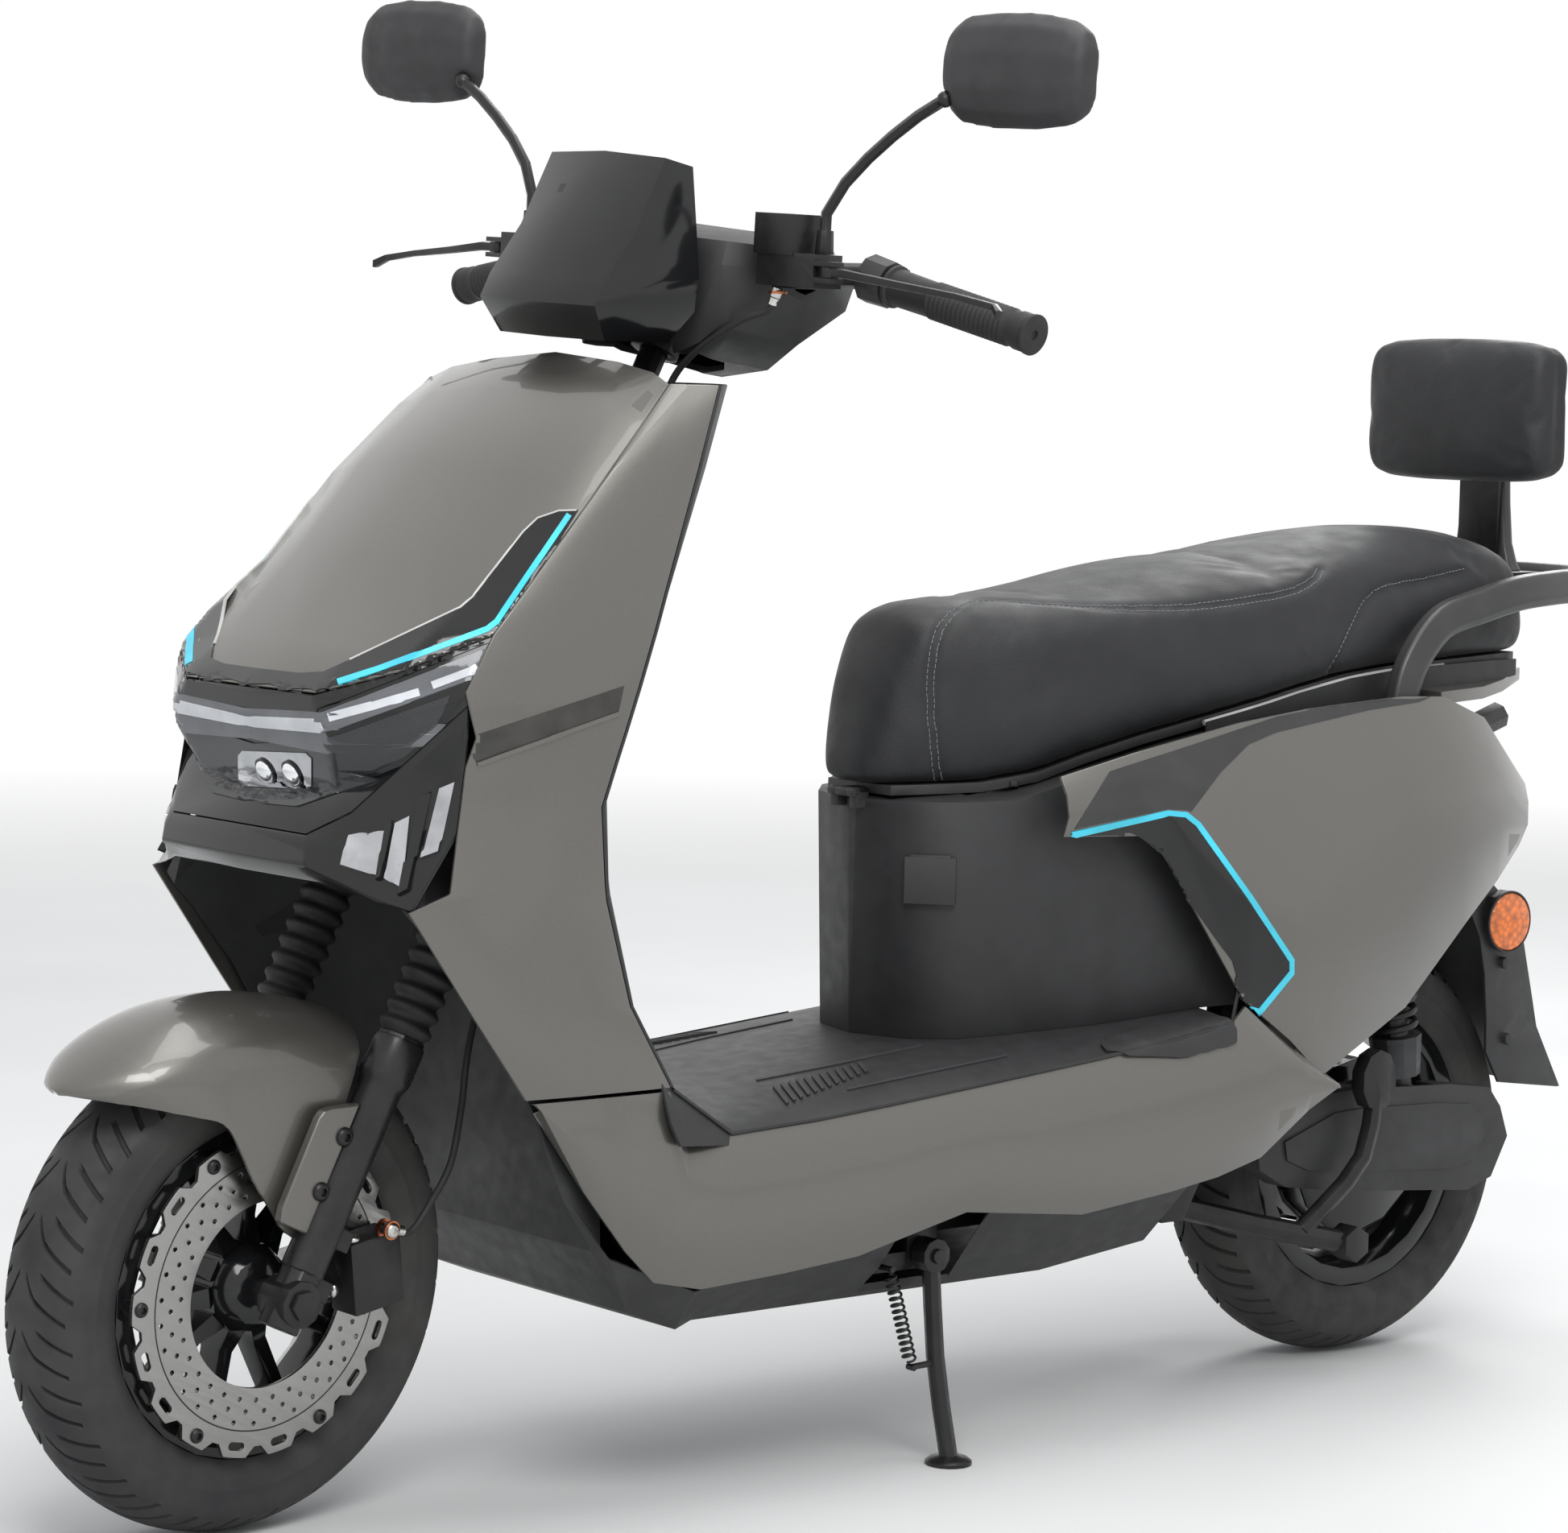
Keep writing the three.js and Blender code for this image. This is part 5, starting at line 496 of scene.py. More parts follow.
def film(name, outline, tree, finish, lift=LIFT, cell=6, both=True, relax=0):
    """A thin film over a surface, inside an outline in pixels, and its mirror image; relax evens it out over gaps."""
    bm = bmesh.new()
    bm.faces.new([bm.verts.new((x, y, 0)) for x, y in outline])
    bmesh.ops.triangulate(bm, faces=bm.faces)
    for axis in (0, 1):
        values = [p[axis] for p in outline]
        across = (1 - axis, axis, 0)
        place = min(values) + cell
        while place < max(values):
            bmesh.ops.bisect_plane(bm, geom=bm.verts[:] + bm.edges[:] + bm.faces[:], plane_no=across,
                                   plane_co=[place * n for n in across])
            place += cell
    bm.verts.index_update()
    hits = [cast(tree, v.co.x, v.co.y) for v in bm.verts]
    for _ in range(relax):
        near = [[hits[v.index]] + [hits[e.other_vert(v).index] for e in v.link_edges] for v in bm.verts]
        hits = [[sum((hit[k] for hit in group), Vector()) / len(group) for k in (0, 1)] for group in near]
    verts = [point + normal.normalized() * lift * MM for point, normal in hits]
    verts += [point - normal.normalized() * LIFT * MM for point, normal in hits]
    faces = [tuple(v.index for v in f.verts) for f in bm.faces]
    rim = [(e.verts[0].index, e.verts[1].index) for e in bm.edges if len(e.link_faces) == 1]
    bm.free()
    count = len(hits)
    faces += [tuple(count + k for k in reversed(face)) for face in faces]
    faces += [(a, b, count + b, count + a) for a, b in rim]
    piece(name, (verts, faces), finish, angle=50)
    if both:
        piece(name + "_right", ([flip(v) for v in verts], faces), finish, angle=50)


def band(points, width):
    """The outline of a line of even width, in pixels."""
    left, right = [], []
    for i, (x, y) in enumerate(points):
        ax, ay = points[max(i - 1, 0)]
        bx, by = points[min(i + 1, len(points) - 1)]
        length = math.hypot(bx - ax, by - ay)
        nx, ny = -(by - ay) / length * width / 2, (bx - ax) / length * width / 2
        left.append((x + nx, y + ny))
        right.append((x - nx, y - ny))
    return left + right[::-1]


# Tyres: an open carcass with a slanted tread, cut into the mesh. Stations run from the middle to the bead
RIM_FLANGE, RIM_BEAD = 140.3, 127.3
TREAD_PITCHES = 28
TREAD_DEPTH = 4.5
TREAD_COLUMNS = [(0, 0), (0.16, 0), (0.18, 1), (0.27, 1), (0.29, 0), (0.5, 0), (0.66, 0), (0.68, 2), (0.77, 2),
                 (0.79, 0)]  # [share of the pitch, groove]
TREAD_SPAN = {1: (5, 39), 2: (19, 43)}  # where each groove starts and ends
TREAD_KNEE, TREAD_SLANTS = 14, (1.9, 0.75)  # the grooves' slant inside and outside the knee
CROWN_BEND = 58
TREAD_STATIONS = [0, 4, 6, 11, 16, 18, 20, 26, 32, 38, 40, 42, 43.5]
SIDE_STATIONS = [(44.6, 180), (44.8, 172), (43.9, 166), (44.3, 164.5), (43.7, 163), (42.3, 154), (39.6, 146),
                 (37.6, 142), (36.3, RIM_FLANGE), (31.7, RIM_FLANGE), (31.7, RIM_BEAD), (24, RIM_BEAD), (30, 160),
                 (26, 191)]


def slant(y):
    return TREAD_SLANTS[0] * min(y, TREAD_KNEE) + TREAD_SLANTS[1] * max(y - TREAD_KNEE, 0)


def tyre(name, hub):
    rows = []
    for pitch in range(TREAD_PITCHES):
        for share, groove in TREAD_COLUMNS:
            low, high = TREAD_SPAN.get(groove, (1, 0))
            half = []
            for y in TREAD_STATIONS:
                radius = TYRE_RADIUS - (CROWN_BEND - math.sqrt(CROWN_BEND ** 2 - y * y))
                half.append((y, radius - (TREAD_DEPTH if low <= y <= high else 0), slant(y)))
            half += [(y, radius, slant(TREAD_STATIONS[-1])) for y, radius in SIDE_STATIONS]
            row = []
            for y, radius, shift in [(-y, r, s) for y, r, s in reversed(half[1:])] + half:
                turn = 2 * math.pi * (pitch + share) / TREAD_PITCHES + shift / TYRE_RADIUS
                row.append(spot(hub, radius * math.sin(turn), y, radius * math.cos(turn)))
            rows.append(row)
    piece(name, grid(rows), TYRE, BODY_OF[name], replaces=[name], angle=38)


# Brake disc: lobes, slots and staggered holes as one filled outline
DISC_OUTER, DISC_INNER = 135, 78
DISC_FACE, DISC_THICKNESS, DISC_EDGE = 52, 4, 0.25
DISC_PHASE = math.radians(94.5)
DISC_LOBES, LOBE_STEPS, LOBE_DEPTH = 18, 12, 9
LOBE_FLAT, LOBE_RAMP = 0.24, 0.18  # shares of a lobe
DISC_BOLTS, DISC_BOLT_CIRCLE, DISC_BOLT_RADIUS = 6, 126.8, 6.2
SLOT_STEPS, SLOT_WIDE, SLOT_ROUND, SLOT_STRAIGHT = 16, 3.8, 4, 4.6
DISC_ROWS = [(87.7, 32), (97.4, 32), (107.1, 32)]
DISC_HOLE = 2.4
DISC_GROOVE = [(113.6, -0.5), (113.6, 0.12), (112.4, 0.12), (112.4, -0.5)]


def circle(x, y, radius, count=10):
    return [(x + radius * c, y + radius * s) for c, s in turns(count)]


def disc_outlines():
    """The rim, the bore, a slot in each lobe without a bolt, and the holes."""
    rim = []
    for k in range(DISC_LOBES * LOBE_STEPS):
        share = (k / LOBE_STEPS + 0.5) % 1 - 0.5
        notch = min(max((abs(share) - LOBE_FLAT) / LOBE_RAMP, 0), 1)
        radius = DISC_OUTER - LOBE_DEPTH * notch * notch * (3 - 2 * notch)
        turn = DISC_PHASE + 2 * math.pi * k / LOBE_STEPS / DISC_LOBES
        rim.append((radius * math.cos(turn), radius * math.sin(turn)))
    outlines = [rim, circle(0, 0, DISC_INNER, 96)]
    slot = []
    for k in range(SLOT_STEPS):
        a = 2 * math.pi * (k + 0.5) / SLOT_STEPS
        slot.append((DISC_OUTER - LOBE_DEPTH + SLOT_WIDE * math.cos(a),
                     SLOT_STRAIGHT * math.copysign(1, math.sin(a)) + SLOT_ROUND * math.sin(a)))
    for i in range(DISC_LOBES):
        if i % (DISC_LOBES // DISC_BOLTS):
            turn = DISC_PHASE + 2 * math.pi * i / DISC_LOBES
            outlines.append([(u * math.cos(turn) - v * math.sin(turn), u * math.sin(turn) + v * math.cos(turn))
                             for u, v in slot])
    for row, (radius, count) in enumerate(DISC_ROWS):
        for i in range(count):
            turn = 2 * math.pi * (i + row / 2) / count
            outlines.append(circle(radius * math.cos(turn), radius * math.sin(turn), DISC_HOLE))
    return outlines


def brake_disc():
    curve = bpy.data.curves.new("disc_outline", "CURVE")
    curve.dimensions = "2D"
    curve.fill_mode = "BOTH"
    curve.extrude = (DISC_THICKNESS / 2 - DISC_EDGE) * MM
    curve.bevel_depth = DISC_EDGE * MM
    for outline in disc_outlines():
        spline = curve.splines.new("POLY")
        spline.points.add(len(outline) - 1)
        for point, (x, y) in zip(spline.points, outline):
            point.co = (x * MM, y * MM, 0, 1)
        spline.use_cyclic_u = True
    mesh = baked(placed("disc_outline", curve))
    middle = Matrix.Translation((0, (DISC_FACE - DISC_THICKNESS / 2) * MM, 0)) @ Matrix.Rotation(math.pi / 2, 4, "X")
    mesh.transform(FRONT_HUB @ middle)
    weld(mesh, mesh)
    adopt("wave_disc", mesh, DISC, "front_wheel_set", replaces=["brake_disc"])
    face = FRONT_HUB @ Matrix.Translation((0, DISC_FACE * MM, 0)) @ Matrix.Rotation(-math.pi / 2, 4, "X")
    piece("disc_ring", lathe(DISC_GROOVE, face, 96, True), STEEL_BLACK, "front_wheel_set")
    for i in range(DISC_BOLTS):
        turn = DISC_PHASE + 2 * math.pi * i / DISC_BOLTS
        place = spot(FRONT_HUB, DISC_BOLT_CIRCLE * math.cos(turn), DISC_FACE, DISC_BOLT_CIRCLE * math.sin(turn))
        bolt(f"disc_bolt_{i + 1}", place, FRONT_AXLE, DISC_BOLT_RADIUS, "front_wheel_set")


# Bolts: [share of the radius, share of the height]
BOLT_HEIGHT = 0.55  # share of the radius
BOLT_SUNK = 1.5
BOLT_HEAD = [(1, 0.25), (0.9, 0.62), (0.72, 0.9), (0.52, 1)]
BOLT_SOCKET = [(0.5, 1), (0.48, 0.35)]
BOLT_SIDES = 24


def bolt(name, place, axis, radius, body, finish=STEEL_BLACK):
    """A button head with a hexagon socket."""
    matrix = along(place, place + axis)
    tall = BOLT_HEIGHT * radius
    head = [(radius, -BOLT_SUNK)] + [(radius * r, tall * h) for r, h in BOLT_HEAD]
    rows = [[spot(matrix, r * c, r * s, h) for c, s in turns(BOLT_SIDES)] for r, h in head]
    for share, h in BOLT_SOCKET:
        row = []
        for k, (c, s) in enumerate(turns(BOLT_SIDES)):
            off_corner = (2 * math.pi * k / BOLT_SIDES) % (math.pi / 3) - math.pi / 6
            r = share * radius * math.cos(math.pi / 6) / math.cos(off_corner)
            row.append(spot(matrix, r * c, r * s, h * tall))
        rows.append(row)
    piece(name, closed(rows), finish, body, "black_steel", angle=30)


# Fork boots as ribbed bellows, and sliders
BOOT_LOW, BOOT_HIGH = 232.3, 367.7
BOOT_RIBS, BOOT_OUTER, BOOT_VALLEY, BOOT_BORE = 9, 22.5, 17.8, 14.8
BOOT_RIB = [(0.0, 0.0), (0.2, 0.35), (0.36, 0.9), (0.5, 1.0), (0.64, 0.9), (0.8, 0.35)]


def leg(side):
    return FRONT_HUB @ Matrix.Translation((0, side * LEG_SPACING * MM, 0))


def boots():
    length = BOOT_HIGH - BOOT_LOW
    profile = [(BOOT_BORE, BOOT_LOW)]
    for i in range(BOOT_RIBS):
        profile += [(BOOT_VALLEY + out * (BOOT_OUTER - BOOT_VALLEY), BOOT_LOW + (i + share) * length / BOOT_RIBS)
                    for share, out in BOOT_RIB]
    profile += [(BOOT_VALLEY, BOOT_HIGH), (BOOT_BORE, BOOT_HIGH)]
    for side, word in SIDES:
        name = f"fork_boot_{word}"
        made = piece(name + "_bellows", lathe(profile, leg(side), 36, True), RUBBER, "steering", replaces=[name],
                     angle=60)
        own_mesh(made)


# [radius, height] of the tube, its collar and the step under the boot
SLIDER_PROFILE = [(16.5, 24), (18.3, 26), (18.3, 186), (19.5, 190), (21.6, 194), (22.2, 197), (22.2, 224), (21.4, 228),
                  (16.5, 230)]


def sliders():
    for side, word in SIDES:
        piece(f"slider_tube_{word}", lathe(SLIDER_PROFILE, leg(side), ring=True), SATIN, "fork", angle=40)


# Springs
SHOCK_TOP, SHOCK_BOTTOM = at(40, 92, 520), at(5, 92, 265)
SPRING_START, SPRING_END = 30.3, 195.7
SPRING_RADIUS, SPRING_WIRE, SPRING_TURNS = 20.5, 3.4, 12
STAND_TOP, STAND_BOTTOM = at(711, 158, 180), at(683, 158, 90)
STAND_RADIUS, STAND_WIRE, STAND_TURNS, STAND_HOOK = 5.5, 1.2, 14, 3.3


def coil_path(start, end, radius, wire, coils, steps=20, hooked=False):
    """A coil between two points. A hooked one comes in to its axis at its ends."""
    matrix = along(start, end)
    length = (end - start).length / MM - 2 * wire
    path = []
    for i in range(coils * steps + 1):
        turn = 2 * math.pi * i / steps
        reach = radius * (min(1, 2 * min(i, coils * steps - i) / steps) if hooked else 1)
        path.append(spot(matrix, reach * math.cos(turn), reach * math.sin(turn), wire + length * i / (coils * steps)))
    return path


def springs():
    line = (SHOCK_BOTTOM - SHOCK_TOP).normalized()
    start, end = SHOCK_TOP + line * SPRING_START * MM, SHOCK_TOP + line * SPRING_END * MM
    path = coil_path(start, end, SPRING_RADIUS, SPRING_WIRE, SPRING_TURNS)
    made = piece("shock_coil", sweep(path, SPRING_WIRE), STEEL_BLACK, "shock_top", replaces=["shock_spring"], angle=60)
    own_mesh(made)
    way = (STAND_BOTTOM - STAND_TOP).normalized() * STAND_HOOK * MM
    path = coil_path(STAND_TOP + way, STAND_BOTTOM - way, STAND_RADIUS, STAND_WIRE, STAND_TURNS, 16, hooked=True)
    stand = piece("stand_coil", sweep(path, STAND_WIRE, 8), STEEL_BLACK, replaces=["side_stand_spring"], angle=60)
    loosen(stand)
    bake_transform(stand)


def loosen(made):
    """Frees a piece from its body, where it stands."""
    world = made.matrix_world.copy()
    made.parent = None
    made.matrix_world = world
    del made["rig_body"]


# Brake hose, along the route that the CAD hose takes: [along, aside, up] and [height, aside, ahead] by the stem
HOSE_RADIUS = 3
HOSE_LOW = [(1198, 89.5, 257), (1174, 90, 252), (1151, 89.5, 277), (1132, 88, 305), (1120, 84, 350), (1114, 82, 396)]
HOSE_STEM = [(330, 68, -34), (395, 50, -22), (450, 48, 0), (640, 48, 0), (800, 48, 0)]
HOSE_TOP = [(894, 49, 946), (886, 70, 976), (874, 110, 1004), (864, 134, 1016), (862, 140, 1035)]
FERRULE = [(3.3, 1), (5.2, 1), (5.2, 9), (4.4, 10), (4.4, 16), (3.3, 17)]


def hose():
    stem = [spot(HUB_AHEAD, ahead - FORK_OFFSET, aside, height) for height, aside, ahead in HOSE_STEM]
    points = [STEER @ p for p in [at(*p) for p in HOSE_LOW] + stem + [at(*p) for p in HOSE_TOP]]
    made = piece("hose_line", sweep(smooth_path(points, 8), HOSE_RADIUS, 14), RUBBER, "steering",
                 replaces=["brake_hose"], angle=60)
    loosen(made)
    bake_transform(made)
    for name, i, j, body in (("hose_sleeve_low", 0, 1, "fork"), ("hose_sleeve_top", -1, -2, "steering")):
        piece(name, lathe(FERRULE, along(points[i], points[j]), 20), BRIGHT, body)


# Soft parts
def remeshed(name, node, voxel, rounds, finish, body, slot):
    """A new mesh over a CAD solid, with even quads and softened edges."""
    mesh = bpy.data.meshes.new(name)
    weld(NODES[node].data, mesh)
    holder = placed(name + "_raw", mesh)
    quads = holder.modifiers.new("quads", "REMESH")
    quads.mode = "VOXEL"
    quads.voxel_size = voxel * MM
    soften = holder.modifiers.new("soften", "SMOOTH")
    soften.factor = 0.6
    soften.iterations = rounds
    return adopt(name, baked(holder), finish, body, slot, [node], angle=60)


CLOTH_PRESSURE, CLOTH_FRAMES = 4, 20
SEAM_HELD = 0.35  # nearness to a seam from which the cloth doesn't move
UNDERSIDE, UNDERSIDE_FADE = -0.7, 0.4  # where the normal's height counts as the flat underside


def plump(obj, cap, seams, pull=5.0, reach=11.0):
    """Swells a cushion with a short cloth simulation, held at its seams, and draws the seams in by pull over reach.
    No point swells by more than cap."""
    mesh = obj.data
    rest = np.array([v.co for v in mesh.vertices])
    normals = np.array([v.normal for v in mesh.vertices])
    apart = np.full(len(rest), 1e9)
    for seam in seams:
        for point in seam:
            apart = np.minimum(apart, np.linalg.norm(rest - np.array(point), axis=1))
    near = np.clip(1 - apart / (reach * MM), 0, 1)
    swelled = rest
    group = obj.vertex_groups.new(name="held")
    for i in np.nonzero((near > SEAM_HELD) | (normals[:, 2] < UNDERSIDE))[0]:
        group.add([int(i)], 1.0, "REPLACE")
    cloth = obj.modifiers.new("cloth", "CLOTH")
    cloth.settings.vertex_group_mass = "held"
    cloth.settings.use_pressure = True
    cloth.settings.uniform_pressure_force = CLOTH_PRESSURE
    cloth.settings.effector_weights.gravity = 0
    scene = bpy.context.scene
    for moment in range(1, CLOTH_FRAMES + 1):
        scene.frame_set(moment)
    evaluated = obj.evaluated_get(bpy.context.evaluated_depsgraph_get())
    swelled = np.array([v.co for v in evaluated.data.vertices])
    obj.modifiers.remove(cloth)
    scene.frame_set(1)
    obj.vertex_groups.remove(group)
    move = swelled - rest
    length = np.linalg.norm(move, axis=1)
    move *= np.minimum(1, cap * MM / np.maximum(length, 1e-9))[:, None]
    move *= np.clip((normals[:, 2] - UNDERSIDE) / UNDERSIDE_FADE, 0, 1)[:, None]
    move -= normals * (pull * MM * near * near)[:, None]
    move[:, 2] = np.where(normals[:, 2] < UNDERSIDE, 0, move[:, 2])
    mesh.vertices.foreach_set("co", (rest + move).astype(np.float32).ravel())
    mesh.update()
    finer = obj.modifiers.new("finer", "SUBSURF")
    finer.levels = 1
    finer.render_levels = 1


def resample(path, step):
    """Points at even steps along a path, with the direction at each."""
    made = []
    left = 0.0
    for a, b in zip(path, path[1:]):
        length = (b - a).length
        while left <= length:
            made.append((a.lerp(b, left / length), (b - a).normalized()))
            left += step * MM
        left -= length
    return made


def seam_points(tree, pixels):
    """A smooth line over a surface through pixels of the photograph."""
    flat = smooth_path([Vector((x, y, 0)) for x, y in pixels], 10)
    return [cast(tree, p.x, p.y)[0] for p in flat]


STITCH_STEP, STITCH_LENGTH, THREAD_RADIUS, THREAD_ARCH = 5.2, 3.6, 0.42, 0.35
STITCH_ROWS = [(-3.4, 3.4), (3.0,)]  # offsets from the nose's seams, and from the tail's
SEAT_SWELL = 5


def stitches(name, line, tree, body, rows):
    """Short threads beside a seam, laid on the surface."""
    parts = []
    for row in rows:
        for point, ahead in resample(line, STITCH_STEP):
            near, normal, _, _ = tree.find_nearest(point)
            side = normal.cross(ahead).normalized()
            ends = []
            for share in (-0.5, 0, 0.5):
                on, up, _, _ = tree.find_nearest(near + side * row * MM + ahead * share * STITCH_LENGTH * MM)
                ends.append(on + up * (THREAD_ARCH if share == 0 else 0.0) * MM)
            parts.append(sweep(ends, THREAD_RADIUS, 6))
    piece(name, merged(parts), THREAD, body, angle=60)


SEAT_NOSE_SEAM = [(1168, 990), (1162, 944), (1156, 874), (1159, 815), (1172, 772), (1199, 749), (1229, 744),
                  (1293, 748), (1381, 753), (1469, 753), (1545, 745), (1603, 734), (1631, 719), (1640, 705)]
SEAT_TAIL_SEAM = [(1650, 838), (1667, 810), (1685, 772), (1698, 748), (1722, 731), (1767, 722), (1819, 710)]


def seat():
    made = remeshed("seat_cover", "seat_cushion", 7, 14, LEATHER, "seat", "leather")
    tree = tree_of(made)
    lines = [seam_points(tree, SEAT_NOSE_SEAM), seam_points(tree, SEAT_TAIL_SEAM)]
    lines += [[flip(p) for p in line] for line in lines]
    plump(made, SEAT_SWELL, lines)
    done = tree_of(made)
    for i, line in enumerate(lines):
        settled = [done.find_nearest(p)[0] for p in line]
        stitches(f"seat_stitch_{i + 1}", settled, done, "seat", STITCH_ROWS[i % 2])


WELT_SHARE, WELT_BACK = 0.93, 8


def backrest():
    made = remeshed("backrest_cover", "backrest_cushion", 5, 12, LEATHER, "chassis", "leather")
    low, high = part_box("backrest_cushion")
    middle, half = (low + high) / 2, (high - low) / 2
    tree = tree_of(made)
    line = [tree.find_nearest(middle + Vector((-WELT_BACK * MM, WELT_SHARE * u * half.y, WELT_SHARE * v * half.z)))[0]
            for u, v in squircle(72, 5)]
    line.append(line[0])
    plump(made, SEAT_SWELL, [line], pull=3, reach=9)


# Grips, drawn straight ahead: their flange, their ribs as [share of a rib, radius], and their end cap as [radius,
# height from the end]
GRIP_START, GRIP_END = (787, 168, 1047), (778, 353, 1010)
GRIP_REACH = (0.18, 1.02)
GRIP_RIBS, GRIP_RIBS_START, GRIP_RIBS_SPAN = 17, 0.3, 0.55
GRIP_RIB = [(0.0, 15.2), (0.25, 16.3), (0.55, 16.3), (0.8, 15.2)]
GRIP_FLANGES = {"left": 18.2, "right": 20.5}
GRIP_BORE, GRIP_FLANGE_WIDE = 11.6, 3.2
GRIP_NECK, GRIP_SHOULDER = (15.8, 4.5), [(15.2, 0.88), (16.4, 0.9)]  # [radius, height], [radius, share of the length]
GRIP_CAP = [(16.4, -5), (15.8, -4.5), (17.2, -3.8), (17.4, -1), (16.2, 0), (4, -0.4), (4, -2), (GRIP_BORE, -2)]


def grips():
    for name, (side, word) in zip(("left_grip", "throttle_grip"), SIDES):
        ends = [at(p[0], side * p[1], p[2]) for p in (GRIP_START, GRIP_END)]
        start, end = (STEER @ ends[0].lerp(ends[1], share) for share in GRIP_REACH)
        length = (end - start).length / MM
        flange = GRIP_FLANGES[word]
        profile = [(GRIP_BORE, 0), (flange, 0), (flange, GRIP_FLANGE_WIDE), GRIP_NECK]
        for i in range(GRIP_RIBS):
            profile += [(out, length * (GRIP_RIBS_START + GRIP_RIBS_SPAN * (i + share) / GRIP_RIBS))
                        for share, out in GRIP_RIB]
        profile += [(radius, share * length) for radius, share in GRIP_SHOULDER]
        profile += [(radius, length + height) for radius, height in GRIP_CAP]
        piece(name + "_rubber", lathe(profile, along(start, end), 40), RUBBER, BODY_OF[name], replaces=[name], angle=50)


# Mirrors: rounded shells with their glass
MIRROR_ASIDE, MIRROR_UP = 370, 1221
GLASS_WIDE, GLASS_TALL = 67, 36
GLASS_RINGS = [(1, 816.5), (0.97, 814.8), (0.5, 814.8)]  # [share of the size, along]


def mirrors():
    for side, word in SIDES:
        name = f"mirror_{word}"
        remeshed(name + "_shell", name, 2.6, 9, MATTE_SOFT, BODY_OF[name], "mirror_shell")
        rows = [[STEER @ at(x, MIRROR_ASIDE * side + share * GLASS_WIDE * u, MIRROR_UP + share * GLASS_TALL * v)
                 for u, v in squircle(48, 4)] for share, x in GLASS_RINGS]
        piece(name + "_glass", closed(rows), GLASS, BODY_OF[name])


# Films on the panels, in pixels of the photograph
HOOD_BLACK = [(718, 634), (694, 635), (668, 644), (650, 661), (587, 742), (572, 755), (435, 820), (402, 835),
              (365, 837), (243, 820), (220, 846), (226, 862), (320, 879), (387, 880), (409, 874), (611, 798),
              (629, 779)]
HOOD_SILVER = [(716, 634.5), *HOOD_BLACK[1:7]]
HOOD_CYAN = [(420, 848), (470, 832), (605, 782), (617, 773), (707, 640)]
LAMP_BROW = [(224, 846), (318, 861), (388, 861), (412, 850), (600, 786), (608, 798), (409, 876), (387, 882),
             (320, 880), (226, 864)]
SIDE_BLACK = [(1330, 1038), (1450, 1010), (1473, 1012), (1488, 1025), (1552, 1114), (1604, 1192), (1604, 1208),
              (1537, 1288), (1519, 1254), (1530, 1236), (1535, 1211), (1530, 1194), (1455, 1091), (1434, 1060),
              (1416, 1041), (1386, 1037)]
SIDE_CYAN = [(1331, 1037), (1450, 1010), (1472, 1012), (1487, 1024), (1551, 1114), (1603, 1193), (1603, 1208),
             (1540, 1285)]
SIDE_UPPER = [(1334, 1030), (1378, 958), (1480, 925), (1585, 890), (1708, 865), (1785, 862), (1762, 872), (1700, 882),
              (1584, 910), (1550, 925), (1516, 959), (1479, 1008), (1472, 1006), (1450, 1005)]
SHIELD_CHANNEL = [(579, 917), (775, 852), (768, 884), (592, 947), (585, 938)]
SHIELD_LIP = [(592, 949), (768, 886)]
LIP_WIDTH, CYAN_WIDTH, SILVER_WIDTH = 5, 7, 2


def decals():
    hood = tree_over("front_panel")
    film("lamp_brow", LAMP_BROW, tree_over("headlamp"), GLOSS, 1.0)
    film("hood_band", HOOD_BLACK, hood, GLOSS, 1.0)
    film("hood_line", band(HOOD_SILVER, SILVER_WIDTH), hood, SILVER, 1.3)
    film("hood_stripe", band(HOOD_CYAN, CYAN_WIDTH), hood, CYAN, 1.5)
    side = tree_of(NODES["rear_side_left"])
    film("side_upper", SIDE_UPPER, side, UPPER)
    film("side_band", SIDE_BLACK, side, GLOSS, 1.0)
    film("side_stripe", band(SIDE_CYAN, CYAN_WIDTH), side, CYAN, 1.5)
    shield = tree_of(NODES["shield_side_left"])
    # The channel is painted shade on a film, darker than the panel; the lip below it is raised
    film("shield_painted_shade", SHIELD_CHANNEL, shield, CHANNEL_SHADE, 0.4)
    film("shield_lip", band(SHIELD_LIP, LIP_WIDTH), shield, PAINT, 1.8)


# Headlamp and the nose
LIGHT_BAR = [(219, 860), (328, 884), (402, 885), (617, 801), (612, 821), (591, 843), (420, 905), (387, 912),
             (309, 916), (229, 909), (203, 895)]
LIGHT_GUIDES = [[(218, 878), (300, 894), (392, 898)], [(409, 892), (465, 877), (521, 860)], [(537, 852), (593, 831)]]
GUIDE_WIDTH = 11
LAMP_WINDOW = [(234, 919), (310, 923), (390, 920), (425, 911), (560, 863), (540, 905), (505, 938), (465, 958),
               (420, 980), (380, 994), (300, 994), (264, 985), (252, 962)]
PROJECTOR = [(298, 937), (303, 931), (382, 934), (389, 941), (389, 974), (382, 982), (304, 978), (298, 971)]
PROJECTOR_BULBS = [(333, 956), (366, 959)]
PROJECTOR_DOME = [(10.5, 0), (10.5, 3), (9.8, 5), (7.6, 7), (4.5, 8.2), (1.2, 8.6)]
PROJECTOR_RING = [(12, -1), (12, 4), (10.6, 4), (10.6, -1)]
NOSE_FINS = [[(435, 1040), (481, 1031), (478, 1048), (468, 1088), (424, 1074), (428, 1056)],
             [(491, 1022), (509, 1013), (500, 1105), (478, 1092)], [(546, 979), (565, 971), (546, 1060), (524, 1068)]]
NOSE_BARS = [[(520, 993), (536, 985), (509, 1108), (497, 1114)], [(479, 1024), (488, 1019), (474, 1090), (468, 1094)]]


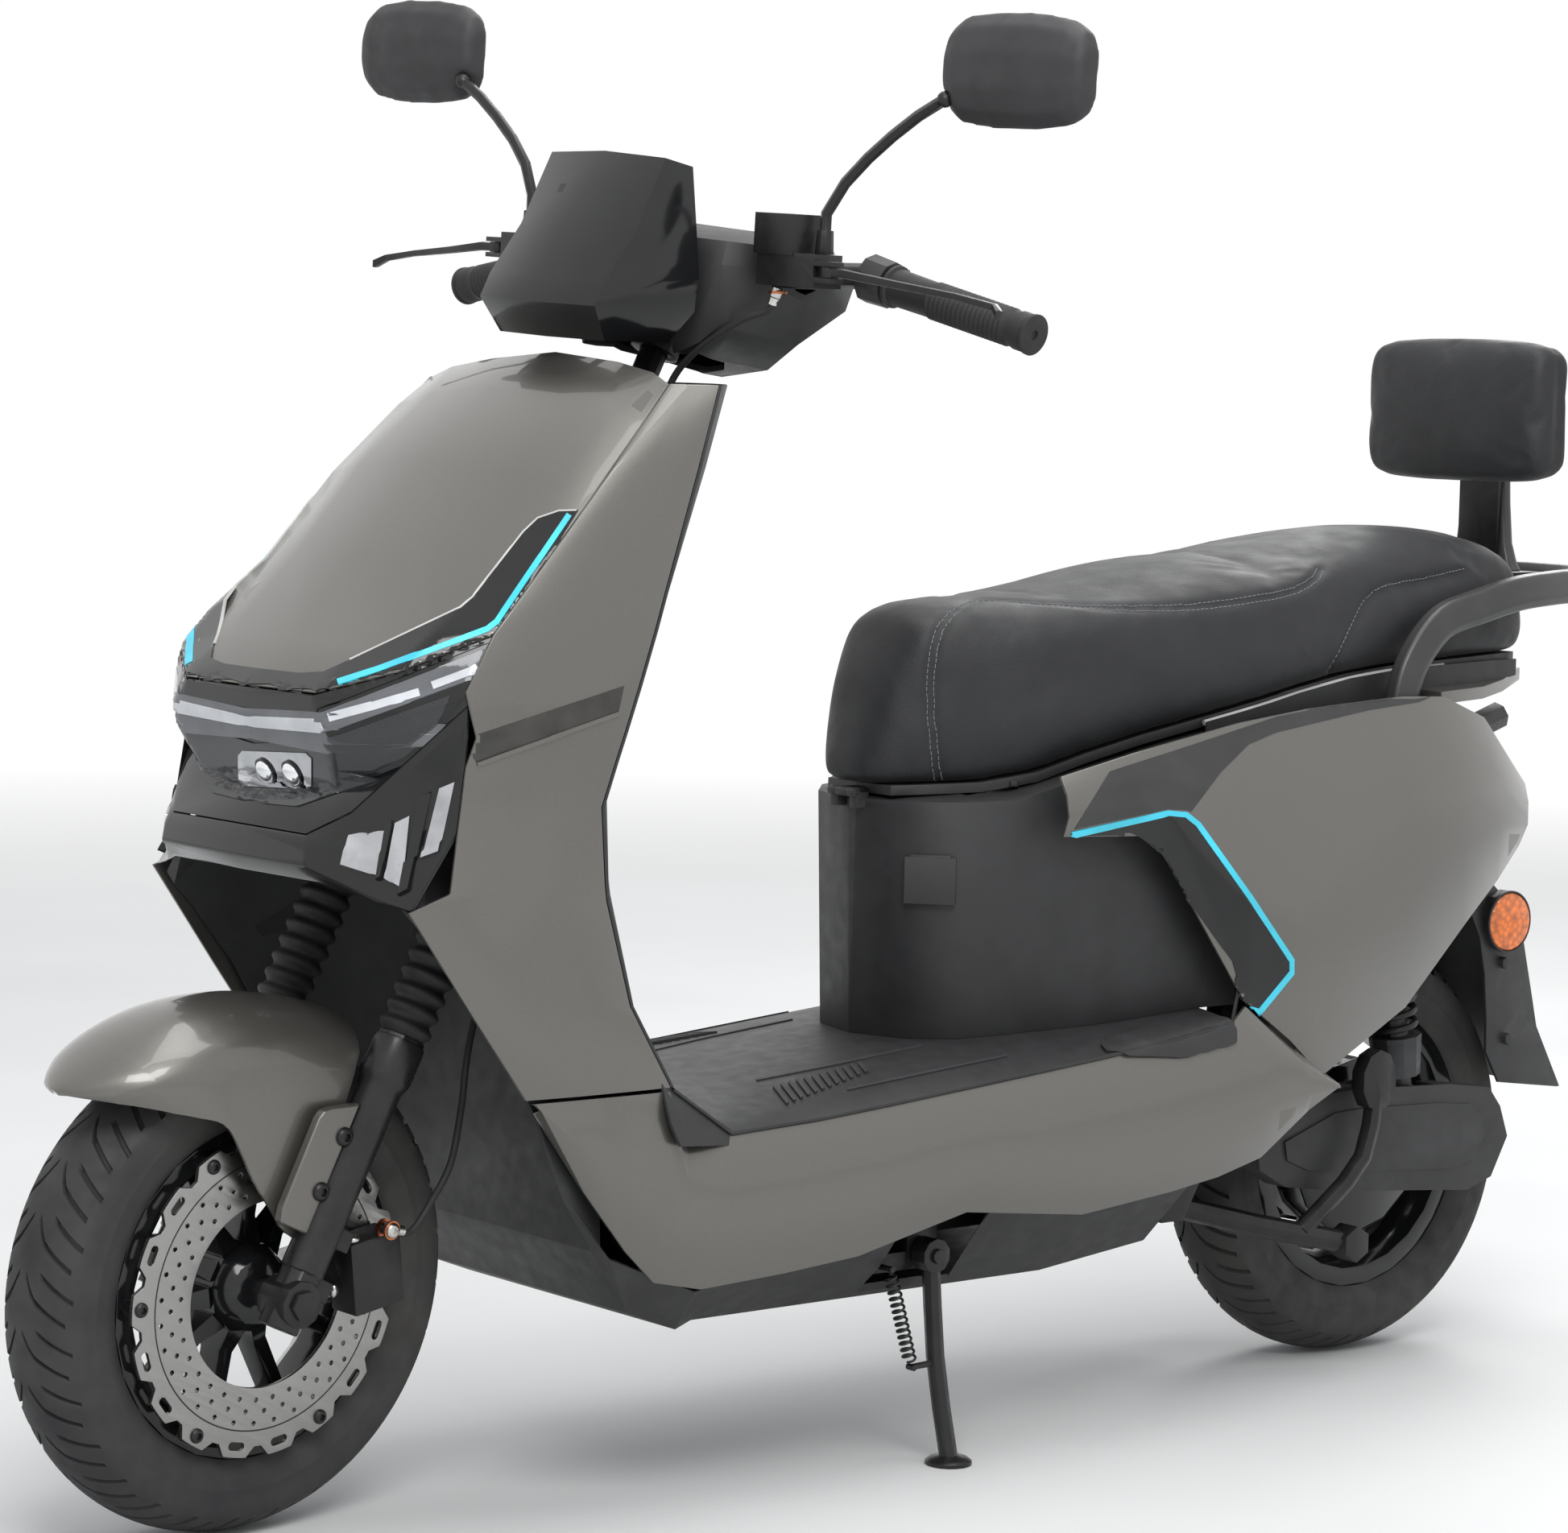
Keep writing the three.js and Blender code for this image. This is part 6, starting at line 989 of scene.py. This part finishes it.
def nose():
    lamp_face = tree_over("headlamp")
    film("lamp_window", LAMP_WINDOW, lamp_face, SMOKED, 1.2)
    film("lamp_projector", PROJECTOR, lamp_face, CHROME, 2.2, both=False)
    film("light_bar", LIGHT_BAR, lamp_face, BAR, 1.8)
    for i, line in enumerate(LIGHT_GUIDES):
        film(f"light_guide_{i + 1}", band(line, GUIDE_WIDTH), lamp_face, GUIDE, 2.4)
    for i, (px, py) in enumerate(PROJECTOR_BULBS):
        point, normal = cast(lamp_face, px, py)
        matrix = along(point, point + normal)
        piece(f"projector_lens_{i + 1}", lathe(PROJECTOR_DOME, matrix, 32), GLASS, slot="lens_clear")
        piece(f"projector_ring_{i + 1}", lathe(PROJECTOR_RING, matrix, 32, True), GLOSS)
    cowl = tree_over("lower_cowl")
    for i, outline in enumerate(NOSE_FINS):
        film(f"fin_{i + 1}", outline, cowl, CHROME, 4.5)
    for i, outline in enumerate(NOSE_BARS):
        film(f"fin_bar_{i + 1}", outline, cowl, GLOSS, 6.5)


# The deck's ribs and lines, in pixels
DECK_RIBS, DECK_RIB_WIDTH, DECK_RIB_SHRINK = 12, 4, 0.5
DECK_RIB_FIRST = ((961, 1350), (978, 1372))
DECK_RIB_STEP = (9.6, -2.6)
DECK_LINES = [[(939, 1342), (1040, 1322), (1144, 1300)], [(1052, 1354), (1150, 1333), (1250, 1312)]]
DECK_LINE_WIDTH = 2.5


def deck_relief():
    deck = tree_of(NODES["floor_deck"])
    (ax, ay), (bx, by) = DECK_RIB_FIRST
    for i in range(DECK_RIBS):
        x, y = ax + DECK_RIB_STEP[0] * i, ay + DECK_RIB_STEP[1] * i
        shrink = 1 - DECK_RIB_SHRINK * i / DECK_RIBS
        line = [(x, y), (x + (bx - ax) * shrink, y + (by - ay) * shrink)]
        film(f"deck_rib_{i + 1}", band(line, DECK_RIB_WIDTH), deck, MATTE_SOFT, 2.2, 8)
    for i, line in enumerate(DECK_LINES):
        film(f"deck_line_{i + 1}", band(line, DECK_LINE_WIDTH), deck, MATTE_SOFT, 1.4, 10)


# Fasteners and reflectors
PLATE_AHEAD = 21
FENDER_BOLTS = (137, 89)  # heights up the fork
CALIPER_BOLTS = [(437, 1540), (412, 1602), (381, 1615)]
CALIPER_BOLT_RADIUS, BANJO_BOLT_RADIUS, FENDER_BOLT_RADIUS = 7, 6.5, 8
BANJO_DOWN, BANJO_UP = 8, 6  # from the hose's end to the washers' foot and to the bolt's head
WASHERS = [[(5, low), (8, low), (8, low + 2), (5, low + 2)] for low in (2, 12)]
REFLECTOR_X, REFLECTOR_Z = -151, 426
REFLECTOR_LENS = [(29, -1), (29, 2.4), (27.5, 4.2), (20, 5.6), (10, 6.3), (1.5, 6.5)]
REFLECTOR_RIM = [(31, -1), (31, 3), (29.3, 3.6), (29.3, -1)]


def beside_fork(tree, side, height):
    """The mudguard's side surface beside the fork."""
    return tree.ray_cast(spot(FRONT_HUB, PLATE_AHEAD, side * OUTSIDE, height), -FRONT_AXLE * side)[0]


def fasteners():
    caliper = tree_of(NODES["brake_caliper"])
    for i, (px, py) in enumerate(CALIPER_BOLTS):
        bolt(f"caliper_bolt_{i + 1}", *cast(caliper, px, py), CALIPER_BOLT_RADIUS, "fork", BRIGHT)
    for name, end, up, body in (("banjo_low", HOSE_LOW[0], FRONT_AXLE, "fork"),
                                ("banjo_top", HOSE_TOP[-1], STEER.to_3x3() @ Vector((0, 0, 1)), "steering")):
        point = STEER @ at(*end)
        foot = along(point - up * BANJO_DOWN * MM, point)
        for i, washer in enumerate(WASHERS):
            piece(f"{name}_washer_{i + 1}", lathe(washer, foot, 24, True), COPPER, body)
        bolt(f"{name}_bolt", point + up * BANJO_UP * MM, up, BANJO_BOLT_RADIUS, body, BRIGHT)
    guard = tree_of(NODES["front_fender"])
    for side, word in SIDES:
        for i, height in enumerate(FENDER_BOLTS):
            bolt(f"fender_bolt_{word}_{i + 1}", beside_fork(guard, side, height), FRONT_AXLE * side,
                 FENDER_BOLT_RADIUS, "fork")


def reflectors():
    guard = tree_of(NODES["rear_mudguard"])
    for side, word in SIDES:
        sideways = Vector((0, side, 0))
        point = guard.ray_cast(at(REFLECTOR_X, side * OUTSIDE, REFLECTOR_Z), -sideways)[0]
        matrix = along(point, point + sideways)
        piece(f"reflector_{word}", lathe(REFLECTOR_LENS, matrix), AMBER)
        piece(f"reflector_rim_{word}", lathe(REFLECTOR_RIM, matrix, ring=True), MATTE)


# Front mudguard: a crown that narrows to its tip, with skirts. Angles run forward from straight up the wheel
FENDER_WALL, FENDER_EDGE = 3, 0.8
FENDER_FILL = 1.4  # the inner skin is narrower by the whole wall from 1/1.4 of the half width outward
FENDER_END = -20
# [angle, radius] of the crown's middle, the crease and the lower edge, and [angle, half width]
FENDER_CROWN = [(46, 255), (41.4, 254), (29.8, 251), (19.3, 247), (7, 241), (-6, 237), (FENDER_END, 237)]
FENDER_CREASE = [(46, 251), (41.6, 238), (34, 228), (29, 223), (17.6, 216), (5, 209), (FENDER_END, 208)]
FENDER_LOW = [(46, 250), (44, 240), (41.6, 228), (38, 212), (34.5, 197), (30, 182), (26, 171), (24.5, 166), (23, 158),
              (22, 148), (21, 132), (19.8, 112), (17.3, 95), (14, 82), (10, 70), (6.6, 61), (0, 54), (-8, 50),
              (FENDER_END, 48)]
FENDER_HALF = [(46, 6), (45, 20), (44, 30), (41.6, 45), (38, 58), (34.5, 65), (30, 70), (26, 72), (FENDER_END, 73)]
# [share of the half width, share of the way]: from the crown's middle to the crease, from there to the lower edge
FENDER_ARCH = [(0, 0), (0.2, 0.02), (0.4, 0.1), (0.58, 0.25), (0.74, 0.47), (0.86, 0.72), (0.94, 1)]
FENDER_SKIRT = [(0.97, 0.12), (0.985, 0.35), (1, 0.7), (1, 1)]
FENDER_STEP = 2
PLATE_THICKNESS, PLATE_EDGE = 9, 1.6
PLATE_BACK = 16  # clear of the leg that slides behind it
FENDER_PLATE = [(349, 1519), (352, 1500), (397, 1389), (404, 1380), (414, 1376), (448, 1371), (394, 1540)]


def read(table, place):
    """A value between the rows of a table whose first column falls."""
    places = [-row[0] for row in table]
    return float(np.interp(-place, places, [row[1] for row in table]))


def fender():
    wheel = STEER @ Matrix.Translation(at(WHEELBASE, 0, TYRE_RADIUS))
    angles = sorted({a for a, _ in FENDER_LOW + FENDER_HALF}
                    | set(range(FENDER_END, int(FENDER_LOW[0][0]), FENDER_STEP)), reverse=True)
    rows = []
    for angle in angles:
        crown, crease, low, half = (read(t, angle) for t in (FENDER_CROWN, FENDER_CREASE, FENDER_LOW, FENDER_HALF))
        outer = [(half * u, crown + (crease - crown) * v) for u, v in FENDER_ARCH]
        outer += [(half * u, crease + (low - crease) * v) for u, v in FENDER_SKIRT]
        inner = [(y - FENDER_WALL * min(1, y / half * FENDER_FILL), r - (FENDER_WALL if i < len(FENDER_ARCH) else 0))
                 for i, (y, r) in enumerate(outer)]
        section = outer[::-1] + [(-y, r) for y, r in outer[1:]]
        section += [(-y, r) for y, r in inner[::-1]] + inner[1:]
        turn = math.radians(angle)
        rows.append([spot(wheel, r * math.sin(turn), y, r * math.cos(turn)) for y, r in section])
    verts, faces = grid(rows, closed_rows=False)
    width = len(rows[0])
    for start in (0, len(verts) - width):
        faces += [(start + k, start + k + 1, start + width - 2 - k, start + width - 1 - k)
                  for k in range(width // 2 - 1)]
    body = piece("mudguard_front", (verts, faces), PAINT, "fork", replaces=["front_fender"], angle=40)
    rounded(body, FENDER_EDGE, 2)


def fender_plates():
    back = FRONT_HUB.inverted()
    face = (back @ beside_fork(tree_over("front_fender"), 1, FENDER_BOLTS[0])).y / MM
    origin, corners = back @ CAMERA_PLACE, []
    for px, py in FENDER_PLATE:
        ray = back.to_3x3() @ sight(px, py)
        corner = origin + ray * ((face * MM - origin.y) / ray.y)
        corners.append((max(corner.x / MM, PLATE_BACK), corner.z / MM))
    for side, word in SIDES:
        rows = [[spot(FRONT_HUB, x, side * y, z) for x, z in corners] for y in (face, face - PLATE_THICKNESS)]
        rounded(piece(f"mudguard_plate_{word}", closed(rows), PAINT, "fork", angle=30), PLATE_EDGE)


# Grab rail: a broad moulding round the tube, and the cover of the backrest's post
RAIL_PATH = [(82, 149, 618), (80, 149, 660), (66, 149, 696), (30, 149, 731), (-25, 148, 746), (-80, 145, 757),
             (-140, 134, 761), (-190, 119, 762), (-228, 94, 762), (-256, 66, 762), (-267, 34, 762), (-270, 0, 762)]
RAIL_WIDTH, RAIL_HEIGHT = 23, 33
RAIL_EDGE = 2.5
RAIL_STEEP = 0.75  # the path's rise from which outward is straight aside
RAIL_LEVEL = 0.2  # an up direction that rises less than this takes its sign from x
RAIL_SECTION = [(-0.5, -0.3), (-0.3, -0.5), (0.28, -0.5), (0.5, -0.22), (0.42, 0.3), (0.26, 0.5), (-0.3, 0.5),
                (-0.5, 0.3)]
POST_COVER = [(772, 46, 13), (780, 40, 12), (800, 33, 10), (840, 29, 9), (885, 27, 8)]  # [up, half width, half depth]
POST_SECTION = ((-1, -0.8), (-1, 0.8), (-0.3, 1), (0.9, 1), (0.9, -1), (-0.3, -1))
POST_MIDDLE, POST_EDGE = -192, 3


def grab():
    left = [at(*p) for p in RAIL_PATH]
    line = smooth_path(left + [flip(p) for p in left[-2::-1]], 5)
    middle = (line[len(line) // 2] + (line[0] + line[-1]) / 2) / 2
    rows = []
    for i, point in enumerate(line):
        ahead = heading(line, i)
        outward = ahead.cross(Vector((0, 0, 1)))
        if abs(ahead.z) >= RAIL_STEEP:
            outward = Vector((0, math.copysign(1, point.y), 0))
        if outward.dot(point - middle) < 0:
            outward = -outward
        outward.z = 0
        outward.normalize()
        up = ahead.cross(outward).normalized()
        if up.z < -RAIL_LEVEL or (abs(up.z) <= RAIL_LEVEL and up.x < 0):
            up = -up
        rows.append([point + outward * u * RAIL_WIDTH * MM + up * v * RAIL_HEIGHT * MM for u, v in RAIL_SECTION])
    rounded(piece("grab_moulding", closed(rows), UPPER, slot="black_steel", angle=28), RAIL_EDGE)
    rows = [[at(POST_MIDDLE + deep * u, half * v, height) for u, v in POST_SECTION]
            for height, half, deep in POST_COVER]
    rounded(piece("post_cover", closed(rows), UPPER, slot="black_steel", angle=28), POST_EDGE)


# Where the deck meets the shield and the side panel, in pixels
CORNER_OUTLINE = [(822, 1346), (834, 1352), (918, 1410), (1010, 1402), (925, 1422), (846, 1424), (834, 1396)]
CORNER_ANCHORS = [(905, 1428), (935, 1392), (818, 1338)]
CORNER_THICKNESS = 2.5
DECK_WING = [(1360, 1298), (1395, 1285), (1484, 1254), (1525, 1266), (1536, 1276), (1536, 1300), (1471, 1317),
             (1395, 1314), (1370, 1311)]


def deck_corners():
    """A flat panel that closes the gap, on the plane of three points of the surfaces around it."""
    tree = tree_over("floor_deck", "lower_side_left", "shield_side_left")
    a, b, c = (cast(tree, *pixel)[0] for pixel in CORNER_ANCHORS)
    normal = (b - a).cross(c - a).normalized()
    if normal.dot(sight(*CORNER_ANCHORS[0])) > 0:
        normal = -normal
    points = []
    for px, py in CORNER_OUTLINE:
        ray = sight(px, py)
        points.append(CAMERA_PLACE + ray * ((a - CAMERA_PLACE).dot(normal) / ray.dot(normal)))
    rows = [[p - normal * deep * MM for p in points] for deep in (0, CORNER_THICKNESS)]
    piece("deck_corner", closed(rows), MATTE)
    piece("deck_corner_right", closed([[flip(p) for p in row] for row in rows]), MATTE)


# Panels between the seat and the side panels, and the bright trim on them: [along, aside, top, depth]
SEAT_SKIRT = [(322, 133, 644, 70), (260, 139, 657, 70), (200, 134, 668, 70), (130, 129, 679, 66), (60, 123, 685, 52),
              (-11, 119, 688, 34), (-80, 113, 690, 22), (-128, 104, 690, 16)]
SKIRT_THICKNESS = 2.5
TRIM_INSET, TRIM_DROP, TRIM_RADIUS = 4, 1, 2.6


def seat_skirts():
    for side, word in SIDES:
        rows = []
        for x, y, top, deep in SEAT_SKIRT:
            inside = side * (y - SKIRT_THICKNESS)
            rows.append([at(x, side * y, top), at(x, side * y, top - deep), at(x, inside, top - deep),
                         at(x, inside, top)])
        piece(f"seat_skirt_{word}", closed(rows), MATTE)
        trim = [at(x, side * (y - TRIM_INSET), top - TRIM_DROP) for x, y, top, _ in SEAT_SKIRT[:-2]]
        piece(f"seat_trim_{word}", sweep(smooth_path(trim, 4), TRIM_RADIUS, 10), SILVER, "seat", "bright_metal")


tyre("front_tyre", FRONT_HUB)
tyre("rear_tyre", REAR_HUB)
for build in (brake_disc, boots, sliders, springs, hose, grips, mirrors, decals, nose, deck_relief, fasteners,
              reflectors, fender, fender_plates, grab, deck_corners):
    build()
film("deck_wing", DECK_WING, tree_over("floor_deck", "lower_side_left"), MATTE, 3.5, relax=6)
seat_skirts()
seat()
backrest()


# Stage: a pale floor that fades to white, soft lamps
FLOOR_REACH = 30.0
FLOOR_FADE = (2.6, 6.5)  # from here to there, in metres
AMBIENT = 0.5
MIDDLE = at(640, 0, 560)
# [name, place, width and height in metres, power in watts]
LAMPS = [("key", at(2400, 2600, 3400), (2.4, 1.6), 95), ("top", at(300, 200, 3600), (3.0, 2.0), 60),
         ("rim", at(-2600, -1800, 2600), (1.6, 1.6), 50)]


def mix(tree, share, first, second, output):
    """Runs from one shader to another, into an output's surface."""
    node = tree.nodes.new("ShaderNodeMixShader")
    for source, target in zip((share, first, second), node.inputs):
        tree.links.new(source, target)
    tree.links.new(node.outputs["Shader"], tree.nodes[output].inputs["Surface"])


def floor_look():
    made = look("floor", (0.78, 0.78, 0.77), 0.75, (noise(2, 5), (0.76, 0.76, 0.755), (0.8, 0.8, 0.795)))
    tree = made.node_tree
    length = tree.nodes.new("ShaderNodeVectorMath")
    length.operation = "LENGTH"
    tree.links.new(tree.nodes["Texture Coordinate"].outputs["Object"], length.inputs[0])
    fade = ranged(made, length.outputs["Value"], 0.0, 1.0, *FLOOR_FADE)
    glow = tree.nodes.new("ShaderNodeEmission").outputs["Emission"]
    mix(tree, fade, tree.nodes["Principled BSDF"].outputs["BSDF"], glow, "Material Output")
    return made


def floor():
    mesh = bpy.data.meshes.new("floor")
    corners = [(u * FLOOR_REACH, v * FLOOR_REACH, -LIFT * MM) for u, v in ((-1, -1), (1, -1), (1, 1), (-1, 1))]
    mesh.from_pydata(corners, [], [(0, 1, 2, 3)])
    mesh.materials.append(floor_look())
    made = placed("floor", mesh)


def world():
    """Soft light all round. The camera, reflections and lenses see white."""
    made = bpy.data.worlds.new("studio")
    bpy.context.scene.world = made
    made.use_nodes = True
    tree = made.node_tree
    soft = tree.nodes["Background"]
    soft.inputs["Color"].default_value = (0.93, 0.96, 1.0, 1)
    soft.inputs["Strength"].default_value = AMBIENT
    seen = tree.nodes.new("ShaderNodeBackground")
    seen.inputs["Color"].default_value = (1, 1, 1, 1)
    rays = tree.nodes.new("ShaderNodeLightPath").outputs
    most = rays["Is Camera Ray"]
    for other in ("Is Glossy Ray", "Is Transmission Ray"):
        node = tree.nodes.new("ShaderNodeMath")
        node.operation = "MAXIMUM"
        tree.links.new(most, node.inputs[0])
        tree.links.new(rays[other], node.inputs[1])
        most = node.outputs["Value"]
    mix(tree, most, soft.outputs["Background"], seen.outputs["Background"], "World Output")


floor()
world()
for name, place, size, power in LAMPS:
    light = bpy.data.lights.new(name, "AREA")
    light.shape = "RECTANGLE"
    light.size, light.size_y = size
    light.energy = power
    lamp = placed(name, light)
    lamp.location = place
    lamp.rotation_mode = "QUATERNION"
    lamp.rotation_quaternion = (MIDDLE - place).to_track_quat("-Z", "Y")

camera = placed("camera", bpy.data.cameras.new("camera"))
camera.data.sensor_width = SENSOR
camera.data.lens = PHOTO_FOCAL * SENSOR / PHOTO_WIDTH
camera.data.clip_end = 100
camera.matrix_world = camera_matrix()
bpy.context.scene.camera = camera
bpy.context.scene.view_settings.view_transform = "Standard"
